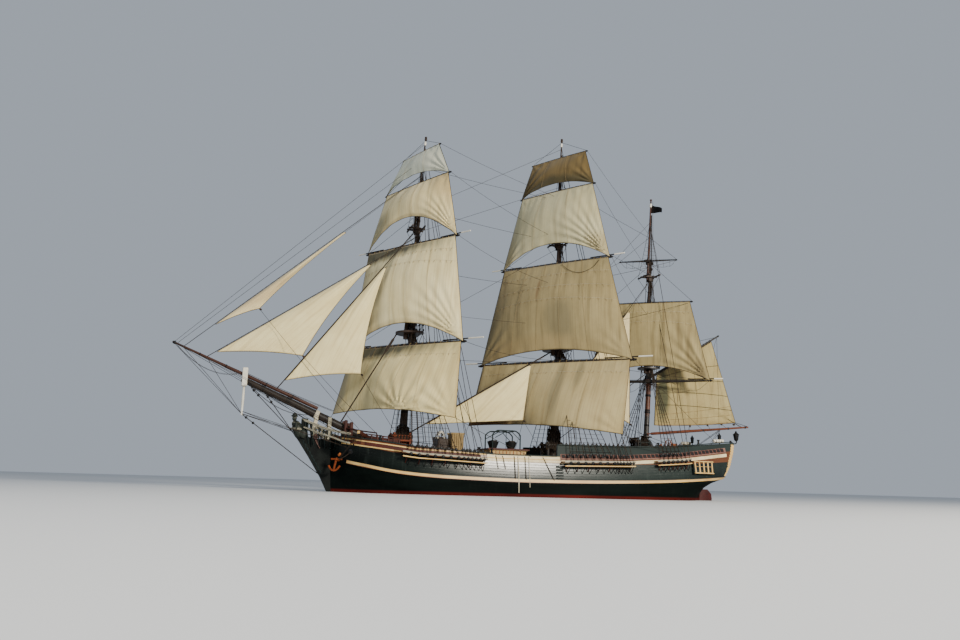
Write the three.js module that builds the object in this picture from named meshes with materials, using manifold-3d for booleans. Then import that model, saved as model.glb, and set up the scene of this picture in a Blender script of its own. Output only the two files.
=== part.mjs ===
// A three-masted square-rigged sailing ship under sail, as a scale model at 1:2.
// Millimetres. +X runs aft, +Y to starboard and +Z up; the origin is on the waterline, amidships.
// All places and sizes below are the full-size ship's, in metres, unless a comment says otherwise.
import * as THREE from 'three';
import { mergeVertices } from 'three/addons/utils/BufferGeometryUtils.js';
import Module from 'manifold-3d';

const wasm = await Module();
wasm.setup();

const SCALE = 0.5;
const METRE = 1000 * SCALE;
const SEAT_GAP = 0.0012;
const SPAR_GAP = 0.0016;
const DEGREE = Math.PI / 180;
const TIDY_TOLERANCE = 0.05; // millimetres of the model

const MATERIALS = {
  hullPaint: { colour: 0x2c3a3a, roughness: 0.35, metalness: 0.0 },
  bulwarkPaint: { colour: 0x4c625e, roughness: 0.5, metalness: 0.0 },
  creamPaint: { colour: 0xd8c08a, roughness: 0.45, metalness: 0.0 },
  bottomPaint: { colour: 0x6b1f1a, roughness: 0.6, metalness: 0.0 },
  darkSpar: { colour: 0x1f1d1c, roughness: 0.5, metalness: 0.0 },
  brownSpar: { colour: 0x7a4428, roughness: 0.5, metalness: 0.0 },
  whitePaint: { colour: 0xd9d6cc, roughness: 0.5, metalness: 0.0 },
  canvas: { colour: 0xd3c4a0, roughness: 0.85, metalness: 0.0 },
  paleCanvas: { colour: 0xd7d6bb, roughness: 0.85, metalness: 0.0 },
  goldenCanvas: { colour: 0xb79a63, roughness: 0.85, metalness: 0.0 },
  houseWood: { colour: 0xb59a6a, roughness: 0.6, metalness: 0.0 },
  orangeWood: { colour: 0x9c4f22, roughness: 0.55, metalness: 0.0 },
  iron: { colour: 0x1c1c1e, roughness: 0.45, metalness: 0.8 },
  rustyIron: { colour: 0x8d4423, roughness: 0.7, metalness: 0.4 },
  rope: { colour: 0x241f1b, roughness: 0.9, metalness: 0.0 },
  flagCloth: { colour: 0x141416, roughness: 0.8, metalness: 0.0 },
};

// Hull lines: the stem's and the stern's profile by height
const STEM_PROFILE = [
  { z: -3.9, x: -14.9 },
  { z: -3.2, x: -16.6 },
  { z: -2.2, x: -17.7 },
  { z: -1.0, x: -18.2 },
  { z: 0.0, x: -18.4 },
  { z: 1.5, x: -18.55 },
  { z: 3.0, x: -18.6 },
  { z: 5.6, x: -18.7 },
];
const STERN_PROFILE = [
  { z: -3.9, x: 16.2 },
  { z: 0.0, x: 16.69 },
  { z: 1.25, x: 16.85 },
  { z: 2.0, x: 17.25 },
  { z: 5.6, x: 18.63 },
];

// Heights of the wale, the rail moulding and the hull's top along the length, 0 at the stem
const SHEER = [
  { along: 0.0, wale: 2.75, rail: 4.02, top: 4.6, bulwark: 5.2 },
  { along: 0.06, wale: 2.2, rail: 3.68, top: 4.28, bulwark: 4.9 },
  { along: 0.17, wale: 1.6, rail: 3.19, top: 3.78, bulwark: 4.5 },
  { along: 0.36, wale: 1.36, rail: 2.92, top: 3.4, bulwark: 4.4 },
  { along: 0.5, wale: 1.34, rail: 2.95, top: 3.42, bulwark: 4.42 },
  { along: 0.7, wale: 1.48, rail: 3.14, top: 3.62, bulwark: 4.52 },
  { along: 0.85, wale: 1.72, rail: 3.55, top: 4.0, bulwark: 4.8 },
  { along: 1.0, wale: 2.12, rail: 4.26, top: 4.62, bulwark: 5.4 },
];
const WALE_HALF_HEIGHT = 0.14;
const WALE_PROUD = 0.07;
const WALE_FROM = 0.03;
const RAIL_HALF_HEIGHT = 0.12;
const UNDER_DROP = 0.85;
const MOULDING_GAP = 0.0018;

// Half-breadths at each level, at stations along the length
const BREADTHS = [
  { along: 0.0, floor: 0.18, bilge: 0.18, low: 0.18, water: 0.18, under: 0.2, wale: 0.22, rail: 0.3, top: 0.34 },
  { along: 0.015, floor: 0.2, bilge: 0.3, low: 0.5, water: 0.75, under: 1.0, wale: 1.3, rail: 1.55, top: 1.6 },
  { along: 0.04, floor: 0.26, bilge: 0.62, low: 1.25, water: 1.75, under: 2.15, wale: 2.5, rail: 2.8, top: 2.85 },
  { along: 0.08, floor: 0.45, bilge: 1.35, low: 2.35, water: 2.95, under: 3.3, wale: 3.55, rail: 3.72, top: 3.74 },
  { along: 0.14, floor: 0.95, bilge: 2.5, low: 3.55, water: 4.0, under: 4.2, wale: 4.32, rail: 4.33, top: 4.28 },
  { along: 0.24, floor: 2.0, bilge: 3.7, low: 4.45, water: 4.68, under: 4.76, wale: 4.78, rail: 4.66, top: 4.55 },
  { along: 0.38, floor: 2.9, bilge: 4.3, low: 4.75, water: 4.84, under: 4.86, wale: 4.84, rail: 4.66, top: 4.52 },
  { along: 0.55, floor: 3.0, bilge: 4.3, low: 4.76, water: 4.84, under: 4.85, wale: 4.82, rail: 4.62, top: 4.45 },
  { along: 0.7, floor: 2.3, bilge: 3.85, low: 4.55, water: 4.72, under: 4.78, wale: 4.76, rail: 4.52, top: 4.33 },
  { along: 0.82, floor: 1.2, bilge: 2.6, low: 3.85, water: 4.35, under: 4.55, wale: 4.62, rail: 4.34, top: 4.15 },
  { along: 0.9, floor: 0.55, bilge: 1.35, low: 2.55, water: 3.45, under: 4.1, wale: 4.42, rail: 4.15, top: 3.97 },
  { along: 0.95, floor: 0.3, bilge: 0.65, low: 1.25, water: 2.1, under: 3.3, wale: 4.1, rail: 3.98, top: 3.82 },
  { along: 0.98, floor: 0.2, bilge: 0.3, low: 0.5, water: 0.85, under: 1.9, wale: 3.75, rail: 3.85, top: 3.72 },
  { along: 1.0, floor: 0.18, bilge: 0.18, low: 0.18, water: 0.18, under: 0.5, wale: 3.4, rail: 3.75, top: 3.65 },
];
const KEEL_Z = -3.9;
const KEEL_HALF = 0.18;
const HULL_STATIONS = [
  0, 0.006, 0.015, 0.027, 0.04, 0.058, 0.08, 0.11, 0.14, 0.19, 0.24, 0.31, 0.38,
  0.46, 0.55, 0.63, 0.7, 0.76, 0.82, 0.86, 0.9, 0.925, 0.95, 0.967, 0.98, 0.99, 1,
];

// Deck, waist and quarterdeck
const WAIST_FROM = 0.034;
const WAIST_TO = 0.505;
const WAIST_DEPTH = 1.25;
const WAIST_STEPS = 16;
const WAIST_STATIONS = spread(WAIST_FROM, WAIST_TO, WAIST_STEPS);
const BULWARK_THICKNESS = 0.26;
const QUARTERDECK_FROM = 0.512;
const TAFFRAIL_THICKNESS = 0.3;

// Channels: the shelves that spread the shrouds
const CHANNELS = [
  { mast: 'fore', from: -13.6, to: -6.5, reach: 0.62 },
  { mast: 'main', from: 0.35, to: 7.2, reach: 0.62 },
  { mast: 'mizzen', from: 9.45, to: 13.1, reach: 0.55 },
];
const CHANNEL_THICKNESS = 0.12;

const GALLERY = { from: 13.35, to: 15.5, bottom: 2.45, top: 3.55, reach: 0.32, slope: 0.2 };

// Masts: each section's foot and head on the centreline, with its radii
const MASTS = {
  fore: {
    lower: { foot: [-12.7, 2.0], head: [-12.0, 16.1], radius: 0.33, headRadius: 0.27 },
    top: { z: 13.75, radius: 1.35 },
    topmast: { foot: [-12.68, 13.3], head: [-11.9, 25.4], radius: 0.21, headRadius: 0.155 },
    crosstrees: { z: 23.5 },
    topgallant: { foot: [-12.345, 23.2], head: [-11.61, 32.5], radius: 0.125, headRadius: 0.06 },
  },
  main: {
    lower: { foot: [1.4, 1.6], head: [2.2, 16.0], radius: 0.36, headRadius: 0.29 },
    top: { z: 13.35, radius: 1.45 },
    topmast: { foot: [1.48, 12.9], head: [2.1, 25.6], radius: 0.22, headRadius: 0.165 },
    crosstrees: { z: 23.7 },
    topgallant: { foot: [1.67, 23.4], head: [2.21, 34.6], radius: 0.14, headRadius: 0.06 },
  },
  mizzen: {
    lower: { foot: [11.0, 3.1], head: [11.8, 14.4], radius: 0.27, headRadius: 0.22 },
    top: { z: 12.3, radius: 1.05 },
    topmast: { foot: [11.2, 11.9], head: [11.99, 23.2], radius: 0.165, headRadius: 0.12 },
    crosstrees: { z: 21.6 },
    topgallant: { foot: [11.6, 21.3], head: [12.13, 29.7], radius: 0.11, headRadius: 0.07 },
  },
};
const TOP_THICKNESS = 0.16;
const CAP_THICKNESS = 0.28;
const MAST_SIDES = 12;
const YARD_SIDES = 12;

// Yards: height, length, brace angle from square, distance ahead of the mast's section, and how far the
// boom on each yardarm reaches beyond it
const YARDS = [
  {
    name: 'fore_yard',
    mast: 'fore',
    section: 'lower',
    z: 12.6,
    length: 12.7,
    brace: 40,
    ahead: 0.5,
    radius: 0.19,
    boom: 1.6,
  },
  {
    name: 'fore_topsail_yard',
    mast: 'fore',
    section: 'topmast',
    z: 21.8,
    length: 11.5,
    brace: 33,
    ahead: 0.45,
    radius: 0.15,
    boom: 1.1,
  },
  {
    name: 'fore_topgallant_yard',
    mast: 'fore',
    section: 'topgallant',
    z: 27.7,
    length: 9.6,
    brace: 25,
    ahead: 0.26,
    radius: 0.11,
    boom: 0,
  },
  {
    name: 'fore_royal_yard',
    mast: 'fore',
    section: 'topgallant',
    z: 30.9,
    length: 6.0,
    brace: 22,
    ahead: 0.22,
    radius: 0.08,
    boom: 0,
  },
  {
    name: 'main_yard',
    mast: 'main',
    section: 'lower',
    z: 12.1,
    length: 15.6,
    brace: 45,
    ahead: 0.7,
    radius: 0.21,
    boom: 1.4,
  },
  {
    name: 'main_topsail_yard',
    mast: 'main',
    section: 'topmast',
    z: 21.6,
    length: 12.0,
    brace: 38,
    ahead: 0.46,
    radius: 0.16,
    boom: 1.1,
  },
  {
    name: 'main_topgallant_yard',
    mast: 'main',
    section: 'topgallant',
    z: 29.0,
    length: 8.75,
    brace: 33,
    ahead: 0.27,
    radius: 0.11,
    boom: 0,
  },
  {
    name: 'main_royal_yard',
    mast: 'main',
    section: 'topgallant',
    z: 32.5,
    length: 6.7,
    brace: 31,
    ahead: 0.21,
    radius: 0.08,
    boom: 0,
  },
  {
    name: 'crossjack_yard',
    mast: 'mizzen',
    section: 'lower',
    z: 11.05,
    length: 12.0,
    brace: 54,
    ahead: 0.42,
    radius: 0.14,
    boom: 0.9,
  },
  {
    name: 'mizzen_topsail_yard',
    mast: 'mizzen',
    section: 'topmast',
    z: 18.8,
    length: 8.55,
    brace: 54,
    ahead: 0.35,
    radius: 0.11,
    boom: 0,
  },
  {
    name: 'mizzen_topgallant_yard',
    mast: 'mizzen',
    section: 'topgallant',
    z: 23.1,
    length: 5.7,
    brace: 56,
    ahead: 0.4,
    radius: 0.08,
    boom: 0,
  },
];
const YARD_TIP_SHARE = 0.45;
const YARD_MIDDLE_SHARE = 0.86;
const HEAD_SHARE = 0.93;
const YARD_KNOT = HEAD_SHARE / 2;

// Booms on the yardarms, where the shares are of half the yard
const YARD_BOOM = { from: 0.62, irons: [0.7, 0.955], radius: 0.055, above: 0.06, behind: 0.07, iron: 0.04 };

// Hinge lines: upright, through each mast at its lower yard
const HINGES = { fore: -12.174, main: 1.983, mizzen: 11.563 };

// Trusses: a collar on the mast and a pin of the yard that stands on it
const TRUSSES = [
  { yard: 'fore_yard', collar: 0.5, pin: 0.42, rise: 0 },
  { yard: 'main_yard', collar: 0.52, pin: 0.44, rise: 0 },
  { yard: 'crossjack_yard', collar: 0.42, pin: 0.35, rise: 0 },
  { yard: 'mizzen_topgallant_yard', collar: 0.36, pin: 0.3, rise: 0.36 },
];
const TRUSS_DROP = 0.16;
const COLLAR_THICKNESS = 0.08;
const PIN_RADIUS = 0.045;

// Square sails between two yards: belly ahead of the yards, and how far the foot is arched up
const SQUARE_SAILS = [
  { name: 'fore_topsail', head: 'fore_topsail_yard', foot: 'fore_yard', footShare: 0.96, belly: 1.15, arch: 1.9, cloth: 'canvas' },
  { name: 'fore_topgallant_sail', head: 'fore_topgallant_yard', foot: 'fore_topsail_yard', footShare: 0.96, belly: 0.85, arch: 2.5, cloth: 'canvas' },
  { name: 'fore_royal', head: 'fore_royal_yard', foot: 'fore_topgallant_yard', footShare: 0.955, belly: 0.45, arch: 0.9, cloth: 'paleCanvas' },
  { name: 'main_topsail', head: 'main_topsail_yard', foot: 'main_yard', footShare: 0.955, belly: 1.25, arch: 1.1, cloth: 'canvas' },
  { name: 'main_topgallant_sail', head: 'main_topgallant_yard', foot: 'main_topsail_yard', footShare: 0.955, belly: 0.95, arch: 1.9, cloth: 'canvas' },
  { name: 'main_royal', head: 'main_royal_yard', foot: 'main_topgallant_yard', footShare: 0.955, belly: 0.5, arch: 0.75, cloth: 'goldenCanvas' },
  { name: 'mizzen_topsail', head: 'mizzen_topsail_yard', foot: 'crossjack_yard', footShare: 0.955, belly: 0.3, arch: 1.5, cloth: 'canvas' },
];

// Courses: the head is on a yard and the foot's two corners are places
const COURSES = [
  { name: 'fore_course', head: 'fore_yard', port: [-9.4, -5.3, 6.2], starboard: [-18.0, 4.6, 6.75], belly: 1.0, arch: 0.5, cloth: 'canvas' },
  { name: 'main_course', head: 'main_yard', port: [5.85, -5.3, 5.55], starboard: [-4.9, 5.4, 6.4], belly: 0.75, arch: 0.35, cloth: 'canvas' },
];
const SAIL_THICKNESS = 0.024;
const HEAD_GAP = 0.0016;
const CLEW_GAP = 0;
const SAIL_COLUMNS = 8;
const SAIL_ROWS = 6;

// Staysails, headsails and the spanker: corners on or near the centreline, belly to port
const FORE_AND_AFT_SAILS = [
  { name: 'flying_jib', stay: 'flying_jib', headX: -18.75, tackX: -28.7, clew: [-25.3, -0.35, 14.8], belly: 0.5, cloth: 'canvas' },
  { name: 'jib', stay: 'jib', headX: -16.4, tackX: -28.4, clew: [-21.5, -0.35, 11.1], belly: 0.6, cloth: 'canvas' },
  { name: 'fore_topmast_staysail', stay: 'fore_topmast_stay', headX: -15.0, tackX: -22.8, clew: [-16.5, -0.35, 9.9], luffGap: 0.0111, belly: 0.5, cloth: 'canvas' },
  { name: 'main_staysail', stay: 'main_stay', headX: -1.0, tackX: -10.5, clew: [-1.5, -0.25, 6.72], luffGap: 0.0083, belly: 0.35, cloth: 'canvas' },
  { name: 'mizzen_staysail', stay: 'mizzen_staysail', headX: 9.3, tackX: 3.4, clew: [9.4, -0.05, 6.95], belly: 0.12, cloth: 'canvas' },
];
const HEAD_WIDTH = 0.22;

// Luff stays that belong to a sail: they run on past its corners to the mast and the spar
const LUFF_STAYS = {
  flying_jib: { from: [-11.93, 28.69], to: [-30.95, 11.19], radius: 0.035, ends: ['fore.topgallant', 'jibboom'] },
  jib: { from: [-12.12, 22.75], to: [-29.1, 10.5], side: -0.19, radius: 0.04, ends: ['fore.topmast', 'jibboom'] },
  mizzen_staysail: { from: [11.8, 21.2], to: [1.95, 8.0], radius: 0.04, ends: ['mizzen.topmast', 'main.lower'] },
};

const HANKS = { shares: [0.04, 0.2, 0.36, 0.52, 0.68, 0.84, 0.97], radius: 0.016, apart: 0.03, overlap: 0.05 };
const STAY_STEPS = 22;

// Spanker: gaff and boom swing on the mizzen mast; angles from the centreline, to port
const SPANKER_MAST = 'mizzen';
const SPANKER_ANGLE = 8;
const GAFF = { jaw: 11.45, length: 8.75, rise: 32, radius: 0.13, saddle: 11.27 };
const BOOM = { jaw: 6.07, length: 10.6, rise: 5.7, radius: 0.14, saddle: 5.85 };
const SADDLE_RADIUS = 0.55;
const JAW = { clear: 0.06, heel: 0.2, spread: 0.47, tip: -0.12, radius: 0.055 };
const SPANKER = { throatBack: 0.95, tackBack: 0.75, tackZ: 6.95, clewBack: 9.15, clewZ: 7.5, peakShare: 0.888, belly: 0.45, footSag: 0.12 };

// Bowsprit and what it carries, on the centreline
const BOWSPRIT = { heel: [-14.9, 4.16], end: [-26.2, 8.88], radius: 0.34, endRadius: 0.24 };
const BOWSPRIT_CAP = { behind: 0.22, above: 0.18, thickness: 0.26, width: 0.62, height: 1.25 };
const JIBBOOM = { heel: [-19.9, 6.79], end: [-31.8, 11.54], radius: 0.15, endRadius: 0.08 };
const STRIKER_LENGTH = 2.5;
const ANCHOR = { along: 0.018, z: 2.55, chock: 0.12, stand: 0.3, size: 0.8 };

// Knee of the head: outline from the forefoot up to the figure and back to the stem
const KNEE_OUTLINE = [
  { x: -17.55, z: -2.7 },
  { x: -18.3, z: -1.5 },
  { x: -18.75, z: 0.0 },
  { x: -19.35, z: 1.15 },
  { x: -20.5, z: 2.92 },
  { x: -21.25, z: 4.0 },
  { x: -21.55, z: 4.5 },
  { x: -21.1, z: 4.62 },
  { x: -20.3, z: 4.3 },
  { x: -18.75, z: 4.25 },
];
const KNEE_HALF = 0.19;
const KNEE_GAP = 0.0016;
const KNEE_HEAD = { x: -20.9, z: 5.2, length: 0.5, half: 0.21, height: 1.4 };
const KNEE_BACK = { x: -18.87, z: 5.15, length: 0.28, half: 0.4, height: 1.85 };

// Head rails, from the figure back to the bow, and the timbers that stand between the two
const HEAD_RAIL_RUN = [
  { x: -21.05, y: 0.14, upper: 5.75, lower: 5.2 },
  { x: -20.6, y: 0.45, upper: 5.61, lower: 5.05 },
  { x: -19.9, y: 0.9, upper: 5.29, lower: 4.77 },
  { x: -19.2, y: 1.45, upper: 5.01, lower: 4.53 },
  { x: -18.6, y: 2.0, upper: 4.85, lower: 4.3 },
  { x: -18.1, y: 2.45, upper: 4.74, lower: 4.08 },
  { x: -17.5, y: 2.9, upper: 4.62, lower: 3.92 },
];
const HEAD_RAIL_RADIUS = 0.075;
const HEAD_TIMBER = { radius: 0.06, foot: 3.6, inward: 0.35 };

// Rudder on the sternpost
const RUDDER = {
  bottom: -3.75,
  top: 1.05,
  aftBottom: 1.55,
  aftWater: 1.35,
  aftTop: 0.8,
  half: 0.14,
  stock: 0.15,
  clearance: 0.03,
  rake: 0.1256,
  pintle: 0.03,
  shoeDrop: 0.06,
};

const DECKHOUSE = { from: -5.0, to: -1.65, half: 1.45, top: 3.98 };
const DECK_ARCH = { from: -4.75, to: -1.95, half: 1.0, top: 5.62, radius: 0.06 };
const WHEEL = { x: 13.6, radius: 0.62, hub: 0.9, spokes: 8 };
const CAPSTAN = { x: -16.0, radius: 0.32, height: 1.05 };

const LANTERN = { x: 19.05, y: -3.1, z: 5.6, radius: 0.26, height: 0.95, postX: 18.4 };
const FLAG = { length: 1.2, drop: 0.9, taper: 0.5, top: 29.25, wave: 0.12, gap: 0.0045 };

// Stays: each runs from a mast's section to a spar or another mast, and is cut off at their surfaces
const STAYS = [
  { name: 'fore_stay', from: [-13.4, 13.85], to: [-18.05, 5.5], radius: 0.06, ends: ['fore.top', 'bowsprit'] },
  { name: 'fore_topmast_stay', from: [-12.22, 23.36], to: [-23.4, 8.2], radius: 0.045, ends: ['fore.topmast', 'fore.topgallant', 'jibboom', 'bowsprit'] },
  { name: 'main_stay', from: [1.4, 13.32], to: [-12.55, 4.75], radius: 0.06, ends: ['main.topmast', 'fore.lower'] },
];

// Geometry helpers

function point(x, y, z) {
  return new THREE.Vector3(x * METRE, y * METRE, z * METRE);
}

function closedGeometry(points, faces) {
  const geometry = new THREE.BufferGeometry();
  const numbers = [];
  for (const p of points) {
    numbers.push(p.x, p.y, p.z);
  }
  geometry.setAttribute('position', new THREE.Float32BufferAttribute(numbers, 3));
  geometry.setIndex(faces);
  if (signedVolume(geometry) < 0) {
    for (let i = 0; i < faces.length; i += 3) {
      const held = faces[i];
      faces[i] = faces[i + 1];
      faces[i + 1] = held;
    }
    geometry.setIndex(faces);
  }
  geometry.computeVertexNormals();
  return geometry;
}

function signedVolume(geometry) {
  const place = geometry.getAttribute('position');
  const index = geometry.getIndex();
  const a = new THREE.Vector3();
  const b = new THREE.Vector3();
  const c = new THREE.Vector3();
  let volume = 0;
  for (let i = 0; i < index.count; i += 3) {
    a.fromBufferAttribute(place, index.getX(i));
    b.fromBufferAttribute(place, index.getX(i + 1));
    c.fromBufferAttribute(place, index.getX(i + 2));
    volume += a.dot(b.cross(c)) / 6;
  }
  return volume;
}

function solid(geometry) {
  const copy = geometry.clone();
  copy.deleteAttribute('normal');
  copy.deleteAttribute('uv');
  const merged = mergeVertices(copy, 1e-4);
  const vertProperties = new Float32Array(merged.getAttribute('position').array);
  const triVerts = new Uint32Array(merged.getIndex().array);
  return new wasm.Manifold(new wasm.Mesh({ numProp: 3, vertProperties, triVerts }));
}

function geometryOf(body) {
  const mesh = body.simplify(TIDY_TOLERANCE).getMesh();
  const geometry = new THREE.BufferGeometry();
  const numbers = [];
  for (let i = 0; i < mesh.numVert; i += 1) {
    const start = i * mesh.numProp;
    numbers.push(mesh.vertProperties[start], mesh.vertProperties[start + 1], mesh.vertProperties[start + 2]);
  }
  geometry.setAttribute('position', new THREE.Float32BufferAttribute(numbers, 3));
  geometry.setIndex(Array.from(mesh.triVerts));
  geometry.computeVertexNormals();
  return geometry;
}

function largest(body) {
  const pieces = body.decompose();
  pieces.sort((a, b) => b.volume() - a.volume());
  return pieces[0];
}

function joined(geometries) {
  let body = solid(geometries[0]);
  for (const geometry of geometries.slice(1)) {
    body = body.add(solid(geometry));
  }
  return body;
}

// A closed body through rings that have the same number of points; the ends are closed as ladders
function loft(rings) {
  const points = rings.flat();
  const count = rings[0].length;
  const faces = [];
  for (let r = 0; r + 1 < rings.length; r += 1) {
    for (let i = 0; i < count; i += 1) {
      const a = r * count + i;
      const b = r * count + ((i + 1) % count);
      faces.push(a, b, b + count, a, b + count, a + count);
    }
  }
  const last = (rings.length - 1) * count;
  for (let i = 0; i + 1 < count / 2; i += 1) {
    const j = count - 1 - i;
    if (j - 1 > i + 1) {
      faces.push(i, j, j - 1, i, j - 1, i + 1);
      faces.push(last + i, last + j - 1, last + j, last + i, last + i + 1, last + j - 1);
    } else {
      faces.push(i, j, i + 1);
      faces.push(last + i, last + i + 1, last + j);
    }
  }
  return closedGeometry(points, faces);
}

// A round tapered bar from one place to another; shape lists the share of the length and the radius
function spar(from, to, shape, sides) {
  const axis = new THREE.Vector3().subVectors(to, from);
  const length = axis.length();
  const profile = [new THREE.Vector2(0, 0)];
  for (const row of shape) {
    profile.push(new THREE.Vector2(row.radius * METRE, row.share * length));
  }
  profile.push(new THREE.Vector2(0, length));
  const geometry = new THREE.LatheGeometry(profile, sides);
  const turn = new THREE.Quaternion().setFromUnitVectors(new THREE.Vector3(0, 1, 0), axis.clone().normalize());
  geometry.applyQuaternion(turn);
  geometry.translate(from.x, from.y, from.z);
  return geometry;
}

function rod(from, to, radius, sides = 8) {
  return spar(from, to, [{ share: 0, radius }, { share: 1, radius }], sides);
}

function block(x, y, z, sizeX, sizeY, sizeZ) {
  const geometry = new THREE.BoxGeometry(sizeX * METRE, sizeY * METRE, sizeZ * METRE);
  geometry.translate(x * METRE, y * METRE, z * METRE);
  return geometry;
}

// A flat plate with a given outline in the XZ plane, centred on y
function sidePlate(outline, y, thickness) {
  const shape = new THREE.Shape(outline.map((p) => new THREE.Vector2(p.x * METRE, p.z * METRE)));
  const geometry = new THREE.ExtrudeGeometry(shape, { depth: thickness * METRE, bevelEnabled: false });
  geometry.rotateX(Math.PI / 2);
  geometry.translate(0, (y + thickness / 2) * METRE, 0);
  return geometry;
}

function ball(x, y, z, radiusX, radiusY, radiusZ, sides = 10) {
  const geometry = new THREE.SphereGeometry(1, sides, Math.max(6, sides - 3));
  geometry.scale(radiusX * METRE, radiusY * METRE, radiusZ * METRE);
  geometry.translate(x * METRE, y * METRE, z * METRE);
  return geometry;
}

// A tube of even radius along a smooth curve
function tube(places, radius, steps, sides = 8) {
  const curve = new THREE.CatmullRomCurve3(places);
  const round = [];
  for (let i = 0; i < sides; i += 1) {
    const angle = (i / sides) * 2 * Math.PI;
    round.push(new THREE.Vector2(radius * METRE * Math.cos(angle), radius * METRE * Math.sin(angle)));
  }
  return new THREE.ExtrudeGeometry(new THREE.Shape(round), { steps, bevelEnabled: false, extrudePath: curve });
}

// A thin closed sheet over a grid of places
function sheet(place, columns, rows, thickness) {
  const front = [];
  const back = [];
  const step = 1e-3;
  for (let r = 0; r <= rows; r += 1) {
    for (let c = 0; c <= columns; c += 1) {
      const u = c / columns;
      const v = r / rows;
      const alongU = place(Math.min(1, u + step), v).sub(place(Math.max(0, u - step), v));
      const alongV = place(u, Math.min(1, v + step)).sub(place(u, Math.max(0, v - step)));
      const normal = alongU.cross(alongV).normalize().multiplyScalar((thickness * METRE) / 2);
      const middle = place(u, v);
      front.push(middle.clone().add(normal));
      back.push(middle.clone().sub(normal));
    }
  }
  const points = front.concat(back);
  const faces = [];
  const shift = front.length;
  const at = (c, r) => r * (columns + 1) + c;
  for (let r = 0; r < rows; r += 1) {
    for (let c = 0; c < columns; c += 1) {
      const corners = [at(c, r), at(c + 1, r), at(c + 1, r + 1), at(c, r + 1)];
      faces.push(corners[0], corners[1], corners[2], corners[0], corners[2], corners[3]);
      faces.push(shift + corners[0], shift + corners[2], shift + corners[1]);
      faces.push(shift + corners[0], shift + corners[3], shift + corners[2]);
    }
  }
  const rim = [];
  for (let c = 0; c < columns; c += 1) rim.push(at(c, 0));
  for (let r = 0; r < rows; r += 1) rim.push(at(columns, r));
  for (let c = columns; c > 0; c -= 1) rim.push(at(c, rows));
  for (let r = rows; r > 0; r -= 1) rim.push(at(0, r));
  for (let i = 0; i < rim.length; i += 1) {
    const a = rim[i];
    const b = rim[(i + 1) % rim.length];
    faces.push(b, a, shift + a, b, shift + a, shift + b);
  }
  return closedGeometry(points, faces);
}

// Values between the rows of a table, as a smooth curve through them
function between(rows, key, value, at) {
  const last = rows.length - 1;
  let i = 0;
  while (i < last - 1 && rows[i + 1][key] < at) {
    i += 1;
  }
  const a = rows[i];
  const b = rows[i + 1];
  const span = b[key] - a[key];
  const t = Math.min(1, Math.max(0, (at - a[key]) / span));
  const slope = (b[value] - a[value]) / span;
  const before = i > 0 ? (b[value] - rows[i - 1][value]) / (b[key] - rows[i - 1][key]) : slope;
  const after = i < last - 1 ? (rows[i + 2][value] - a[value]) / (rows[i + 2][key] - a[key]) : slope;
  const t2 = t * t;
  const t3 = t2 * t;
  const start = (2 * t3 - 3 * t2 + 1) * a[value] + (t3 - 2 * t2 + t) * span * before;
  const end = (3 * t2 - 2 * t3) * b[value] + (t3 - t2) * span * after;
  return start + end;
}

// Hull surface

function sheerAt(along, name) {
  return between(SHEER, 'along', name, along);
}

function levelsAt(along) {
  const wale = sheerAt(along, 'wale');
  return [
    { z: KEEL_Z, half: KEEL_HALF },
    { z: -3.2, half: between(BREADTHS, 'along', 'floor', along) },
    { z: -2.2, half: between(BREADTHS, 'along', 'bilge', along) },
    { z: -1.1, half: between(BREADTHS, 'along', 'low', along) },
    { z: 0, half: between(BREADTHS, 'along', 'water', along) },
    { z: wale - UNDER_DROP, half: between(BREADTHS, 'along', 'under', along) },
    { z: wale, half: between(BREADTHS, 'along', 'wale', along) },
    { z: sheerAt(along, 'rail'), half: between(BREADTHS, 'along', 'rail', along) },
    { z: sheerAt(along, 'top'), half: between(BREADTHS, 'along', 'top', along) },
  ];
}

function halfBreadth(along, z) {
  const levels = levelsAt(along);
  const top = levels[levels.length - 1];
  if (z <= KEEL_Z) {
    return KEEL_HALF;
  }
  if (z > top.z) {
    const rail = levels[levels.length - 2];
    return top.half + ((top.half - rail.half) / (top.z - rail.z)) * (z - top.z);
  }
  return Math.max(KEEL_HALF, between(levels, 'z', 'half', z));
}

function lengthwise(along, z) {
  const stem = between(STEM_PROFILE, 'z', 'x', z);
  const stern = between(STERN_PROFILE, 'z', 'x', z);
  return stem + (stern - stem) * along;
}

function alongOf(x, z) {
  const stem = between(STEM_PROFILE, 'z', 'x', z);
  const stern = between(STERN_PROFILE, 'z', 'x', z);
  return (x - stem) / (stern - stem);
}

function hullPoint(along, z, side, inset = 0) {
  const half = Math.max(0.02, halfBreadth(along, z) - inset);
  return point(lengthwise(along, z), side * half, z);
}

function hullHeights(along) {
  const wale = sheerAt(along, 'wale');
  const rail = sheerAt(along, 'rail');
  const top = sheerAt(along, 'top');
  return [
    KEEL_Z, -3.55, -3.2, -2.7, -2.2, -1.6, -1.1, -0.5, 0,
    Math.min(0.5, (wale - UNDER_DROP) * 0.6),
    wale - UNDER_DROP,
    wale - 0.45,
    wale - WALE_HALF_HEIGHT,
    wale + WALE_HALF_HEIGHT,
    (wale + rail) / 2,
    rail - RAIL_HALF_HEIGHT,
    rail + RAIL_HALF_HEIGHT,
    top,
  ];
}

function hullShell() {
  const rings = HULL_STATIONS.map((along) => {
    const heights = hullHeights(along);
    const starboard = heights.map((z) => hullPoint(along, z, 1)).reverse();
    const port = heights.map((z) => hullPoint(along, z, -1));
    return starboard.concat(port);
  });
  return loft(rings);
}

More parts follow.
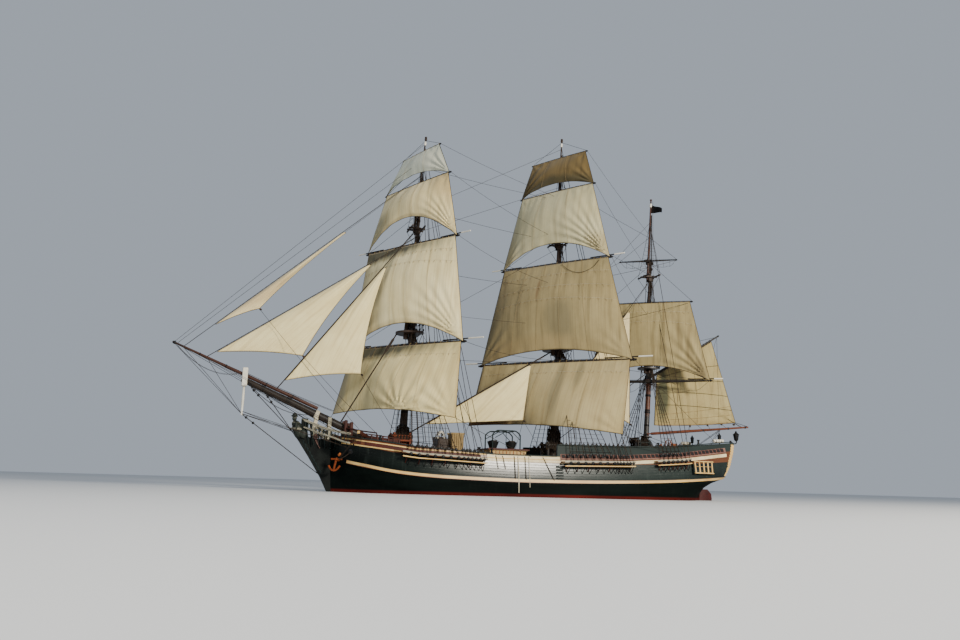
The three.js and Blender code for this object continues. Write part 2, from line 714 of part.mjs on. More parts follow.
// A slab across the hull between two heights, drawn in from the side by an inset
function slab(stations, bottom, top, inset, bottomInset = inset) {
  const rings = stations.map((along) => [
    hullPoint(along, top(along), 1, inset),
    hullPoint(along, bottom(along), 1, bottomInset),
    hullPoint(along, bottom(along), -1, bottomInset),
    hullPoint(along, top(along), -1, inset),
  ]);
  return loft(rings);
}

function spread(from, to, count) {
  const list = [];
  for (let i = 0; i <= count; i += 1) {
    list.push(from + ((to - from) * i) / count);
  }
  return list;
}

function deckHeight(along) {
  return along < WAIST_TO ? sheerAt(along, 'top') - WAIST_DEPTH : sheerAt(along, 'top');
}

// The heights of the deck and of the taffrail's top as built, straight between their stations
function deckAt(x) {
  const waist = x < lengthwise(WAIST_TO, 3);
  return heightOver(waist ? WAIST_STATIONS : HULL_STATIONS, deckHeight, x);
}

function taffrailAt(x) {
  return heightOver(HULL_STATIONS, (along) => sheerAt(along, 'bulwark'), x);
}

function heightOver(stations, heightAt, x) {
  const places = stations.map((along) => {
    const z = heightAt(along);
    return { x: lengthwise(along, z), z };
  });
  let i = 0;
  while (i < places.length - 2 && places[i + 1].x < x) {
    i += 1;
  }
  const share = (x - places[i].x) / (places[i + 1].x - places[i].x);
  return places[i].z + (places[i + 1].z - places[i].z) * share;
}

// A block that stands on the sloping deck or rail
function standing(fromX, toX, y, width, top, floorAt = deckAt) {
  const rings = [fromX, toX].map((x) => {
    const foot = floorAt(x) + SEAT_GAP;
    return [
      point(x, y + width / 2, top),
      point(x, y + width / 2, foot),
      point(x, y - width / 2, foot),
      point(x, y - width / 2, top),
    ];
  });
  return loft(rings);
}

function channelGeometry(channel, side) {
  const rings = [];
  for (const x of spread(channel.from, channel.to, 6)) {
    const guess = alongOf(x, 3);
    const z = sheerAt(guess, 'rail') + 0.02;
    const inner = halfBreadth(guess, z) - 0.15;
    const outer = halfBreadth(guess, z) + channel.reach;
    rings.push([
      point(x, side * inner, z + CHANNEL_THICKNESS / 2),
      point(x, side * outer, z + CHANNEL_THICKNESS / 2),
      point(x, side * outer, z - CHANNEL_THICKNESS / 2),
      point(x, side * inner, z - CHANNEL_THICKNESS / 2),
    ]);
  }
  return loft(rings);
}

function galleryGeometry(side) {
  const rings = [];
  for (const x of spread(GALLERY.from, GALLERY.to, 4)) {
    const low = alongOf(x, GALLERY.bottom);
    const high = alongOf(x, GALLERY.top);
    rings.push([
      point(x, side * (halfBreadth(high, GALLERY.top) - 0.2), GALLERY.top),
      point(x, side * (halfBreadth(high, GALLERY.top) + GALLERY.reach), GALLERY.top),
      point(x, side * (halfBreadth(low, GALLERY.bottom) + GALLERY.reach), GALLERY.bottom),
      point(x, side * (halfBreadth(low, GALLERY.bottom) - 0.2), GALLERY.bottom - GALLERY.slope),
    ]);
  }
  return loft(rings);
}

// The mast's section, as a place at a height
function onSection(section, z) {
  const share = (z - section.foot[1]) / (section.head[1] - section.foot[1]);
  return section.foot[0] + (section.head[0] - section.foot[0]) * share;
}

function radiusOn(section, z) {
  const share = (z - section.foot[1]) / (section.head[1] - section.foot[1]);
  return section.radius + (section.headRadius - section.radius) * share;
}

function sectionGeometry(section, grow = 0) {
  const from = point(section.foot[0], 0, section.foot[1]);
  const to = point(section.head[0], 0, section.head[1]);
  const shape = [
    { share: 0, radius: section.radius + grow },
    { share: 1, radius: section.headRadius + grow },
  ];
  return spar(from, to, shape, MAST_SIDES);
}

function hullGeometry() {
  let body = solid(hullShell());
  const above = (along) => sheerAt(along, 'top') + 0.6;
  body = body.subtract(solid(slab(WAIST_STATIONS, deckHeight, above, BULWARK_THICKNESS)));
  for (const channel of CHANNELS) {
    body = body.add(solid(channelGeometry(channel, 1)));
    body = body.add(solid(channelGeometry(channel, -1)));
  }
  for (const side of [-1, 1]) {
    const seat = anchorSeat(side);
    const inside = seat.base.clone().sub(seat.normal.clone().multiplyScalar(0.15 * METRE));
    body = body.add(solid(rod(inside, seat.face, 0.14, 8)));
  }
  for (const piece of shoeGeometries()) {
    body = body.add(solid(piece));
  }
  body = body.add(solid(galleryGeometry(1)));
  body = body.add(solid(galleryGeometry(-1)));
  for (const mast of Object.values(MASTS)) {
    body = body.subtract(solid(stepGeometry(mast.lower)));
  }
  return geometryOf(body);
}

// The space for a mast's foot below the deck
function stepGeometry(section) {
  const from = point(section.foot[0], 0, section.foot[1] - SEAT_GAP);
  const to = point(section.head[0], 0, section.head[1]);
  const shape = [
    { share: 0, radius: section.radius + SPAR_GAP },
    { share: 1, radius: section.headRadius + SPAR_GAP },
  ];
  return spar(from, to, shape, MAST_SIDES);
}

function bulwarkGeometry() {
  const outer = HULL_STATIONS.filter((along) => along > QUARTERDECK_FROM);
  outer.unshift(QUARTERDECK_FROM);
  const bottom = (along) => sheerAt(along, 'top') + SEAT_GAP;
  const top = (along) => sheerAt(along, 'bulwark');
  const below = (along) => sheerAt(along, 'top') - 0.3;
  const above = (along) => sheerAt(along, 'bulwark') + 0.3;
  const innerEnd = 1 - TAFFRAIL_THICKNESS / 36;
  const inner = spread(QUARTERDECK_FROM - 0.02, innerEnd, 16);
  const body = solid(slab(outer, bottom, top, 0)).subtract(solid(slab(inner, below, above, 0.24)));
  return geometryOf(body);
}

// A moulding that runs round the hull at a height: port side, across the stern, starboard side
function mouldingGeometry(name, halfHeight, thickness, from) {
  const stations = HULL_STATIONS.filter((along) => along > from);
  stations.unshift(from);
  const rings = [];
  const gap = MOULDING_GAP;
  const addRing = (low, high, normal) => {
    const inner = normal.clone().multiplyScalar(gap * METRE);
    const outer = normal.clone().multiplyScalar((gap + thickness) * METRE);
    rings.push([
      high.clone().add(inner),
      high.clone().add(outer),
      low.clone().add(outer),
      low.clone().add(inner),
    ]);
  };
  const sideRing = (along, side) => {
    const z = sheerAt(along, name);
    const ahead = hullPoint(Math.max(0, along - 0.002), z, side);
    const behind = hullPoint(Math.min(1, along + 0.002), z, side);
    const run = behind.sub(ahead).setZ(0).normalize();
    const normal = new THREE.Vector3(-side * run.y, side * run.x, 0);
    addRing(hullPoint(along, z - halfHeight, side), hullPoint(along, z + halfHeight, side), normal);
  };
  for (const along of stations.slice(0, -1)) {
    sideRing(along, -1);
  }
  const z = sheerAt(1, name);
  addRing(hullPoint(1, z - halfHeight, -1), hullPoint(1, z + halfHeight, -1), new THREE.Vector3(1.0, -1.0, 0));
  addRing(hullPoint(1, z - halfHeight, 1), hullPoint(1, z + halfHeight, 1), new THREE.Vector3(1.0, 1.0, 0));
  for (const along of stations.slice(0, -1).reverse()) {
    sideRing(along, 1);
  }
  return loft(rings);
}

// Masts

function discOutline(radius, back) {
  const outline = [];
  const steps = 14;
  for (let i = 0; i <= steps; i += 1) {
    const angle = Math.PI / 2 + (Math.PI * i) / steps;
    outline.push(new THREE.Vector2(radius * Math.cos(angle) * METRE, radius * Math.sin(angle) * METRE));
  }
  outline.push(new THREE.Vector2(back * METRE, -radius * METRE));
  outline.push(new THREE.Vector2(back * METRE, radius * METRE));
  return outline;
}

function topPlace(mast) {
  return onSection(mast.lower, mast.top.z) - 0.1;
}

function topGeometry(x, z, radius) {
  const shape = new THREE.Shape(discOutline(radius, radius * 0.62));
  const geometry = new THREE.ExtrudeGeometry(shape, { depth: TOP_THICKNESS * METRE, bevelEnabled: false });
  geometry.translate(x * METRE, 0, z * METRE);
  return geometry;
}

function capGeometry(section, next, z) {
  const back = onSection(section, z);
  const front = onSection(next, z);
  const reach = radiusOn(section, z) + radiusOn(next, z) + 0.16;
  return block((back + front) / 2, 0, z, back - front + reach, reach, CAP_THICKNESS);
}

function crosstreesGeometry(section, next, z) {
  const x = (onSection(section, z) + onSection(next, z)) / 2;
  const pieces = [
    block(x, 0.16 + section.headRadius, z, 1.5, 0.1, 0.16),
    block(x, -0.16 - section.headRadius, z, 1.5, 0.1, 0.16),
    block(x + 0.55, 0, z + 0.02, 0.12, 2.5, 0.12),
    block(x - 0.55, 0, z + 0.02, 0.12, 2.3, 0.12),
    block(x + 0.3, 0, z, 0.14, 0.9, 0.18),
  ];
  return pieces;
}

function mastNodes(name, mast) {
  const clearTopmast = solid(sectionGeometry(mast.topmast, SPAR_GAP));
  const clearTopgallant = solid(sectionGeometry(mast.topgallant, SPAR_GAP));
  const lowerParts = [
    sectionGeometry(mast.lower),
    topGeometry(topPlace(mast), mast.top.z, mast.top.radius),
    capGeometry(mast.lower, mast.topmast, mast.lower.head[1] - 0.2),
    ...collarGeometries(name, 'lower'),
  ];
  if (name === SPANKER_MAST) {
    lowerParts.push(saddleGeometry(GAFF), saddleGeometry(BOOM));
  }
  const lower = joined(lowerParts).subtract(clearTopmast);
  const topmastParts = [
    sectionGeometry(mast.topmast),
    ...crosstreesGeometry(mast.topmast, mast.topgallant, mast.crosstrees.z),
    capGeometry(mast.topmast, mast.topgallant, mast.topmast.head[1] - 0.18),
  ];
  const topmast = joined(topmastParts).subtract(clearTopgallant);
  const truck = point(mast.topgallant.head[0], 0, mast.topgallant.head[1]);
  const cap = rod(truck.clone().add(new THREE.Vector3(0, 0, -20)), truck.clone().add(new THREE.Vector3(0, 0, 45)), 0.11, 10);
  const topgallant = joined([sectionGeometry(mast.topgallant), cap, ...collarGeometries(name, 'topgallant')]);
  return [
    { name: `${name}_lower_mast`, geometry: geometryOf(lower), material: 'darkSpar' },
    { name: `${name}_topmast`, geometry: geometryOf(topmast), material: 'darkSpar' },
    { name: `${name}_topgallant_mast`, geometry: geometryOf(topgallant), material: 'darkSpar' },
  ];
}

// Yards and square sails

function yardFrame(yard) {
  const section = MASTS[yard.mast][yard.section];
  const angle = yard.brace * DEGREE;
  const across = new THREE.Vector3(-Math.sin(angle), Math.cos(angle), 0);
  const ahead = new THREE.Vector3(-Math.cos(angle), -Math.sin(angle), 0);
  const reach = radiusOn(section, yard.z) + yard.ahead;
  const centre = point(onSection(section, yard.z), 0, yard.z).add(ahead.clone().multiplyScalar(reach * METRE));
  return { across, ahead, centre };
}

function onYard(yard, distance, aheadBy = 0, up = 0) {
  const frame = yardFrame(yard);
  const place = frame.centre.clone();
  place.add(frame.across.clone().multiplyScalar(distance * METRE));
  place.add(frame.ahead.clone().multiplyScalar(aheadBy * METRE));
  place.z += up * METRE;
  return place;
}

function yardShape(yard) {
  return [
    { share: 0, radius: yard.radius * YARD_TIP_SHARE },
    { share: 0.5 - YARD_KNOT / 2, radius: yard.radius * YARD_MIDDLE_SHARE },
    { share: 0.5, radius: yard.radius },
    { share: 0.5 + YARD_KNOT / 2, radius: yard.radius * YARD_MIDDLE_SHARE },
    { share: 1, radius: yard.radius * YARD_TIP_SHARE },
  ];
}

function yardRadius(yard, distance) {
  const share = Math.abs(distance) / (yard.length / 2);
  if (share < YARD_KNOT) {
    return yard.radius * (1 - ((1 - YARD_MIDDLE_SHARE) * share) / YARD_KNOT);
  }
  const beyond = (share - YARD_KNOT) / (1 - YARD_KNOT);
  return yard.radius * (YARD_MIDDLE_SHARE - (YARD_MIDDLE_SHARE - YARD_TIP_SHARE) * beyond);
}

function yardGeometry(yard) {
  const from = onYard(yard, -yard.length / 2);
  const to = onYard(yard, yard.length / 2);
  const bar = spar(from, to, yardShape(yard), YARD_SIDES);
  const truss = TRUSSES.find((row) => row.yard === yard.name);
  if (!truss && !yard.boom) {
    return bar;
  }
  return geometryOf(joined([bar, ...trussGeometries(yard, truss), ...yardBoomGeometries(yard)]));
}

// The pin, and the arm that joins it to the yard
function trussGeometries(yard, truss) {
  if (!truss) {
    return [];
  }
  const centre = yardFrame(yard).centre;
  const elbow = centre.clone().add(new THREE.Vector3(0, 0, truss.rise * METRE));
  const hinge = new THREE.Vector3(HINGES[yard.mast] * METRE, 0, elbow.z);
  const pinTop = hinge.clone().add(elbow.clone().sub(hinge).setLength(truss.pin * METRE));
  const pinFoot = pinTop.clone();
  pinFoot.z = collarTop(yard, truss) + SEAT_GAP * METRE;
  const above = new THREE.Vector3(0, 0, PIN_RADIUS * METRE);
  const parts = [rod(elbow, pinTop, PIN_RADIUS, 8), rod(pinFoot, pinTop.clone().add(above), PIN_RADIUS, 8)];
  if (truss.rise > 0) {
    parts.push(rod(centre, elbow.clone().add(above), PIN_RADIUS, 8));
  }
  return parts;
}

// A boom above each yardarm, held by two irons
function yardBoomGeometries(yard) {
  if (!yard.boom) {
    return [];
  }
  const half = yard.length / 2;
  const up = yard.radius + YARD_BOOM.above;
  const parts = [];
  for (const side of [-1, 1]) {
    const inner = onYard(yard, side * half * YARD_BOOM.from, -YARD_BOOM.behind, up);
    const outer = onYard(yard, side * (half + yard.boom), -YARD_BOOM.behind, up);
    parts.push(rod(inner, outer, YARD_BOOM.radius, 8));
    for (const share of YARD_BOOM.irons) {
      const along = side * half * share;
      parts.push(rod(onYard(yard, along), onYard(yard, along, -YARD_BOOM.behind, up), YARD_BOOM.iron, 6));
    }
  }
  return parts;
}

function collarTop(yard, truss) {
  return (yard.z + truss.rise - TRUSS_DROP) * METRE;
}

// The collars that a mast's trusses stand on, for one of its sections
function collarGeometries(mastName, sectionName) {
  const list = [];
  for (const truss of TRUSSES) {
    const yard = yardNamed(truss.yard);
    if (yard.mast === mastName && yard.section === sectionName) {
      const top = new THREE.Vector3(HINGES[mastName] * METRE, 0, collarTop(yard, truss));
      const foot = top.clone().add(new THREE.Vector3(0, 0, -COLLAR_THICKNESS * METRE));
      list.push(rod(foot, top, truss.collar, 16));
    }
  }
  return list;
}

function blend(a, b, share) {
  return a.clone().lerp(b, share);
}

function fullness(u) {
  return 1 - (2 * u - 1) ** 2;
}

function drop(v) {
  return v < 0.55 ? Math.sin((Math.PI / 2) * (v / 0.55)) : 1 - 0.42 * ((v - 0.55) / 0.45) ** 2;
}

function squareSail(head, foot, corners, belly, arch) {
  const aheadOf = blend(yardFrame(head).ahead, foot ? yardFrame(foot).ahead : yardFrame(head).ahead, 0.5);
  return (u, v) => {
    const onHead = corners.head(u);
    const onFoot = corners.foot(u);
    onFoot.z += arch * fullness(u) * METRE;
    const place = blend(onHead, onFoot, v);
    const reach = belly * fullness(u) ** 0.8 * drop(v) * METRE;
    return place.add(aheadOf.clone().normalize().multiplyScalar(reach));
  };
}

function yardNamed(name) {
  return YARDS.find((yard) => yard.name === name);
}

function headEdge(yard, share = HEAD_SHARE) {
  const half = (yard.length / 2) * share;
  return (u) => {
    const distance = half * (2 * u - 1);
    return onYard(yard, distance, yardRadius(yard, distance) + SAIL_THICKNESS / 2 + HEAD_GAP);
  };
}

function footEdge(yard, share) {
  const half = (yard.length / 2) * share;
  return (u) => {
    const distance = half * (2 * u - 1);
    return onYard(yard, distance, yardRadius(yard, distance) + SAIL_THICKNESS / 2 + CLEW_GAP);
  };
}

function betweenYardsSail(row) {
  const head = yardNamed(row.head);
  const foot = yardNamed(row.foot);
  const corners = { head: headEdge(head), foot: footEdge(foot, row.footShare) };
  return squareSail(head, foot, corners, row.belly, row.arch);
}

function courseSail(row) {
  const head = yardNamed(row.head);
  const port = point(...row.port);
  const starboard = point(...row.starboard);
  const corners = { head: headEdge(head), foot: (u) => blend(port, starboard, u) };
  return squareSail(head, null, corners, row.belly, row.arch);
}

// Triangular sails: u runs from the luff to the leech, v from the head to the foot
function triangularSail(row) {
  const stay = stayOf(row);
  const { from, to } = stayEnds(stay);
  const run = to.clone().sub(from).normalize();
  const below = new THREE.Vector3(-run.z, 0, run.x);
  if (below.x < 0) {
    below.multiplyScalar(-1);
  }
  const offset = (stay.radius + (row.luffGap ?? HANKS.apart)) * METRE;
  const onLuff = (x) => {
    const share = (x - stay.from[0]) / (stay.to[0] - stay.from[0]);
    return blend(from, to, share).add(below.clone().multiplyScalar(offset));
  };
  const head = onLuff(row.headX);
  const tack = onLuff(row.tackX);
  const clew = point(...row.clew);
  const headLeech = head.clone().add(new THREE.Vector3(HEAD_WIDTH * METRE, 0, 0));
  return (u, v) => {
    const place = blend(blend(head, headLeech, u), blend(tack, clew, u), v);
    const reach = row.belly * fullness(u) * Math.sin(Math.PI * Math.min(1, 0.12 + 0.8 * v)) * METRE;
    place.y -= reach;
    return place;
  };
}

// A stay's two ends; its upper one may lie a little to one side of the mast
function stayEnds(stay) {
  const from = point(stay.from[0], stay.side ?? 0, stay.from[1]);
  const to = point(stay.to[0], 0, stay.to[1]);
  return { from, to };
}

function stayOf(row) {
  return LUFF_STAYS[row.stay] ?? STAYS.find((stay) => stay.name === row.stay);
}

// A stay, which ends just short of the spars that it is made fast to
function stayGeometry(stay) {
  const { from, to } = stayEnds(stay);
  const spars = stay.ends.map((name) => solid(endGeometry(name)));
  const middle = blend(from, to, 0.5);
  const isClear = (end) => {
    const bar = end.z > middle.z ? rod(end, middle, stay.radius, 8) : rod(middle, end, stay.radius, 8);
    return spars.every((other) => solid(bar).intersect(other).isEmpty());
  };
  const clearEnd = (end) => {
    let near = 0;
    let far = 1;
    for (let i = 0; i < STAY_STEPS; i += 1) {
      const share = (near + far) / 2;
      if (isClear(blend(middle, end, share))) {
        near = share;
      } else {
        far = share;
      }
    }
    return blend(middle, end, near);
  };
  return rod(clearEnd(from), clearEnd(to), stay.radius, 8);
}

function endGeometry(name) {
  if (name === 'jibboom') {
    return jibboomGeometry(SPAR_GAP);
  }
  if (name === 'bowsprit') {
    return bowspritSpar(SPAR_GAP);
  }
  const [mastName, section] = name.split('.');
  const mast = MASTS[mastName];
  if (section === 'top') {
    return topGeometry(topPlace(mast), mast.top.z - SPAR_GAP, mast.top.radius);
  }
  return sectionGeometry(mast[section], SPAR_GAP);
}

// A sail with a stay of its own hangs on it by hanks
function triangularGeometry(row) {
  const sail = triangularSail(row);
  const cloth = sheet(sail, 6, SAIL_COLUMNS, SAIL_THICKNESS);
  if (!(row.stay in LUFF_STAYS)) {
    return cloth;
  }
  const stay = stayOf(row);
  const { from, to } = stayEnds(stay);
  const run = to.clone().sub(from).normalize();
  const parts = [cloth, stayGeometry(stay)];
  for (const share of HANKS.shares) {
    const luff = sail(0, share);
    const onStay = from.clone().add(run.clone().multiplyScalar(luff.clone().sub(from).dot(run)));
    const inward = luff.clone().sub(onStay).normalize().multiplyScalar(HANKS.overlap * METRE);
    parts.push(rod(onStay, luff.clone().add(inward), HANKS.radius, 6));
  }
  return geometryOf(joined(parts));
}

// Spanker

function spankerDirection() {
  const angle = SPANKER_ANGLE * DEGREE;
  return new THREE.Vector3(Math.cos(angle), -Math.sin(angle), 0);
}

function onSpanker(back, z) {
  const mast = MASTS.mizzen.lower;
  const place = point(onSection(mast, z), 0, z);
  return place.add(spankerDirection().multiplyScalar(back * METRE));
}

function gaffPlace(distance, lift = 0) {
  const rise = GAFF.rise * DEGREE;
  const start = onSpanker(0, GAFF.jaw);
  const run = spankerDirection().multiplyScalar(distance * Math.cos(rise) * METRE);
  return start.add(run).add(new THREE.Vector3(0, 0, (distance * Math.sin(rise) + lift) * METRE));
}

function boomPlace(distance) {
  const rise = BOOM.rise * DEGREE;
  const start = onSpanker(0, BOOM.jaw);
  const run = spankerDirection().multiplyScalar(distance * Math.cos(rise) * METRE);
  return start.add(run).add(new THREE.Vector3(0, 0, distance * Math.sin(rise) * METRE));
}

// The mizzen mast's own direction, and a place near its axis
function mastDirection() {
  const { foot, head } = MASTS[SPANKER_MAST].lower;
  return new THREE.Vector3(head[0] - foot[0], 0, head[1] - foot[1]).normalize();
}

function onMastAxis(z) {
  return point(onSection(MASTS[SPANKER_MAST].lower, z), 0, z);
}

// The collar on the mast that a jaw's pins stand on
function saddleGeometry(row) {
  const top = onMastAxis(row.saddle);
  const foot = top.clone().sub(mastDirection().multiplyScalar(COLLAR_THICKNESS * METRE));
  return rod(foot, top, SADDLE_RADIUS, 16);
}

function jawedSpar(place, row, radiusAdded = 0, withJaws = true) {
  const start = radiusOn(MASTS[SPANKER_MAST].lower, row.jaw) + JAW.clear;
  const shape = [
    { share: 0, radius: row.radius * 0.9 + radiusAdded },
    { share: 0.35, radius: row.radius + radiusAdded },
    { share: 1, radius: row.radius * 0.55 + radiusAdded },
  ];
  const main = spar(place(start + JAW.heel), place(row.length), shape, 10);
  if (!withJaws) {
    return main;
  }
  const parts = [main];
  for (const side of [-1, 1]) {
    const aside = new THREE.Vector3(-spankerDirection().y, spankerDirection().x, 0);
    const spreadBy = aside.multiplyScalar(side * JAW.spread * METRE);
    const from = place(start + 0.5).add(spreadBy.clone().multiplyScalar(0.3));
    const to = place(JAW.tip).add(spreadBy);
    const pinTop = place(0).add(spreadBy);
    const height = pinTop.clone().sub(onMastAxis(row.saddle)).dot(mastDirection());
    const pinFoot = pinTop.clone().sub(mastDirection().multiplyScalar(height - SEAT_GAP * METRE));
    parts.push(rod(from, to, JAW.radius, 6));
    parts.push(rod(pinFoot, pinTop, PIN_RADIUS, 8));
  }
  return geometryOf(joined(parts));
}

function spankerSail() {
  const throat = gaffPlace(SPANKER.throatBack);
  const peak = gaffPlace(GAFF.length * SPANKER.peakShare);
  const tack = onSpanker(SPANKER.tackBack, SPANKER.tackZ);
  const clew = onSpanker(SPANKER.clewBack, SPANKER.clewZ);
  const aside = new THREE.Vector3(-spankerDirection().y, spankerDirection().x, 0).multiplyScalar(-1);
  return (u, v) => {
    const place = blend(blend(throat, peak, u), blend(tack, clew, u), v);
    const reach = SPANKER.belly * fullness(u) * Math.sin(Math.PI * v) * METRE;
    place.z -= SPANKER.footSag * fullness(u) * v * METRE;
    return place.add(aside.clone().multiplyScalar(reach));
  };
}

// The sail, cut off just under the gaff that its head is laced to
function spankerGeometry() {
  const cloth = solid(sheet(spankerSail(), 6, SAIL_COLUMNS, SAIL_THICKNESS));
  const gaff = solid(jawedSpar(gaffPlace, GAFF, SPAR_GAP, false));
  return geometryOf(largest(cloth.subtract(gaff)));
}

// Head of the ship

function kneeGeometry() {
  const outline = KNEE_OUTLINE.map((p) => ({ x: p.x, z: p.z }));
  const kneeTop = KNEE_OUTLINE[KNEE_OUTLINE.length - 1].z;
  const kneeBottom = KNEE_OUTLINE[0].z;
  for (const z of hullHeights(0).reverse()) {
    if (z < kneeTop && z >= kneeBottom) {
      outline.push({ x: between(STEM_PROFILE, 'z', 'x', z) - KNEE_GAP, z });
    }
  }
  const parts = [sidePlate(outline, 0, 2 * KNEE_HALF)];
  parts.push(...headRailGeometries(0));
  for (const [before, after] of [[1, 2], [2, 3], [3, 4]]) {
    for (const side of [-1, 1]) {
      const x = (HEAD_RAIL_RUN[before].x + HEAD_RAIL_RUN[after].x) / 2;
      const y = (HEAD_RAIL_RUN[before].y + HEAD_RAIL_RUN[after].y) / 2;
      const top = (HEAD_RAIL_RUN[before].upper + HEAD_RAIL_RUN[after].upper) / 2;
      const foot = point(x, side * Math.max(0, y * HEAD_TIMBER.inward), HEAD_TIMBER.foot);
      parts.push(rod(foot, point(x, side * y, top), HEAD_TIMBER.radius, 6));
    }
  }
  parts.push(kneePostGeometry(KNEE_HEAD, 0));
  parts.push(kneePostGeometry(KNEE_BACK, 0));
  return geometryOf(joined(parts).subtract(solid(bowspritSpar(SPAR_GAP))));
}

function kneePostGeometry(post, grow) {
  return block(post.x, 0, post.z, post.length + 2 * grow, 2 * (post.half + grow), post.height + 2 * grow);
}

function headRailGeometries(grow) {
  const parts = [];
  for (const level of ['upper', 'lower']) {
    for (const side of [-1, 1]) {
      const places = HEAD_RAIL_RUN.map((row) => point(row.x, side * row.y, row[level]));
      parts.push(tube(places, HEAD_RAIL_RADIUS + grow, 14, 6));
    }
  }
  return parts;
}

// The figure: a coated man with folded arms and a wide hat, set against the knee's head
function figureGeometry() {
  const parts = [
    ball(-21.3, 0, 4.72, 0.42, 0.4, 0.5, 14),
    ball(-21.48, 0, 5.12, 0.42, 0.4, 0.5, 14),
    ball(-21.6, 0, 5.42, 0.34, 0.46, 0.3, 14),
    ball(-21.74, 0, 5.88, 0.19, 0.17, 0.25, 14),
    rod(point(-21.66, 0, 5.55), point(-21.74, 0, 5.8), 0.13, 10),
    ball(-21.74, 0, 6.08, 0.3, 0.46, 0.09, 14),
    ball(-21.74, 0, 6.17, 0.2, 0.3, 0.17, 14),
  ];
  for (const side of [-1, 1]) {
    const shoulder = point(-21.58, side * 0.4, 5.5);
    const elbow = point(-21.62, side * 0.5, 5.05);
    const hand = point(-21.95, side * 0.1, 5.02);
    parts.push(ball(-21.58, side * 0.4, 5.5, 0.14, 0.14, 0.14));
    parts.push(ball(-21.62, side * 0.5, 5.05, 0.11, 0.11, 0.11));
    parts.push(rod(shoulder, elbow, 0.11, 8));
    parts.push(rod(elbow, hand, 0.09, 8));
    parts.push(ball(-21.95, side * 0.1, 5.02, 0.11, 0.1, 0.09));
    parts.push(ball(-20.98, side * 0.36, 4.62, 0.3, 0.14, 0.36, 12));
  }
  const around = KNEE_OUTLINE.map((p) => ({ x: p.x * (1 + SPAR_GAP / 10), z: p.z + SPAR_GAP }));
  const clear = joined([
    sidePlate(around, 0, 2 * (KNEE_HALF + SPAR_GAP)),
    kneePostGeometry(KNEE_HEAD, SPAR_GAP),
    ...headRailGeometries(SPAR_GAP),
  ]);
  return geometryOf(largest(joined(parts).subtract(clear)));
}

function bowspritSpar(grow = 0) {
  const from = point(BOWSPRIT.heel[0], 0, BOWSPRIT.heel[1]);
  const to = point(BOWSPRIT.end[0], 0, BOWSPRIT.end[1]);
  const shape = [
    { share: 0, radius: BOWSPRIT.radius * 0.92 + grow },
    { share: 0.4, radius: BOWSPRIT.radius + grow },
    { share: 1, radius: BOWSPRIT.endRadius + grow },
  ];
  return spar(from, to, shape, 12);
}

function capPlace() {
  return { x: BOWSPRIT.end[0] + BOWSPRIT_CAP.behind, z: BOWSPRIT.end[1] + BOWSPRIT_CAP.above };
}

function bowspritGeometry() {
  const { thickness, width, height } = BOWSPRIT_CAP;
  const cap = block(capPlace().x, 0, capPlace().z, thickness, width, height);
  const clear = solid(jibboomGeometry(SPAR_GAP));
  return geometryOf(joined([bowspritSpar(), cap]).subtract(clear));
}

function jibboomGeometry(grow) {
  const from = point(JIBBOOM.heel[0], 0, JIBBOOM.heel[1]);
  const to = point(JIBBOOM.end[0], 0, JIBBOOM.end[1]);
  const shape = [
    { share: 0, radius: JIBBOOM.radius + grow },
    { share: 0.5, radius: JIBBOOM.radius + grow },
    { share: 1, radius: JIBBOOM.endRadius + grow },
  ];
  return spar(from, to, shape, 10);
}

function strikerGeometry() {
  const { x, z } = capPlace();
  const top = z - BOWSPRIT_CAP.height / 2 - SEAT_GAP;
  const shape = [
    { share: 0, radius: 0.09 },
    { share: 0.5, radius: 0.1 },
    { share: 1, radius: 0.07 },
  ];
  return spar(point(x, 0, top), point(x, 0, top - STRIKER_LENGTH), shape, 8);
}

// The chock on the bow that an anchor is lashed against: its outer face and its direction
function anchorSeat(side) {
  const ahead = hullPoint(ANCHOR.along - 0.004, ANCHOR.z, side);
  const behind = hullPoint(ANCHOR.along + 0.004, ANCHOR.z, side);
  const run = behind.sub(ahead).setZ(0).normalize();
  const normal = new THREE.Vector3(-side * run.y, side * run.x, 0);
  const base = hullPoint(ANCHOR.along, ANCHOR.z, side);
  const face = base.clone().add(normal.clone().multiplyScalar(ANCHOR.chock * METRE));
  return { base, normal, face };
}

function anchorGeometry(side) {
  const seat = anchorSeat(side);
  const x = seat.face.x / METRE + seat.normal.x * ANCHOR.stand;
  const y = Math.abs(seat.face.y) / METRE + Math.abs(seat.normal.y) * ANCHOR.stand;
  const lug = seat.face.clone().add(seat.normal.clone().multiplyScalar(SEAT_GAP * METRE));
  const at = (along, out, up) => {
    const { size } = ANCHOR;
    return point(x + along * size, side * (y + out * size), ANCHOR.z + up * size);
  };
  const arms = [at(-0.75, -0.2, -0.55), at(-0.5, -0.1, -0.95), at(-0.25, -0.02, -1.05), at(0.05, 0.06, -0.95), at(0.35, 0.16, -0.55)];
  const parts = [
    rod(lug, at(0, 0, 0), 0.08, 8),
    rod(at(0, 0, 0.25), at(-0.25, -0.02, -1.0), 0.09, 8),
    rod(at(-0.55, -0.12, 0.1), at(0.55, 0.12, 0.1), 0.07, 8),
    tube(arms, 0.08, 8, 6),
  ];
  return geometryOf(joined(parts));
}

// Rudder: the hinge line is the stock's axis, just behind the sternpost
function rudderAxisX(z) {
  const post = STERN_PROFILE[0];
  return post.x + RUDDER.rake * (z - post.z) + RUDDER.stock + RUDDER.clearance;
}

function onRudderAxis(z) {
  return point(rudderAxisX(z), 0, z);
}

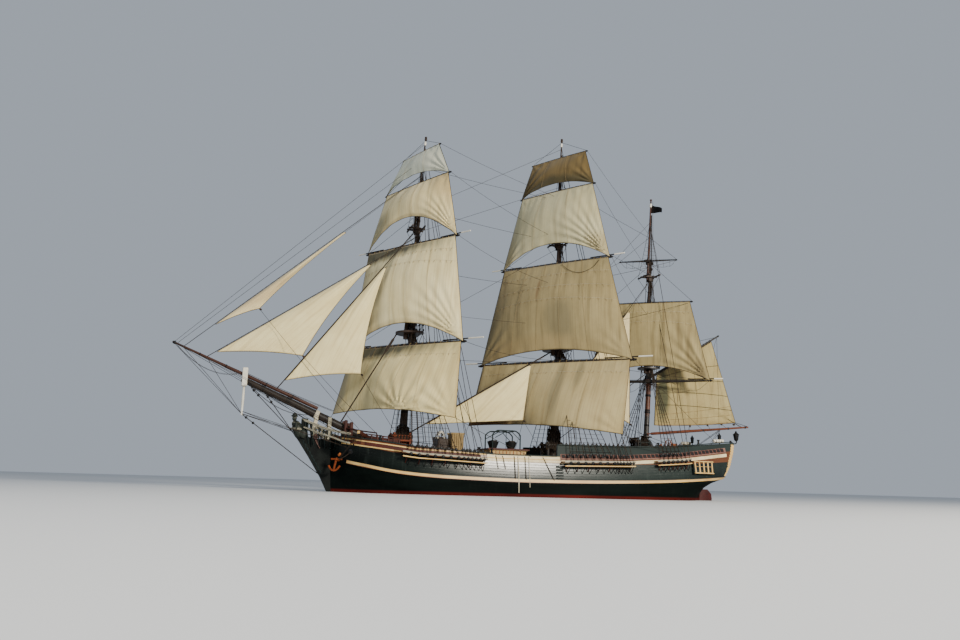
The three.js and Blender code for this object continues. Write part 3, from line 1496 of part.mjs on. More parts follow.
// The shoe at the keel's end, with the stub that the rudder's pintle turns on
function shoeGeometries() {
  const x = rudderAxisX(KEEL_Z);
  const top = RUDDER.bottom - RUDDER.shoeDrop;
  return [
    block(x - 0.1, 0, (KEEL_Z + top) / 2, 0.7, 0.24, top - KEEL_Z),
    rod(onRudderAxis(top - 0.04), onRudderAxis(RUDDER.bottom - RUDDER.pintle - SEAT_GAP), 0.06, 10),
  ];
}

function rudderGeometry() {
  const ringAt = (z, aft) => {
    const x = rudderAxisX(z);
    const half = RUDDER.half;
    const list = [];
    const steps = 6;
    for (let i = 0; i <= steps; i += 1) {
      const angle = Math.PI / 2 + (Math.PI * i) / steps;
      list.push(point(x + RUDDER.stock * Math.cos(angle), half * Math.sin(angle), z));
    }
    list.push(point(x + aft * 0.92, -half * 0.7, z));
    list.push(point(x + aft, -half * 0.3, z));
    list.push(point(x + aft, half * 0.3, z));
    list.push(point(x + aft * 0.92, half * 0.7, z));
    return list;
  };
  const heights = [
    { z: RUDDER.bottom, aft: RUDDER.aftBottom },
    { z: -1.8, aft: 1.5 },
    { z: 0.2, aft: RUDDER.aftWater },
    { z: 0.62, aft: 1.25 },
    { z: RUDDER.top, aft: RUDDER.aftTop },
  ];
  const rings = heights.map((row) => ringAt(row.z, row.aft));
  const count = rings[0].length;
  const points = rings.flat();
  const faces = [];
  for (let r = 0; r + 1 < rings.length; r += 1) {
    for (let i = 0; i < count; i += 1) {
      const a = r * count + i;
      const b = r * count + ((i + 1) % count);
      faces.push(a, b, b + count, a, b + count, a + count);
    }
  }
  const last = (rings.length - 1) * count;
  for (let i = 1; i + 1 < count; i += 1) {
    faces.push(0, i + 1, i);
    faces.push(last, last + i, last + i + 1);
  }
  const blade = closedGeometry(points, faces);
  const pintle = rod(onRudderAxis(RUDDER.bottom + 0.15), onRudderAxis(RUDDER.bottom - RUDDER.pintle), 0.05, 10);
  return geometryOf(joined([blade, pintle]));
}

// Deck furniture

function deckhouseGeometry() {
  const middle = (DECKHOUSE.from + DECKHOUSE.to) / 2;
  const length = DECKHOUSE.to - DECKHOUSE.from;
  const parts = [
    standing(DECKHOUSE.from, DECKHOUSE.to, 0, 2 * DECKHOUSE.half, DECKHOUSE.top),
    block(middle, 0, DECKHOUSE.top, length + 0.24, 2 * DECKHOUSE.half + 0.24, 0.14),
  ];
  return geometryOf(joined(parts));
}

function deckArchGeometry() {
  const floor = DECKHOUSE.top + 0.07 + SEAT_GAP;
  const parts = [];
  const x0 = DECK_ARCH.from + 0.1;
  const x1 = DECK_ARCH.to - 0.1;
  for (const side of [-1, 1]) {
    const y = side * DECK_ARCH.half;
    parts.push(rod(point(x0, y, floor), point(x0, y, DECK_ARCH.top - 0.3), DECK_ARCH.radius, 8));
    parts.push(rod(point(x1, y, floor), point(x1, y, DECK_ARCH.top - 0.3), DECK_ARCH.radius, 8));
    parts.push(
      tube(
        [
          point(x0, y, DECK_ARCH.top - 0.34),
          point(x0 + 0.35, y, DECK_ARCH.top),
          point((x0 + x1) / 2, y, DECK_ARCH.top + 0.03),
          point(x1 - 0.35, y, DECK_ARCH.top),
          point(x1, y, DECK_ARCH.top - 0.34),
        ],
        DECK_ARCH.radius,
        10,
        6,
      ),
    );
  }
  for (const x of [x0 + 0.6, (x0 + x1) / 2, x1 - 0.6]) {
    parts.push(rod(point(x, -DECK_ARCH.half, DECK_ARCH.top), point(x, DECK_ARCH.half, DECK_ARCH.top), 0.05, 8));
  }
  return geometryOf(joined(parts));
}

function fifeRailGeometry() {
  const mast = MASTS.fore.lower;
  const x = onSection(mast, 4) - 0.1;
  const floor = deckAt(x - 0.87);
  const parts = [];
  for (const cornerX of [x - 0.75, x + 0.65]) {
    for (const y of [-1.05, 1.05]) {
      parts.push(standing(cornerX - 0.12, cornerX + 0.12, y, 0.24, floor + 1.9));
    }
  }
  parts.push(block(x - 0.05, -1.05, floor + 1.75, 1.7, 0.3, 0.14));
  parts.push(block(x - 0.05, 1.05, floor + 1.75, 1.7, 0.3, 0.14));
  parts.push(block(x - 0.75, 0, floor + 1.75, 0.3, 2.3, 0.14));
  parts.push(block(x - 0.05, -1.05, floor + 0.7, 1.2, 0.12, 0.5));
  parts.push(block(x - 0.05, 1.05, floor + 0.7, 1.2, 0.12, 0.5));
  return geometryOf(joined(parts));
}

function wheelGeometry() {
  const z = wheelCentre();
  const ring = new THREE.TorusGeometry(WHEEL.radius * METRE, 0.04 * METRE, 6, 20);
  ring.rotateY(Math.PI / 2);
  ring.translate(WHEEL.x * METRE, 0, z * METRE);
  const parts = [ring, rod(point(WHEEL.x - 0.12, 0, z), point(WHEEL.x + 0.42 - SPAR_GAP, 0, z), 0.09, 10)];
  for (let i = 0; i < WHEEL.spokes / 2; i += 1) {
    const angle = (i * 2 * Math.PI) / WHEEL.spokes;
    const y = (WHEEL.radius + 0.16) * Math.cos(angle);
    const up = (WHEEL.radius + 0.16) * Math.sin(angle);
    parts.push(rod(point(WHEEL.x, -y, z - up), point(WHEEL.x, y, z + up), 0.028, 6));
  }
  return geometryOf(joined(parts));
}

function wheelCentre() {
  return deckAt(WHEEL.x) + WHEEL.hub;
}

function wheelStandGeometry() {
  const z = wheelCentre();
  const x = WHEEL.x + 0.62;
  return geometryOf(joined([
    standing(x - 0.2, x + 0.2, 0, 0.36, z + 0.2),
    block(x, 0, z + 0.22, 0.5, 0.46, 0.08),
  ]));
}

function capstanGeometry() {
  const reach = CAPSTAN.radius + 0.12;
  const floor = Math.max(deckAt(CAPSTAN.x - reach), deckAt(CAPSTAN.x + reach)) + SEAT_GAP;
  const shape = [
    { share: 0, radius: CAPSTAN.radius + 0.12 },
    { share: 0.14, radius: CAPSTAN.radius + 0.12 },
    { share: 0.2, radius: CAPSTAN.radius - 0.04 },
    { share: 0.6, radius: CAPSTAN.radius - 0.1 },
    { share: 0.74, radius: CAPSTAN.radius + 0.06 },
    { share: 1, radius: CAPSTAN.radius + 0.04 },
  ];
  return spar(point(CAPSTAN.x, 0, floor), point(CAPSTAN.x, 0, floor + CAPSTAN.height), shape, 12);
}

function lanternGeometry() {
  const post = point(LANTERN.postX, LANTERN.y, taffrailAt(LANTERN.postX) + 0.2);
  const x = LANTERN.x;
  const y = LANTERN.y;
  const z = LANTERN.z;
  const shape = [
    { share: 0, radius: 0.1 },
    { share: 0.12, radius: LANTERN.radius * 0.75 },
    { share: 0.6, radius: LANTERN.radius },
    { share: 0.64, radius: LANTERN.radius + 0.05 },
    { share: 0.85, radius: 0.1 },
    { share: 1, radius: 0.05 },
  ];
  const parts = [
    spar(point(x, y, z), point(x, y, z + LANTERN.height), shape, 8),
    tube([point(x, y, z + 0.1), point(x, y, z - 0.2), point(x - 0.3, y, z - 0.25), post], 0.05, 8, 6),
    standing(LANTERN.postX - 0.06, LANTERN.postX + 0.06, y, 0.12, post.z / METRE + 0.04, taffrailAt),
  ];
  return geometryOf(joined(parts));
}

function flagSheet() {
  return (u, v) => {
    const mast = MASTS.mizzen.topgallant;
    const z = FLAG.top - FLAG.drop * (0.5 + (v - 0.5) * (1 - FLAG.taper * u));
    const hoist = onSection(mast, z) + radiusOn(mast, z) + FLAG.gap;
    return point(hoist + FLAG.length * u, FLAG.wave * Math.sin(u * 6), z);
  };
}

// The whole ship

const ship = new THREE.Group();
ship.name = 'tall_ship';

function addNode(name, geometry, material) {
  const row = MATERIALS[material];
  const look = new THREE.MeshStandardMaterial({
    color: row.colour,
    roughness: row.roughness,
    metalness: row.metalness,
  });
  const mesh = new THREE.Mesh(geometry, look);
  mesh.name = name;
  ship.add(mesh);
}

addNode('hull', hullGeometry(), 'hullPaint');
addNode('quarterdeck_bulwark', bulwarkGeometry(), 'bulwarkPaint');
addNode('lower_wale', mouldingGeometry('wale', WALE_HALF_HEIGHT, WALE_PROUD, WALE_FROM), 'creamPaint');
addNode('head_knee', kneeGeometry(), 'hullPaint');
addNode('figurehead', figureGeometry(), 'whitePaint');
addNode('rudder', rudderGeometry(), 'bottomPaint');
addNode('bowsprit', bowspritGeometry(), 'darkSpar');
addNode('jibboom', jibboomGeometry(0), 'brownSpar');
addNode('dolphin_striker', strikerGeometry(), 'whitePaint');
addNode('anchor_port', anchorGeometry(-1), 'rustyIron');
addNode('anchor_starboard', anchorGeometry(1), 'rustyIron');

for (const [name, mast] of Object.entries(MASTS)) {
  for (const node of mastNodes(name, mast)) {
    addNode(node.name, node.geometry, node.material);
  }
}
for (const yard of YARDS) {
  addNode(yard.name, yardGeometry(yard), 'darkSpar');
}
for (const row of SQUARE_SAILS) {
  addNode(row.name, sheet(betweenYardsSail(row), SAIL_COLUMNS, SAIL_ROWS, SAIL_THICKNESS), row.cloth);
}
for (const row of COURSES) {
  addNode(row.name, sheet(courseSail(row), SAIL_COLUMNS, SAIL_ROWS, SAIL_THICKNESS), row.cloth);
}
for (const row of FORE_AND_AFT_SAILS) {
  addNode(row.name, triangularGeometry(row), row.cloth);
}
addNode('spanker_gaff', jawedSpar(gaffPlace, GAFF), 'darkSpar');
addNode('spanker_boom', jawedSpar(boomPlace, BOOM), 'brownSpar');
addNode('spanker', spankerGeometry(), 'canvas');

addNode('deckhouse', deckhouseGeometry(), 'houseWood');
addNode('deck_arch', deckArchGeometry(), 'iron');
addNode('fore_fife_rail', fifeRailGeometry(), 'orangeWood');
addNode('steering_wheel', wheelGeometry(), 'brownSpar');
addNode('wheel_stand', wheelStandGeometry(), 'brownSpar');
addNode('capstan', capstanGeometry(), 'orangeWood');
addNode('stern_lantern', lanternGeometry(), 'iron');
addNode('flag', sheet(flagSheet(), 8, 3, SAIL_THICKNESS), 'flagCloth');
for (const stay of STAYS) {
  addNode(stay.name, stayGeometry(stay), 'rope');
}

export default ship;
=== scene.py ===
"""The looks of a three-masted sailing ship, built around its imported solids.

All places and sizes below are the full-size ship's, in metres, on the part's axes.
SCALE makes them the model's.
"""

import math
from collections import namedtuple
from itertools import product

import bpy
import numpy as np
from mathutils import Matrix, Vector, noise
from mathutils.bvhtree import BVHTree


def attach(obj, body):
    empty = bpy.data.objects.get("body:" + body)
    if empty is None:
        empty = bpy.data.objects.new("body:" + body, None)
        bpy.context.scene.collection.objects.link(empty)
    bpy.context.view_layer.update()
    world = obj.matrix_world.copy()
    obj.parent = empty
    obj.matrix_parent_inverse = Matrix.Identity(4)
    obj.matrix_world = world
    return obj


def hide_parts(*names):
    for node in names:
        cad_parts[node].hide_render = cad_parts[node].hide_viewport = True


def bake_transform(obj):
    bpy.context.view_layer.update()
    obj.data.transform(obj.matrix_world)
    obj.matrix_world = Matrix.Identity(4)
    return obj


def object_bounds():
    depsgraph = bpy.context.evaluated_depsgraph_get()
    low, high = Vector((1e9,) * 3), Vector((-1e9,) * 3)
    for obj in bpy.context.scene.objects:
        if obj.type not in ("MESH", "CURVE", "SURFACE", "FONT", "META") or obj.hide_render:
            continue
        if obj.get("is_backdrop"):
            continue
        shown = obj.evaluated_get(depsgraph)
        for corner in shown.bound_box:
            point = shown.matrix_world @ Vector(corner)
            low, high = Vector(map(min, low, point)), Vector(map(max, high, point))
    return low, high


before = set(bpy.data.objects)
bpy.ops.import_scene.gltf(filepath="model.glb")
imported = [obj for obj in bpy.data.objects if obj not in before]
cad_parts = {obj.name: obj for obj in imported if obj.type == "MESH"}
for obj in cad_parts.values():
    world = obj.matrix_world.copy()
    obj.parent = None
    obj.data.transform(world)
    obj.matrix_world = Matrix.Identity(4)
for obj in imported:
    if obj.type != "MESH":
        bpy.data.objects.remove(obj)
cad_low, cad_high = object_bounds()

SCALE = 0.5
DEGREE = math.pi / 180
SIDES = {"port": -1, "starboard": 1}
UP = (0, 0, 1)

# The camera: a low place off the port bow, near the water
CAMERA_PLACE = (-27.96, -68.2, 1.0)
CAMERA_HEADING = 18.0
CAMERA_PITCH = 11.55
CAMERA_ROLL = 1.61
CAMERA_LENS = 30.0

# Masts: each section's foot and head on the centreline (x, z), and its radius at both
MASTS = {
    "fore": {
        "lower": ((-12.7, 2.0), (-12.0, 16.1), (0.33, 0.27)),
        "topmast": ((-12.68, 13.3), (-11.9, 25.4), (0.21, 0.155)),
        "topgallant": ((-12.345, 23.2), (-11.61, 32.5), (0.125, 0.06)),
        "top_z": 13.75, "top_radius": 1.35, "trees_z": 23.5, "hounds_z": 30.0,
    },
    "main": {
        "lower": ((1.4, 1.6), (2.2, 16.0), (0.36, 0.29)),
        "topmast": ((1.48, 12.9), (2.1, 25.6), (0.22, 0.165)),
        "topgallant": ((1.67, 23.4), (2.21, 34.6), (0.14, 0.06)),
        "top_z": 13.35, "top_radius": 1.45, "trees_z": 23.7, "hounds_z": 31.6,
    },
    "mizzen": {
        "lower": ((11.0, 3.1), (11.8, 14.4), (0.27, 0.22)),
        "topmast": ((11.2, 11.9), (11.99, 23.2), (0.165, 0.12)),
        "topgallant": ((11.6, 21.3), (12.13, 29.7), (0.11, 0.07)),
        "top_z": 12.3, "top_radius": 1.05, "trees_z": 21.6, "hounds_z": 26.9,
    },
}

# Yards: ahead_by is the distance ahead of the mast's section, boom the length of boom beyond the yardarm
Yard = namedtuple("Yard", "mast section z length brace ahead_by radius boom")
YARDS = {
    "fore_yard": Yard("fore", "lower", 12.6, 12.7, 40, 0.5, 0.19, 1.6),
    "fore_topsail_yard": Yard("fore", "topmast", 21.8, 11.5, 33, 0.45, 0.15, 1.1),
    "fore_topgallant_yard": Yard("fore", "topgallant", 27.7, 9.6, 25, 0.26, 0.11, 0),
    "fore_royal_yard": Yard("fore", "topgallant", 30.9, 6.0, 22, 0.22, 0.08, 0),
    "main_yard": Yard("main", "lower", 12.1, 15.6, 45, 0.7, 0.21, 1.4),
    "main_topsail_yard": Yard("main", "topmast", 21.6, 12.0, 38, 0.46, 0.16, 1.1),
    "main_topgallant_yard": Yard("main", "topgallant", 29.0, 8.75, 33, 0.27, 0.11, 0),
    "main_royal_yard": Yard("main", "topgallant", 32.5, 6.7, 31, 0.21, 0.08, 0),
    "crossjack_yard": Yard("mizzen", "lower", 11.05, 12.0, 54, 0.42, 0.14, 0.9),
    "mizzen_topsail_yard": Yard("mizzen", "topmast", 18.8, 8.55, 54, 0.35, 0.11, 0),
    "mizzen_topgallant_yard": Yard("mizzen", "topgallant", 23.1, 5.7, 56, 0.4, 0.08, 0),
}
BOOM_ABOVE, BOOM_BEHIND, BOOM_RADIUS = 0.06, 0.07, 0.055
HEAD_SHARE = 0.93
SAIL_THICKNESS = 0.024

# Square sails: head yard, foot yard and the share of it (or both clews, port first), belly, arch of the foot
SQUARE_SAILS = {
    "fore_topsail": ("fore_topsail_yard", "fore_yard", 0.96, 1.15, 1.9),
    "fore_topgallant_sail": ("fore_topgallant_yard", "fore_topsail_yard", 0.96, 0.85, 2.5),
    "fore_royal": ("fore_royal_yard", "fore_topgallant_yard", 0.955, 0.45, 0.9),
    "main_topsail": ("main_topsail_yard", "main_yard", 0.955, 1.25, 1.1),
    "main_topgallant_sail": ("main_topgallant_yard", "main_topsail_yard", 0.955, 0.95, 1.9),
    "main_royal": ("main_royal_yard", "main_topgallant_yard", 0.955, 0.5, 0.75),
    "mizzen_topsail": ("mizzen_topsail_yard", "crossjack_yard", 0.955, 0.3, 1.5),
    "fore_course": ("fore_yard", (-9.4, -5.3, 6.2), (-18.0, 4.6, 6.75), 1.0, 0.5),
    "main_course": ("main_yard", (5.85, -5.3, 5.55), (-4.9, 5.4, 6.4), 0.75, 0.35),
}

# How far each course bulges round the lee shrouds, ahead of its yard
LEE_BULGE = {"fore_course": 0.9, "main_course": 1.3}

# Stays that carry a sail: upper end, lower end, radius
STAYS = {
    "flying_jib": ((-11.93, 0, 28.69), (-30.95, 0, 11.19), 0.035),
    "jib": ((-12.12, -0.19, 22.75), (-29.1, 0, 10.5), 0.04),
    "fore_topmast_stay": ((-12.22, 0, 23.36), (-23.4, 0, 8.2), 0.045),
    "main_stay": ((1.4, 0, 13.32), (-12.55, 0, 4.75), 0.06),
    "mizzen_staysail": ((11.8, 0, 21.2), (1.95, 0, 8.0), 0.04),
}

# Sails on stays: stay, head's x, tack's x, clew, belly, gap from the stay, hollow of the leech and the foot
STAYSAILS = {
    "flying_jib": ("flying_jib", -18.75, -28.7, (-25.3, -0.35, 14.8), 0.5, 0.03, 0.5, 0.3),
    "jib": ("jib", -16.4, -28.4, (-21.5, -0.35, 11.1), 0.6, 0.03, 0.4, 0.3),
    "fore_topmast_staysail": ("fore_topmast_stay", -15.0, -22.8, (-16.5, -0.35, 9.9), 0.5, 0.0111, 0.35, 0.25),
    "main_staysail": ("main_stay", -1.0, -10.5, (-1.5, -0.25, 6.72), 0.35, 0.0083, 0, 0),
    "mizzen_staysail": ("mizzen_staysail", 9.3, 3.4, (9.4, -0.05, 6.95), 0.12, 0.03, 0, 0),
}
STAYSAIL_HEAD = 0.22

# The spanker: height of the jaws, length and rise in degrees of gaff and boom; places by (aft, height)
SPANKER_ANGLE = 8
GAFF_JAW, GAFF_LENGTH, GAFF_RISE = 11.45, 8.75, 32
BOOM_JAW, BOOM_LENGTH, BOOM_RISE = 6.07, 10.6, 5.7
SPANKER_THROAT, SPANKER_TACK, SPANKER_CLEW = 0.95, (0.75, 6.95), (9.15, 7.5)
SPANKER_PEAK, SPANKER_BELLY, SPANKER_SAG = 0.888, 0.45, 0.12

# Sheer: height of the wale, rail moulding, hull's top and quarterdeck bulwark, by share of the length
SHEER_ALONG = (0.0, 0.06, 0.17, 0.36, 0.5, 0.7, 0.85, 1.0)
SHEER = {
    "wale": (2.75, 2.2, 1.6, 1.36, 1.34, 1.48, 1.72, 2.12),
    "rail": (4.02, 3.68, 3.19, 2.92, 2.95, 3.14, 3.55, 4.26),
    "top": (4.6, 4.28, 3.78, 3.4, 3.42, 3.62, 4.0, 4.62),
    "bulwark": (5.2, 4.9, 4.5, 4.4, 4.42, 4.52, 4.8, 5.4),
}
STEM_X, STERN_X = -18.6, 17.9


# Meshes

def arr(*values):
    return np.array(values, float)


def unit(v):
    return arr(*v) / max(np.linalg.norm(v), 1e-12)


def between(a, b, share):
    return a + (b - a) * share


def circle(a, b, count):
    """Places evenly round a circle whose radii are a and b."""
    turns = [2 * math.pi * k / count for k in range(count)]
    return [a * math.cos(turn) + b * math.sin(turn) for turn in turns]


CORNERS = list(product((-1, 1), repeat=3))
OTHER_AXES = 1 - np.eye(3)


def block_faces():
    """Faces of a block with bevelled edges, which has three points at each of its corners."""
    index = {(*signs, axis): 3 * k + axis for k, signs in enumerate(CORNERS) for axis in range(3)}
    sides, edges = [], []
    for axis in range(3):
        a, b = [k for k in range(3) if k != axis]

        def point(s, sa, sb, which):
            key = [0, 0, 0]
            key[axis], key[a], key[b] = s, sa, sb
            return index[(*key, which)]
        sides += [[point(s, *pair, axis) for pair in ((-1, -1), (1, -1), (1, 1), (-1, 1))] for s in (-1, 1)]
        edges += [[point(s, *pair, which) for s, which in ((-1, a), (1, a), (1, b), (-1, b))]
                  for pair in product((-1, 1), repeat=2)]
    points = [np.array(signs) * (1 - 0.1 * OTHER_AXES[axis]) for signs in CORNERS for axis in range(3)]
    faces = []
    for face in sides + edges + [[index[(*signs, axis)] for axis in range(3)] for signs in CORNERS]:
        p, q, r = [points[i] for i in face[:3]]
        faces.append(face if np.cross(q - p, r - p) @ p > 0 else face[::-1])
    return faces


BLOCK_FACES = block_faces()


class Shape:
    """Collects the points and faces of one piece, in full-size metres."""

    def __init__(self):
        self.points, self.faces, self.slots = [], [], []

    def add(self, points, faces, slot=0):
        start = len(self.points)
        self.points += [tuple(p) for p in points]
        self.faces += [tuple(start + i for i in f) for f in faces]
        self.slots += [slot] * len(faces)

    def skin(self, rings, slot=0, closed=False, flip=False):
        """Faces round a row of rings of points, with a face at each end unless the row is closed."""
        count, sides = len(rings), len(rings[0])
        faces = []
        for i in range(count if closed else count - 1):
            a, b = i * sides, (i + 1) % count * sides
            faces += [(a + k, a + (k + 1) % sides, b + (k + 1) % sides, b + k) for k in range(sides)]
        if not closed:
            faces += [tuple(reversed(range(sides))), tuple(range((count - 1) * sides, count * sides))]
        self.add([p for ring in rings for p in ring], [f[::-1] for f in faces] if flip else faces, slot)

    def tube(self, path, radius, sides=5, slot=0, closed=False):
        path = [arr(*p) for p in path]
        count = len(path)
        radii = radius if hasattr(radius, "__len__") else [radius] * count
        near = [(i - 1) % count if closed else max(i - 1, 0) for i in range(count)]
        far = [(i + 1) % count if closed else min(i + 1, count - 1) for i in range(count)]
        ahead = [unit(path[b] - path[a]) for a, b in zip(near, far)]
        normal = unit(np.cross(ahead[0], UP if abs(ahead[0][2]) < 0.9 else (1, 0, 0)))
        rings = []
        for p, t, r in zip(path, ahead, radii):
            normal = unit(normal - t * (normal @ t))
            rings.append([p + out * r for out in circle(normal, np.cross(t, normal), sides)])
        self.skin(rings, slot, closed)

    def turned(self, foot, along, outline, sides=12, slot=0):
        """A body of revolution: outline is a list of (distance along the direction, radius)."""
        along = unit(along)
        a = unit(np.cross(along, (1, 0, 0) if abs(along[0]) < 0.9 else (0, 1, 0)))
        ring = circle(a, np.cross(along, a), sides)
        self.skin([[arr(*foot) + along * h + out * max(r, 1e-4) for out in ring] for h, r in outline], slot)

    def band(self, foot, along, width, radius, sides=12, slot=0):
        """A plain hoop or disc, from its foot."""
        self.turned(foot, along, [(0, radius), (width, radius)], sides, slot)

    def block(self, centre, size, along=(1, 0, 0), up=UP, slot=0, bevel=0.02):
        """A block with bevelled edges; along is the direction of its first side."""
        x, up, half = unit(along), arr(*up), arr(*size) / 2
        z = unit(up - x * (up @ x))
        axes = np.array([x, np.cross(z, x), z])
        cut = min(bevel, 0.45 * min(half))
        points = [arr(*centre) + (np.array(signs) * (half - cut * OTHER_AXES[axis])) @ axes
                  for signs in CORNERS for axis in range(3)]
        self.add(points, BLOCK_FACES, slot)

    def boards(self, path, wide, high, extra=0.0, shift=(0, 0, 0), slot=0, bevel=0.02):
        """A row of blocks along a path, each a little longer than its step."""
        for a, b in zip(path[:-1], path[1:]):
            size = (np.linalg.norm(b - a) + extra, wide, high)
            self.block((a + b) / 2 + arr(*shift), size, b - a, slot=slot, bevel=bevel)

    def rope(self, a, b, radius=0.02, sag=0.0, count=2, slot=0, sides=5):
        """A rope from a to b that sags in the middle."""
        a, b = arr(*a), arr(*b)
        shares = np.linspace(0, 1, max(count, 8) if sag else count)
        self.tube([between(a, b, t) - arr(0, 0, sag * 4 * t * (1 - t)) for t in shares], radius, sides, slot)

    def pulley(self, place, along, size=0.13, slot=0):
        """A wooden block: an oval shell along its rope."""
        outline = [(-1, 0.02 / size), (-0.75, 0.55), (0, 0.8), (0.75, 0.55), (1, 0.02 / size)]
        self.turned(place, along, [(h * size, r * size) for h, r in outline], 8, slot)

    def deadeye(self, place, size=0.13):
        """A round, flat block seen from the side, with its thickness across the ship."""
        outline = [(-0.06, size * 0.6), (-0.035, size), (0.035, size), (0.06, size * 0.6)]
        self.turned(place, (0, math.copysign(1, place[1]), 0), outline, 10, 1)

    def hank(self, top, drop_by, slot=0, seed=0.0, width=0.16):
        """A coil that hangs from a pin: three narrow loops."""
        for k in range(3):
            wide, long = width * (1 - 0.2 * k), drop_by * (1 - 0.12 * k)
            path = []
            for i in range(12):
                angle = 2 * math.pi * i / 12
                aside = wide * math.sin(angle) + 0.01 * math.sin(seed + 3 * i)
                path.append(arr(*top) + arr(aside, 0.02 * k, -long / 2 * (1 - math.cos(angle))))
            self.tube(path, 0.034, 4, slot, closed=True)

    def make(self, name, *materials, body="ship", angle=40):
        mesh = bpy.data.meshes.new(name)
        mesh.from_pydata([tuple(c * SCALE for c in p) for p in self.points], [], self.faces)
        for material in materials:
            mesh.materials.append(material)
        mesh.polygons.foreach_set("material_index", self.slots)
        mesh.polygons.foreach_set("use_smooth", [True] * len(self.faces))
        mesh.update()
        mesh.set_sharp_from_angle(angle=angle * DEGREE)
        mesh.update()
        piece = bpy.data.objects.new(name, mesh)
        bpy.context.scene.collection.objects.link(piece)
        if body:
            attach(piece, body)
        return piece


# Materials

def colour(hex_text):
    """Linear colour of a hexadecimal sRGB one."""
    values = [int(hex_text[i:i + 2], 16) / 255 for i in (0, 2, 4)]
    return [v / 12.92 if v <= 0.04045 else ((v + 0.055) / 1.055) ** 2.4 for v in values] + [1.0]


class Nodes:
    """One material, with short names for its nodes."""

    def __init__(self, name):
        self.material = bpy.data.materials.new(name)
        self.material.use_nodes = True
        self.tree = self.material.node_tree
        self.shader = self.tree.nodes["Principled BSDF"]
        self.place = self.node("TexCoord", {}, "Object")

    def fill(self, node, inputs):
        for key, value in inputs.items():
            if hasattr(value, "is_output"):
                self.tree.links.new(value, node.inputs[key])
            else:
                node.inputs[key].default_value = value

    def node(self, kind, inputs, output=0, **settings):
        """A new node with its inputs set or linked; gives one of its outputs."""
        made = self.tree.nodes.new("ShaderNode" + kind)
        for key, value in settings.items():
            setattr(made, key, value)
        self.fill(made, inputs)
        return made.outputs[output]

    def math(self, kind, a, b=0.0, clamp=False):
        return self.node("Math", {0: a, 1: b}, operation=kind, use_clamp=clamp)

    def plus(self, a, b):
        return self.math("ADD", a, b)

    def minus(self, a, b):
        return self.math("SUBTRACT", a, b)

    def times(self, a, b):
        return self.math("MULTIPLY", a, b)

    def noise(self, scale, detail=3.0, rough=0.6, place=None, stretch=None):
        source = place or self.place
        if stretch:
            source = self.node("Mapping", {"Vector": source, "Scale": stretch})
        inputs = {"Vector": source, "Scale": scale, "Detail": detail, "Roughness": rough}
        return self.node("TexNoise", inputs, "Fac")

    def ramp(self, value, low, high, from_low=0.0, from_high=1.0):
        inputs = {"Value": value, "From Min": from_low, "From Max": from_high, "To Min": low, "To Max": high}
        return self.node("MapRange", inputs, "Result", clamp=True)

    def step(self, value, low, high):
        """0 below low, 1 above high."""
        return self.ramp(value, 0.0, 1.0, low, high)

    def seams(self, value, pitch, low, high):
        """1 along lines at every pitch."""
        cell = self.math("FRACT", self.math("DIVIDE", value, pitch))
        return self.step(self.off_middle(cell), low, high)

    def off_middle(self, share):
        return self.math("ABSOLUTE", self.minus(share, 0.5))

    def mix(self, share, a, b):
        """Two tones, mixed; each is a socket or a hexadecimal colour."""
        a, b = [colour(tone) if isinstance(tone, str) else tone for tone in (a, b)]
        return self.node("Mix", {0: share, 6: a, 7: b}, 2, data_type="RGBA")

    def split(self, vector):
        made = self.tree.nodes.new("ShaderNodeSeparateXYZ")
        self.fill(made, {0: vector})
        return made.outputs

    def finish(self, height, strength, distance, looks):
        """Bumps and the shader's inputs."""
        bumps = {"Height": height, "Strength": strength, "Distance": distance}
        self.fill(self.shader, {"Normal": self.node("Bump", bumps), **looks})
        return self.material


def worn(name, base, other, roughness=0.5, metal=0.0, scale=3.0, stretch=None, bump=0.25, spread=0.12):
    """Paint, wood, rope or metal with two mixed tones, uneven roughness and fine bumps."""
    n = Nodes(name)
    broad = n.noise(scale, 4, stretch=stretch)
    fine = n.noise(scale * 9, stretch=stretch)
    share = n.step(n.plus(broad, n.times(fine, 0.35)), 0.45, 0.9)
    rough = n.ramp(fine, roughness - spread, roughness + spread)
    looks = {"Base Color": n.mix(share, base, other), "Roughness": rough, "Metallic": metal,
             "Specular IOR Level": 0.18}
    return n.finish(fine, bump, 0.004, looks)


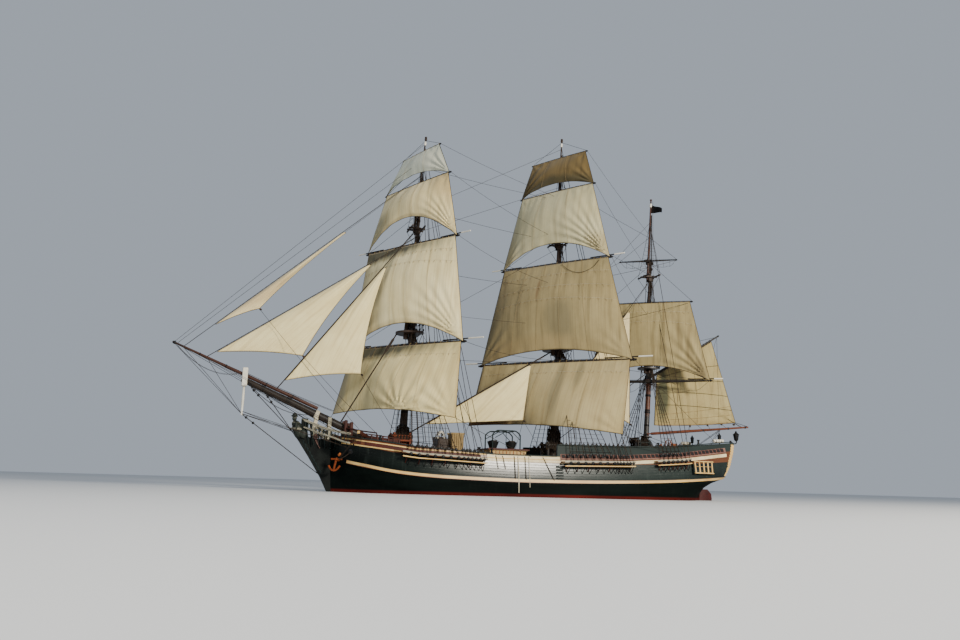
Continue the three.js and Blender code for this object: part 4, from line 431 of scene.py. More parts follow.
def canvas_material(name, base, shade, stain, streak=0.55, patches=()):
    """Sailcloth: seams between the cloths, weave, stains and darker edges, on a map in metres.

    Each patch is a soft area in another tone (stains, and on some sails painted light and shade): place and
    size by share of the sail, colour and strength.
    """
    n = Nodes(name)
    flat = n.node("UVMap", {}, uv_map="cloth")
    share_u, share_v, _ = n.split(n.node("UVMap", {}, uv_map="share"))
    seam = n.seams(n.split(flat)[0], 0.3, 0.455, 0.495)
    clouds = n.noise(0.55, 4, place=flat)
    streaks = n.noise(1.0, 4, place=flat, stretch=(3.2, 0.22, 1.0))
    weave = n.noise(60, 2, place=flat)
    tint = n.mix(n.step(clouds, 0.3, 0.72), base, shade)
    tint = n.mix(n.ramp(streaks, 0.0, streak, 0.5, 0.74), tint, stain)
    for patch_u, patch_v, wide, tall, tone, strength in patches:
        across = n.math("DIVIDE", n.minus(share_u, patch_u), wide)
        down = n.math("DIVIDE", n.minus(share_v, patch_v), tall)
        far = n.math("SQRT", n.plus(n.times(across, across), n.times(down, down)))
        far = n.plus(far, n.times(n.minus(streaks, 0.5), 0.9))
        tint = n.mix(n.ramp(far, strength, 0.0, 0.55, 1.05), tint, tone)
    tint = n.mix(n.times(seam, 0.33), tint, stain)
    rim = n.math("MAXIMUM", *[n.step(n.off_middle(share), 0.484, 0.493) for share in (share_u, share_v)])
    tint = n.mix(n.times(rim, 0.4), tint, stain)
    height = n.plus(n.plus(n.times(seam, 0.6), n.times(weave, 0.25)), n.times(rim, 0.8))
    looks = {"Base Color": tint, "Roughness": n.ramp(weave, 0.78, 0.95), "Sheen Weight": 0.15,
             "Specular IOR Level": 0.2}
    return n.finish(height, 0.35, 0.01, looks)


def sheer(name, x):
    return float(np.interp((x - STEM_X) / (STERN_X - STEM_X), SHEER_ALONG, SHEER[name]))


def above_wale(n, x, z):
    """Height over the wale's middle, in the model's metres."""
    highest = 4
    curve = n.tree.nodes.new("ShaderNodeFloatCurve")
    points = curve.mapping.curves[0].points
    for k, (along, wale) in enumerate(zip(SHEER_ALONG, SHEER["wale"])):
        if k < 2:
            points[k].location = (along, wale / highest)
        else:
            points.new(along, wale / highest)
    curve.mapping.update()
    share = n.math("DIVIDE", n.minus(x, STEM_X * SCALE), (STERN_X - STEM_X) * SCALE, clamp=True)
    n.fill(curve, {"Value": share})
    return n.minus(z, n.times(curve.outputs[0], highest * SCALE))


def wale_material():
    """The wale: a cream band between dark edges, with a red-brown line under it."""
    n = Nodes("wale_paint")
    x, _, z = n.split(n.place)
    above = above_wale(n, x, z)
    broad = n.noise(2.2, 4, stretch=(0.5, 1, 1))
    fine = n.noise(16)
    cream = n.mix(n.step(broad, 0.35, 0.7), "d2b06c", "b38a50")
    dark = n.mix(broad, "10100f", "2a2f2d")
    tint = n.mix(n.ramp(above, 1.0, 0.0, -0.078, -0.07), "5a2c1a", dark)
    tint = n.mix(n.step(above, -0.052, -0.046), tint, cream)
    tint = n.mix(n.step(above, 0.054, 0.062), tint, dark)
    return n.finish(fine, 0.2, 0.003, {"Base Color": tint, "Roughness": n.ramp(fine, 0.3, 0.5)})


def hull_material():
    """Slate-green planking above the wale, lightest amidships where a painted sheen stands in for reflected
    light, darker below the wale and at the bow, a red bottom and wooden decks.
    """
    n = Nodes("hull_planking")
    x, y, z = n.split(n.place)
    above = above_wale(n, x, z)
    joint = n.seams(above, 0.11, 0.43, 0.49)
    broad = n.noise(0.8, 5, 0.65, stretch=(0.35, 1.0, 1.6))
    streak = n.noise(2.0, 4, stretch=(2.6, 1.0, 0.25))
    fine = n.noise(14, stretch=(0.4, 1.0, 2.0))
    patchy = n.step(broad, 0.3, 0.7)
    dark = n.mix(n.step(broad, 0.35, 0.7), "060908", "0f1513")
    slate = n.mix(patchy, "1a2322", "2a3330")
    # Painted sheen: the slate shows fully only above the wale amidships and fades towards the bow and the
    # stern, standing in for the light reflected there
    slate_and_sheen = n.times(n.step(x, -7.5, -1.0), n.step(above, 0.0, 0.14))
    slate_and_sheen = n.times(slate_and_sheen, n.ramp(x, 1.0, 0.6, 2.5, 8.0))
    slate_and_sheen = n.math("MAXIMUM", slate_and_sheen, n.ramp(x, 0.0, 0.06, -8.0, 2.0))
    side = n.mix(slate_and_sheen, dark, slate)
    pale_streak = n.times(n.ramp(streak, 0.0, 0.22, 0.55, 0.8), n.ramp(above, 0.1, 1.0, -0.1, 0.0))
    side = n.mix(pale_streak, side, "4a554f")
    side = n.mix(n.times(joint, 0.4), side, "090c0c")
    side = n.mix(n.step(above, 0.74, 0.76), side, n.mix(patchy, "4b2a1c", "66402a"))
    side = n.mix(n.ramp(z, 1.0, 0.0, 0.1, 0.15), side, n.mix(patchy, "36110f", "561b17"))
    deck = n.mix(n.noise(2.0, 4, stretch=(0.2, 1, 1)), "8a6f4c", "b39a70")
    deck = n.mix(n.times(n.seams(y, 0.075, 0.42, 0.48), 0.7), deck, "2b2119")
    facing = n.step(n.split(n.node("NewGeometry", {}, "Normal"))[2], 0.7, 0.8)
    glossy = n.plus(n.ramp(fine, 0.2, 0.36), n.ramp(above, 0.32, 0.0, -0.14, -0.06))
    height = n.plus(n.minus(n.times(fine, 0.25), joint), n.times(broad, 4.0))
    gloss = n.times(n.ramp(above, 0.05, 0.5, -0.1, 0.0), n.ramp(x, 0.2, 1.0, -6.5, -1.8))
    gloss = n.times(gloss, n.ramp(x, 1.0, 0.4, -0.3, 3.5))
    looks = {
        "Base Color": n.mix(facing, side, deck),
        "Roughness": n.node("Mix", {0: facing, 2: glossy, 3: 0.7}),
        "Specular IOR Level": n.times(gloss, n.ramp(above, 0.35, 1.1, 0.1, 0.55)),
    }
    return n.finish(height, 0.5, 0.004, looks)


def mast_material(name, low, high, from_z, to_z):
    """Painted wood that is dark at the foot and head, and red-brown between."""
    n = Nodes(name)
    z = n.split(n.place)[2]
    broad = n.noise(2.0, 4, stretch=(1, 1, 0.3))
    fine = n.noise(20, stretch=(1, 1, 0.2))
    share = n.minus(n.step(z, from_z * SCALE, to_z * SCALE), n.step(z, 5.5, 5.7))
    tint = n.mix(share, n.mix(broad, low, "2c2724"), n.mix(broad, high, "43261a"))
    return n.finish(fine, 0.3, 0.003, {"Base Color": tint, "Roughness": n.ramp(fine, 0.35, 0.6)})


def knee_material():
    """The head: a dark knee amidships and dark posts, pale grey rails out at the sides."""
    n = Nodes("head_knee_paint")
    x, y, z = n.split(n.place)
    broad, fine = n.noise(3.0, 4), n.noise(22)
    patchy = n.step(broad, 0.35, 0.7)
    out = n.step(n.math("ABSOLUTE", y), 0.12, 0.14)
    share = n.times(out, n.step(n.plus(z, n.times(x, 0.36)), -1.29, -1.27))
    tint = n.mix(share, n.mix(patchy, "070a0a", "151a18"), n.mix(patchy, "a39e8b", "6e6a5c"))
    looks = {"Base Color": tint, "Roughness": n.ramp(fine, 0.55, 0.8), "Specular IOR Level": 0.1}
    return n.finish(n.plus(fine, n.times(broad, 3.0)), 0.5, 0.006, looks)


UPRIGHT, LENGTHWISE = (1, 1, 0.3), (0.4, 1, 1)
hull_paint = hull_material()
wale_paint = wale_material()
knee_paint = knee_material()
mizzen_paint = mast_material("mizzen_mast_paint", "1b1a1b", "6e3b22", 7.6, 8.4)
bulwark_paint = worn("bulwark_paint", "232d2b", "19211f", 0.42, scale=1.6, stretch=(0.5, 1, 1.6))
cream_paint = worn("cream_paint", "d2b374", "ac8852", 0.45, scale=2.2)
pale_paint = worn("pale_paint", "d8ccaa", "b3a078", 0.42, scale=2.2)
pink_paint = worn("pink_paint", "7d6056", "5d423b")
head_paint = worn("head_paint", "a5a08c", "726c5c", scale=4.0)
bottom_paint = worn("bottom_paint", "4c1816", "301110", 0.55, scale=1.5)
maroon_paint = worn("maroon_paint", "4c2119", "341612")
dark_spar = worn("dark_spar", "1a1817", "2c2622", 0.42, scale=2.5, stretch=UPRIGHT)
jib_spar = worn("jib_spar", "46291f", "2c1c17", 0.42, scale=2.5, stretch=LENGTHWISE)
brown_spar = worn("brown_spar", "693720", "4a2415", 0.42, scale=2.5, stretch=LENGTHWISE)
mast_paint = worn("mast_paint", "211c19", "3a2a20", 0.45, scale=2.0, stretch=UPRIGHT)
bright_wood = worn("bright_wood", "a05a2c", "7d3f1c", 0.42, stretch=UPRIGHT)
white_paint = worn("white_paint", "dcd8cc", "b9b3a2")
house_wood = worn("house_wood", "b39868", "8f7549", 0.6, stretch=(0.3, 1, 1))
orange_wood = worn("orange_wood", "9a4b1f", "6f3214", scale=4.0)
bow_red = worn("bow_red", "3f1d15", "2b130e", 0.55)
bitts_wood = worn("bitts_wood", "783513", "52230e", 0.55, scale=4.0)
iron = worn("black_iron", "17181a", "2b2a2a", 0.45, metal=0.75, scale=6.0)
rusty_iron = worn("rusty_iron", "8f421d", "522713", 0.75, metal=0.3, scale=6.0)
rope = worn("tarred_rope", "1c1815", "372c22", 0.85, scale=8.0, bump=0.6)
pale_rope = worn("pale_rope", "a08a61", "6f5a3b", 0.85, scale=8.0, bump=0.6)
flag_cloth = worn("black_bunting", "060607", "0e0d0f", 0.85, scale=4.0, bump=0.4)
flag_cloth.node_tree.nodes["Principled BSDF"].inputs["Specular IOR Level"].default_value = 0.02
dark_green = worn("dark_green_paint", "262f2e", "171f1f", 0.4, scale=2.5)
port_dark = worn("port_dark", "0d0e0f", "17181a", scale=4.0)
white_rope = worn("white_rope", "cfc8b4", "a39a82", 0.85, scale=9.0, bump=0.6)
green_figure = worn("carved_paint", "161b19", "2f332b", scale=6.0)
brass = worn("brass", "b08a43", "7a5b2a", 0.35, metal=0.9, scale=6.0)
glass = worn("dark_glass", "0c1114", "1a2226", 0.15, scale=4.0, bump=0.05, spread=0.05)
tan_cloth = worn("tan_cloth", "94805a", "786443", 0.85, bump=0.4)
canvas = canvas_material("canvas", "dbce9d", "c9b886", "9b8355")

# Each sail's canvas: cloth, shade, stain, strength of its streaks, and patches (place, size, tone, strength);
# some patches are painted shade and shadow
DARK_TAN, GREY_TAN, BROWN, HEAD_SHADOW, SMUDGE = "8f7c55", "8c8470", "5b3c20", "46432f", "5e5843"
CANVASES = {
    "fore_course": ("cfc18f", "bcab78", "8a7346", 0.55, (
        # Painted shade: a darker strip along the starboard leech
        (1.0, 0.55, 0.1, 0.8, GREY_TAN, 0.6),
        # Painted shadow: a dark band under the yard, widest on the starboard side, cast by the sail above
        (1.0, 0.0, 0.95, 0.24, HEAD_SHADOW, 1.0),
        (0.0, 0.4, 0.08, 0.9, DARK_TAN, 0.3),
    )),
    "fore_topsail": ("ded2a4", "cbbb8a", "998152", 0.55, (
        # Painted shade: a darker area along the starboard leech
        (1.0, 0.6, 0.14, 0.6, DARK_TAN, 0.5),
        # Painted shadow: a dark band under the yard, widest on the starboard side, cast by the sail above
        (1.0, 0.0, 0.95, 0.17, HEAD_SHADOW, 1.0),
        (0.66, 0.25, 0.04, 0.25, SMUDGE, 0.4),
        (0.72, 0.5, 0.05, 0.25, SMUDGE, 0.45),
        (0.8, 0.75, 0.08, 0.25, SMUDGE, 0.4),
        (0.4, 1.0, 0.6, 0.07, DARK_TAN, 0.3),
    )),
    "fore_topgallant_sail": ("ddcd9d", "cbb985", "927b4d", 0.55, (
        # Painted shade: a darker lower corner along the starboard leech
        (1.0, 0.8, 0.35, 0.4, "62604a", 0.7),
        (0.0, 0.1, 0.3, 0.45, "b08d58", 0.4),
        (0.5, 1.0, 0.7, 0.1, DARK_TAN, 0.45),
    )),
    "fore_royal": ("cacbb7", "b9baa4", "8c8d79", 0.55, (
        # Painted light: a greyer area on the port side stands for light seen through the thin cloth
        (0.15, 0.6, 0.25, 0.5, "b5b3a2", 0.4),
        (1.0, 1.0, 0.3, 0.5, "8d8f78", 0.5),
    )),
    "main_course": ("a69871", "96865e", "705d3c", 0.55, (
        (0.42, 0.45, 0.045, 0.6, SMUDGE, 0.6),
        (0.3, 0.2, 0.03, 0.3, SMUDGE, 0.45),
        # Painted shadow: a dark brown band at the starboard clew and foot, under the main staysail's foot
        (0.93, 1.0, 0.32, 0.12, BROWN, 0.95),
    )),
    "main_topsail": ("938560", "827450", "5e5032", 0.7, (
        (0.42, 0.66, 0.12, 0.3, SMUDGE, 0.55),
        (0.7, 0.95, 0.6, 0.16, DARK_TAN, 0.45),
        (0.6, 0.3, 0.015, 0.16, BROWN, 0.5),
        # Painted shade: a darker area along the starboard leech
        (1.0, 0.3, 0.12, 0.3, DARK_TAN, 0.4),
    )),
    "main_topgallant_sail": ("b2ac8b", "a39b77", "796b4d", 0.55, (
        (0.0, 0.9, 0.2, 0.25, DARK_TAN, 0.4),
        # Painted shade: a darker area at the starboard clew
        (1.0, 0.9, 0.14, 0.5, DARK_TAN, 0.4),
    )),
    "main_royal": ("6d5a34", "5e4e2d", "3c301a", 0.85, (
        (0.5, 1.05, 0.9, 0.42, "3c3722", 0.85),
        (1.0, 0.7, 0.25, 0.5, "473b22", 0.6),
    )),
    "mizzen_topsail": ("978a63", "837552", "5c4d2f", 0.75, (
        # Painted shade in folds: the next three dark streaks run down towards the port clew
        (0.19, 0.5, 0.035, 0.26, "5f5236", 0.5),
        (0.12, 0.72, 0.045, 0.26, "5f5236", 0.55),
        (0.06, 0.93, 0.045, 0.2, "4f432c", 0.65),
        (0.36, 0.75, 0.02, 0.25, "6a5c3e", 0.5),
        # Painted shadow: a darker area along the starboard leech, where the mizzen staysail's shadow falls
        (1.0, 0.6, 0.12, 0.6, DARK_TAN, 0.4),
    )),
    "spanker": ("9f9268", "8d7d53", "675634", 0.55, (
        # Painted shadow: a dark band along the luff
        (0.1, 0.42, 0.1, 0.62, "3c4030", 0.9),
        (0.4, 0.98, 0.5, 0.08, DARK_TAN, 0.5),
    )),
    "flying_jib": ("d8c99d", "c3b081", "8a734e", 0.55, ((0.5, 0.72, 0.8, 0.24, "a18a66", 0.55),)),
    "mizzen_staysail": ("cdbe95", "bdac80", "90794f"),
}
CLOTHS = {}
for name, row in CANVASES.items():
    CLOTHS[name] = canvas_material(name.removesuffix("_sail") + "_canvas", *row)

NODE_MATERIALS = {
    "hull": hull_paint, "quarterdeck_bulwark": bulwark_paint, "lower_wale": wale_paint,
    "head_knee": knee_paint,
    "figurehead": green_figure, "rudder": bottom_paint, "bowsprit": dark_spar, "jibboom": jib_spar,
    "dolphin_striker": white_paint, "anchor_port": rusty_iron, "anchor_starboard": rusty_iron,
    "spanker_boom": brown_spar, "deckhouse": house_wood, "deck_arch": dark_green,
    "mizzen_lower_mast": mizzen_paint, "mizzen_topgallant_mast": jib_spar,
    "fore_fife_rail": bitts_wood, "steering_wheel": bright_wood, "wheel_stand": bright_wood,
    "capstan": orange_wood, "stern_lantern": iron, "flag": flag_cloth, "fore_stay": rope,
    "fore_topmast_stay": rope, "main_stay": rope,
}
for name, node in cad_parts.items():
    plain = mast_paint if name.endswith("mast") else dark_spar
    if name.endswith(("sail", "jib", "course")):
        plain = canvas
    node.data.materials.clear()
    node.data.materials.append(NODE_MATERIALS.get(name, plain))
    shading = node.data.attributes.get("custom_normal")
    if shading:
        node.data.attributes.remove(shading)
    node.data.polygons.foreach_set("use_smooth", [True] * len(node.data.polygons))
    node.modifiers.new("weld", "WELD").merge_threshold = 0.00002
    node.modifiers.new("split", "EDGE_SPLIT").split_angle = 32 * DEGREE


# Places on masts and yards

def on_section(mast, section, z):
    (foot_x, foot_z), (head_x, head_z), _ = MASTS[mast][section]
    return between(foot_x, head_x, (z - foot_z) / (head_z - foot_z))


def radius_on(mast, section, z):
    (_, foot_z), (_, head_z), radii = MASTS[mast][section]
    return between(*radii, (z - foot_z) / (head_z - foot_z))


def mast_place(mast, section, z, side=0, share=0.9):
    return arr(on_section(mast, section, z), side * radius_on(mast, section, z) * share, z)


def yard_frame(name):
    yard = YARDS[name]
    angle = yard.brace * DEGREE
    across = arr(-math.sin(angle), math.cos(angle), 0)
    ahead = arr(-math.cos(angle), -math.sin(angle), 0)
    reach = radius_on(yard.mast, yard.section, yard.z) + yard.ahead_by
    return arr(on_section(yard.mast, yard.section, yard.z), 0, yard.z) + ahead * reach, across, ahead


def yard_radius(name, distance):
    share, knot = abs(distance) / (YARDS[name].length / 2), HEAD_SHARE / 2
    if share < knot:
        return YARDS[name].radius * (1 - 0.14 * share / knot)
    return YARDS[name].radius * (0.86 - 0.41 * (share - knot) / (1 - knot))


def on_yard(name, distance, ahead_by=0.0, up=0.0):
    centre, across, ahead = yard_frame(name)
    return centre + across * distance + ahead * ahead_by + arr(0, 0, up)


def yards_body(yard):
    return YARDS[yard].mast + "_yards"


# Sails

def fullness(u):
    return 1 - (2 * u - 1) ** 2


def drop(v):
    """Share of the belly at a share of the sail's height."""
    return math.sin(math.pi / 2 * v / 0.55) if v < 0.55 else 1 - 0.42 * ((v - 0.55) / 0.45) ** 2


def square_place(name):
    """The sail's surface as in the part: u runs to starboard and v down."""
    head, foot, share, belly, arch = SQUARE_SAILS[name]
    ahead = yard_frame(head)[2]
    if foot in YARDS:
        ahead = unit(ahead + yard_frame(foot)[2])

    def head_edge(u):
        distance = YARDS[head].length / 2 * HEAD_SHARE * (2 * u - 1)
        return on_yard(head, distance, yard_radius(head, distance) + SAIL_THICKNESS / 2 + 0.0016)

    def foot_edge(u):
        if foot not in YARDS:
            return between(arr(*foot), arr(*share), u)
        distance = YARDS[foot].length / 2 * share * (2 * u - 1)
        return on_yard(foot, distance, yard_radius(foot, distance) + SAIL_THICKNESS / 2)

    def place(u, v):
        spot = between(head_edge(u), foot_edge(u) + arr(0, 0, arch * fullness(u)), v)
        lee = LEE_BULGE.get(name, 0) * math.sin(math.pi * min(1, u / 0.7)) * v * v * (3 - 2 * v)
        return spot + ahead * (belly * max(fullness(u), 0) ** 0.8 * drop(v) + lee)
    return place


def staysail_place(name):
    stay, head_x, tack_x, clew, belly, gap, leech_hollow, foot_hollow = STAYSAILS[name]
    top, bottom, radius = STAYS[stay]
    top, bottom = arr(*top), arr(*bottom)
    run = unit(bottom - top)
    below = arr(-run[2], 0, run[0]) * math.copysign(1, -run[2])

    def on_luff(x):
        return between(top, bottom, (x - top[0]) / (bottom[0] - top[0])) + below * (radius + gap)
    head, tack = on_luff(head_x), on_luff(tack_x)

    def place(u, v):
        at_luff, at_leech = between(head, tack, v), between(head + arr(STAYSAIL_HEAD, 0, 0), arr(*clew), v)
        at_leech += unit(at_luff - at_leech) * leech_hollow * fullness(v)
        spot = between(at_luff, at_leech, u) + unit(head - tack) * foot_hollow * fullness(u) * v ** 3
        spot[1] -= belly * fullness(u) * math.sin(math.pi * min(1, 0.12 + 0.8 * v))
        return spot
    return place


AFT = arr(math.cos(SPANKER_ANGLE * DEGREE), -math.sin(SPANKER_ANGLE * DEGREE), 0)
ASIDE = arr(AFT[1], -AFT[0], 0)


def on_spanker(back, z):
    return arr(on_section("mizzen", "lower", z), 0, z) + AFT * back


def gaff_place(distance, lift=0.0):
    rise = GAFF_RISE * DEGREE
    return on_spanker(distance * math.cos(rise), GAFF_JAW) + arr(0, 0, distance * math.sin(rise) + lift)


def boom_place(distance, lift=0.0):
    rise = BOOM_RISE * DEGREE
    return on_spanker(distance * math.cos(rise), BOOM_JAW) + arr(0, 0, distance * math.sin(rise) + lift)


def spanker_place(u, v):
    head = between(gaff_place(SPANKER_THROAT, -0.13), gaff_place(GAFF_LENGTH * SPANKER_PEAK, -0.11), u)
    spot = between(head, between(on_spanker(*SPANKER_TACK), on_spanker(*SPANKER_CLEW), u), v)
    spot[2] -= SPANKER_SAG * fullness(u) * v
    return spot + ASIDE * SPANKER_BELLY * fullness(u) * math.sin(math.pi * v)


def wrinkle(u, v, width, height, folds, seed):
    """How far the cloth stands out: folds from the corners, between the head's lashings and along the foot."""
    out = 0.0
    for corner_u, corner_v, count, reach, size in folds:
        du, dv = (u - corner_u) * width, (v - corner_v) * height
        r = math.hypot(du, dv)
        fade = math.exp(-((r / reach) ** 2)) * min(1, r / 0.5)
        out += size * fade * math.sin(count * math.atan2(dv, du) + 1.7 * seed)
    out += 0.035 * math.exp(-v * 9) * math.sin(2 * math.pi * u * width / 1.25)
    out += 0.03 * math.exp(-(1 - v) * 11) * math.sin(2 * math.pi * u * width / 1.7 + seed)
    out += 0.055 * noise.noise(Vector((u * width * 0.45, v * height * 0.16, seed * 3.1)))
    out += 0.03 * noise.noise(Vector((u * width * 1.3, v * height * 0.4, seed * 5.7)))
    return out * min(1.0, 12 * v, 8 * min(u, 1 - u) + 0.2)


def lengths(grid, axis):
    return np.linalg.norm(np.diff(grid, axis=axis), axis=2)


def cloth_piece(name, place, columns, rows, folds, seed, body, strength=1.0):
    """A sail in the place of its solid, with its maps; gives its grid of points and their normals."""
    spots = np.array([[place(i / columns, j / rows) for i in range(columns + 1)] for j in range(rows + 1)])
    width, height = lengths(spots, 1).sum(1).max(), lengths(spots, 0).sum(0).max()
    normals = np.cross(np.gradient(spots, axis=1), np.gradient(spots, axis=0))
    normals /= np.maximum(np.linalg.norm(normals, axis=2, keepdims=True), 1e-9)
    out = [[wrinkle(i / columns, j / rows, width, height, folds, seed) * strength for i in range(columns + 1)]
           for j in range(rows + 1)]
    grid = spots + normals * np.array(out)[:, :, None]
    starts = [j * (columns + 1) + i for j in range(rows) for i in range(columns)]
    shape = Shape()
    shape.add(grid.reshape(-1, 3), [(a, a + 1, a + columns + 2, a + columns + 1) for a in starts])
    piece = shape.make(name + "_cloth", CLOTHS.get(name, canvas), body=None, angle=60)
    mesh = piece.data
    run, fall = np.zeros((2, rows + 1, columns + 1))
    run[:, 1:] = np.cumsum(lengths(grid, 1), axis=1)
    run -= run[:, columns // 2][:, None]
    fall[1:] = np.cumsum(lengths(grid, 0), axis=0)
    index = np.zeros(len(mesh.loops), int)
    mesh.loops.foreach_get("vertex_index", index)
    flat = np.stack([run.ravel()[index], fall.ravel()[index]], 1) * SCALE
    shares = np.stack([index % (columns + 1) / columns, index // (columns + 1) / rows], 1)
    mesh.uv_layers.new(name="cloth")
    mesh.uv_layers.new(name="share")
    mesh.uv_layers["cloth"].data.foreach_set("uv", flat.ravel())
    mesh.uv_layers["share"].data.foreach_set("uv", shares.ravel())
    thick = piece.modifiers.new("thickness", "SOLIDIFY")
    thick.thickness, thick.offset = 0.005, 0.0
    area = sum(p.area for p in mesh.polygons)
    wide, tall = width * SCALE, height * SCALE
    if area < 0.6 * wide * tall:
        wide = 2 * area / tall
    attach(piece, body)
    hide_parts(name)
    return grid, normals


# Folds that run out from a sail's corners: place by share, number, reach and height
PLAIN_FOLDS = [(0.0, 1.0, 13, 2.6, 0.075), (1.0, 1.0, 13, 3.0, 0.09)]
HEAD_FOLDS = [(0.0, 0.0, 9, 1.6, 0.05), (1.0, 0.0, 9, 1.6, 0.05)]
STAYSAIL_FOLDS = [(1.0, 1.0, 12, 2.0, 0.05), (0.0, 1.0, 10, 1.2, 0.03)]
SPANKER_FOLDS = [(1.0, 1.0, 12, 2.6, 0.08), (0.0, 0.5, 14, 1.6, 0.07)]
FOLDS = {
    "main_topgallant_sail": [(0.0, 1.0, 26, 4.2, 0.13), (1.0, 1.0, 13, 2.4, 0.07)],
    "fore_topsail": [(0.0, 1.0, 24, 4.0, 0.11), (1.0, 1.0, 15, 3.2, 0.1)],
    "fore_topgallant_sail": [(0.0, 1.0, 22, 3.0, 0.1), (1.0, 1.0, 11, 2.4, 0.07)],
    "mizzen_topsail": [(0.0, 1.0, 18, 4.5, 0.13), (1.0, 1.0, 15, 3.0, 0.09)],
    "fore_course": [(0.0, 1.0, 17, 3.6, 0.1), (0.35, 1.0, 15, 3.4, 0.09), (1.0, 1.0, 11, 2.5, 0.07)],
}
surfaces = {}
for number, (name, (head, *_)) in enumerate(SQUARE_SAILS.items()):
    folds = FOLDS.get(name, PLAIN_FOLDS) + HEAD_FOLDS
    surfaces[name] = cloth_piece(name, square_place(name), 72, 56, folds, number + 1, yards_body(head))
for number, name in enumerate(STAYSAILS):
    surfaces[name] = cloth_piece(name, staysail_place(name), 40, 64, STAYSAIL_FOLDS, number + 20, "ship",
                                 strength=0.8)
surfaces["spanker"] = cloth_piece("spanker", spanker_place, 56, 48, SPANKER_FOLDS, 31, "spanker_rig")


# Places on the hull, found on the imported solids

def node_points(name):
    return np.array([tuple(v.co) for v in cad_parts[name].data.vertices]) / SCALE


def node_tree(name):
    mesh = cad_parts[name].data
    return BVHTree.FromPolygons([v.co for v in mesh.vertices], [tuple(p.vertices) for p in mesh.polygons])


hull_tree, bulwark_tree = node_tree("hull"), node_tree("quarterdeck_bulwark")


def cast(start, direction, *trees):
    """The place and the normal where a ray first meets one of the trees, tried in turn."""
    for tree in trees:
        hit, normal, _, _ = tree.ray_cast(Vector(start) * SCALE, Vector(direction))
        if hit is not None:
            return arr(*hit) / SCALE, arr(*normal)
    return None, None


def hull_side(x, z, side=-1, out=0.0):
    """A place on the outside of the hull or its quarterdeck bulwark, moved outwards by out."""
    hit, normal = cast((x, side * 9, z), (0, -side, 0), hull_tree, bulwark_tree)
    return None if hit is None else hit + normal * out


def known(places):
    """The places that a ray has found."""
    return [place for place in places if place is not None]


def stern_place(y, z):
    return cast((25, y, z), (-1, 0, 0), hull_tree, bulwark_tree)


def deck_at(x, y=0.0):
    return cast((x, y, 9), (0, 0, -1), hull_tree)[0][2]


def rail_place(height, x, side, below, inward=0.0, lift=0.0):
    """A place near the top of the side at x, found at a depth below a sheer line."""
    z = sheer(height, x)
    place = hull_side(x, z - below, side)
    return None if place is None else arr(x, place[1] - side * inward, z + lift)


# Standing rigging

CHANNELS = {"fore": (-13.6, -6.5), "main": (0.35, 7.2), "mizzen": (9.45, 13.1)}

# Feet of each mast's lower shrouds (first x, last x, number) and of its backstays
SHROUDS = {"fore": (-12.9, -9.0, 7), "main": (0.95, 5.1, 7), "mizzen": (10.1, 12.0, 5)}
BACKSTAYS = {
    "fore": (-8.55, -8.2, -7.85, -7.5, -7.15, -6.8),
    "main": (5.4, 5.7, 6.0, 6.35, 6.65, 6.95),
    "mizzen": (12.45, 12.85),
}
LIGHT, RATLINE_STEP = 0.013, 0.39


def channel_edge(x, side):
    return hull_side(x, sheer("rail", x) + 0.02, side)


def chain_plate(rig, x, side, shift):
    """The iron from the hull to a channel's edge; gives the place of the lower deadeye."""
    edge = channel_edge(x, side)
    low = edge + arr(0, side * 0.07, -0.08)
    foot = hull_side(x + shift, sheer("rail", x) - 0.95, side, 0.03)
    rig.tube([foot, edge + arr(0, side * 0.07, -0.36), low], 0.03, 5, 1)
    return low


def ratlines(rig, lines, low_z, high_z, radius, lift=0.0):
    for z in np.arange(low_z, high_z, RATLINE_STEP):
        rig.tube([between(a, b, (z - a[2]) / (b[2] - a[2])) + arr(0, 0, lift) for a, b in lines], radius, 4)


def lower_shrouds(mast, side):
    rig, lines = Shape(), []
    top_z = MASTS[mast]["top_z"]
    first, last, count = SHROUDS[mast]
    for x in np.linspace(first, last, count):
        low = chain_plate(rig, x, side, -0.1)
        head = mast_place(mast, "lower", top_z - 0.05, side, 1.4) + arr(0.18 * (x - first) / 4, 0, 0)
        high = low + unit(head - low) * 0.75
        rig.rope(high, head, 0.032)
        rig.deadeye(low)
        rig.deadeye(high)
        for shift in (-0.05, 0.0, 0.05):
            rig.rope(low + arr(shift, 0, 0), high + arr(shift, 0, 0), 0.014, sides=4)
        lines.append((high, head))
    ratlines(rig, lines, lines[0][0][2] + 0.35, top_z - 1.4, LIGHT, -0.02)
    rig.tube([lines[0][0] + arr(-0.08, 0, 0.25), lines[-1][0] + arr(0.08, 0, 0.25)], 0.022, 5, 1)
    return rig


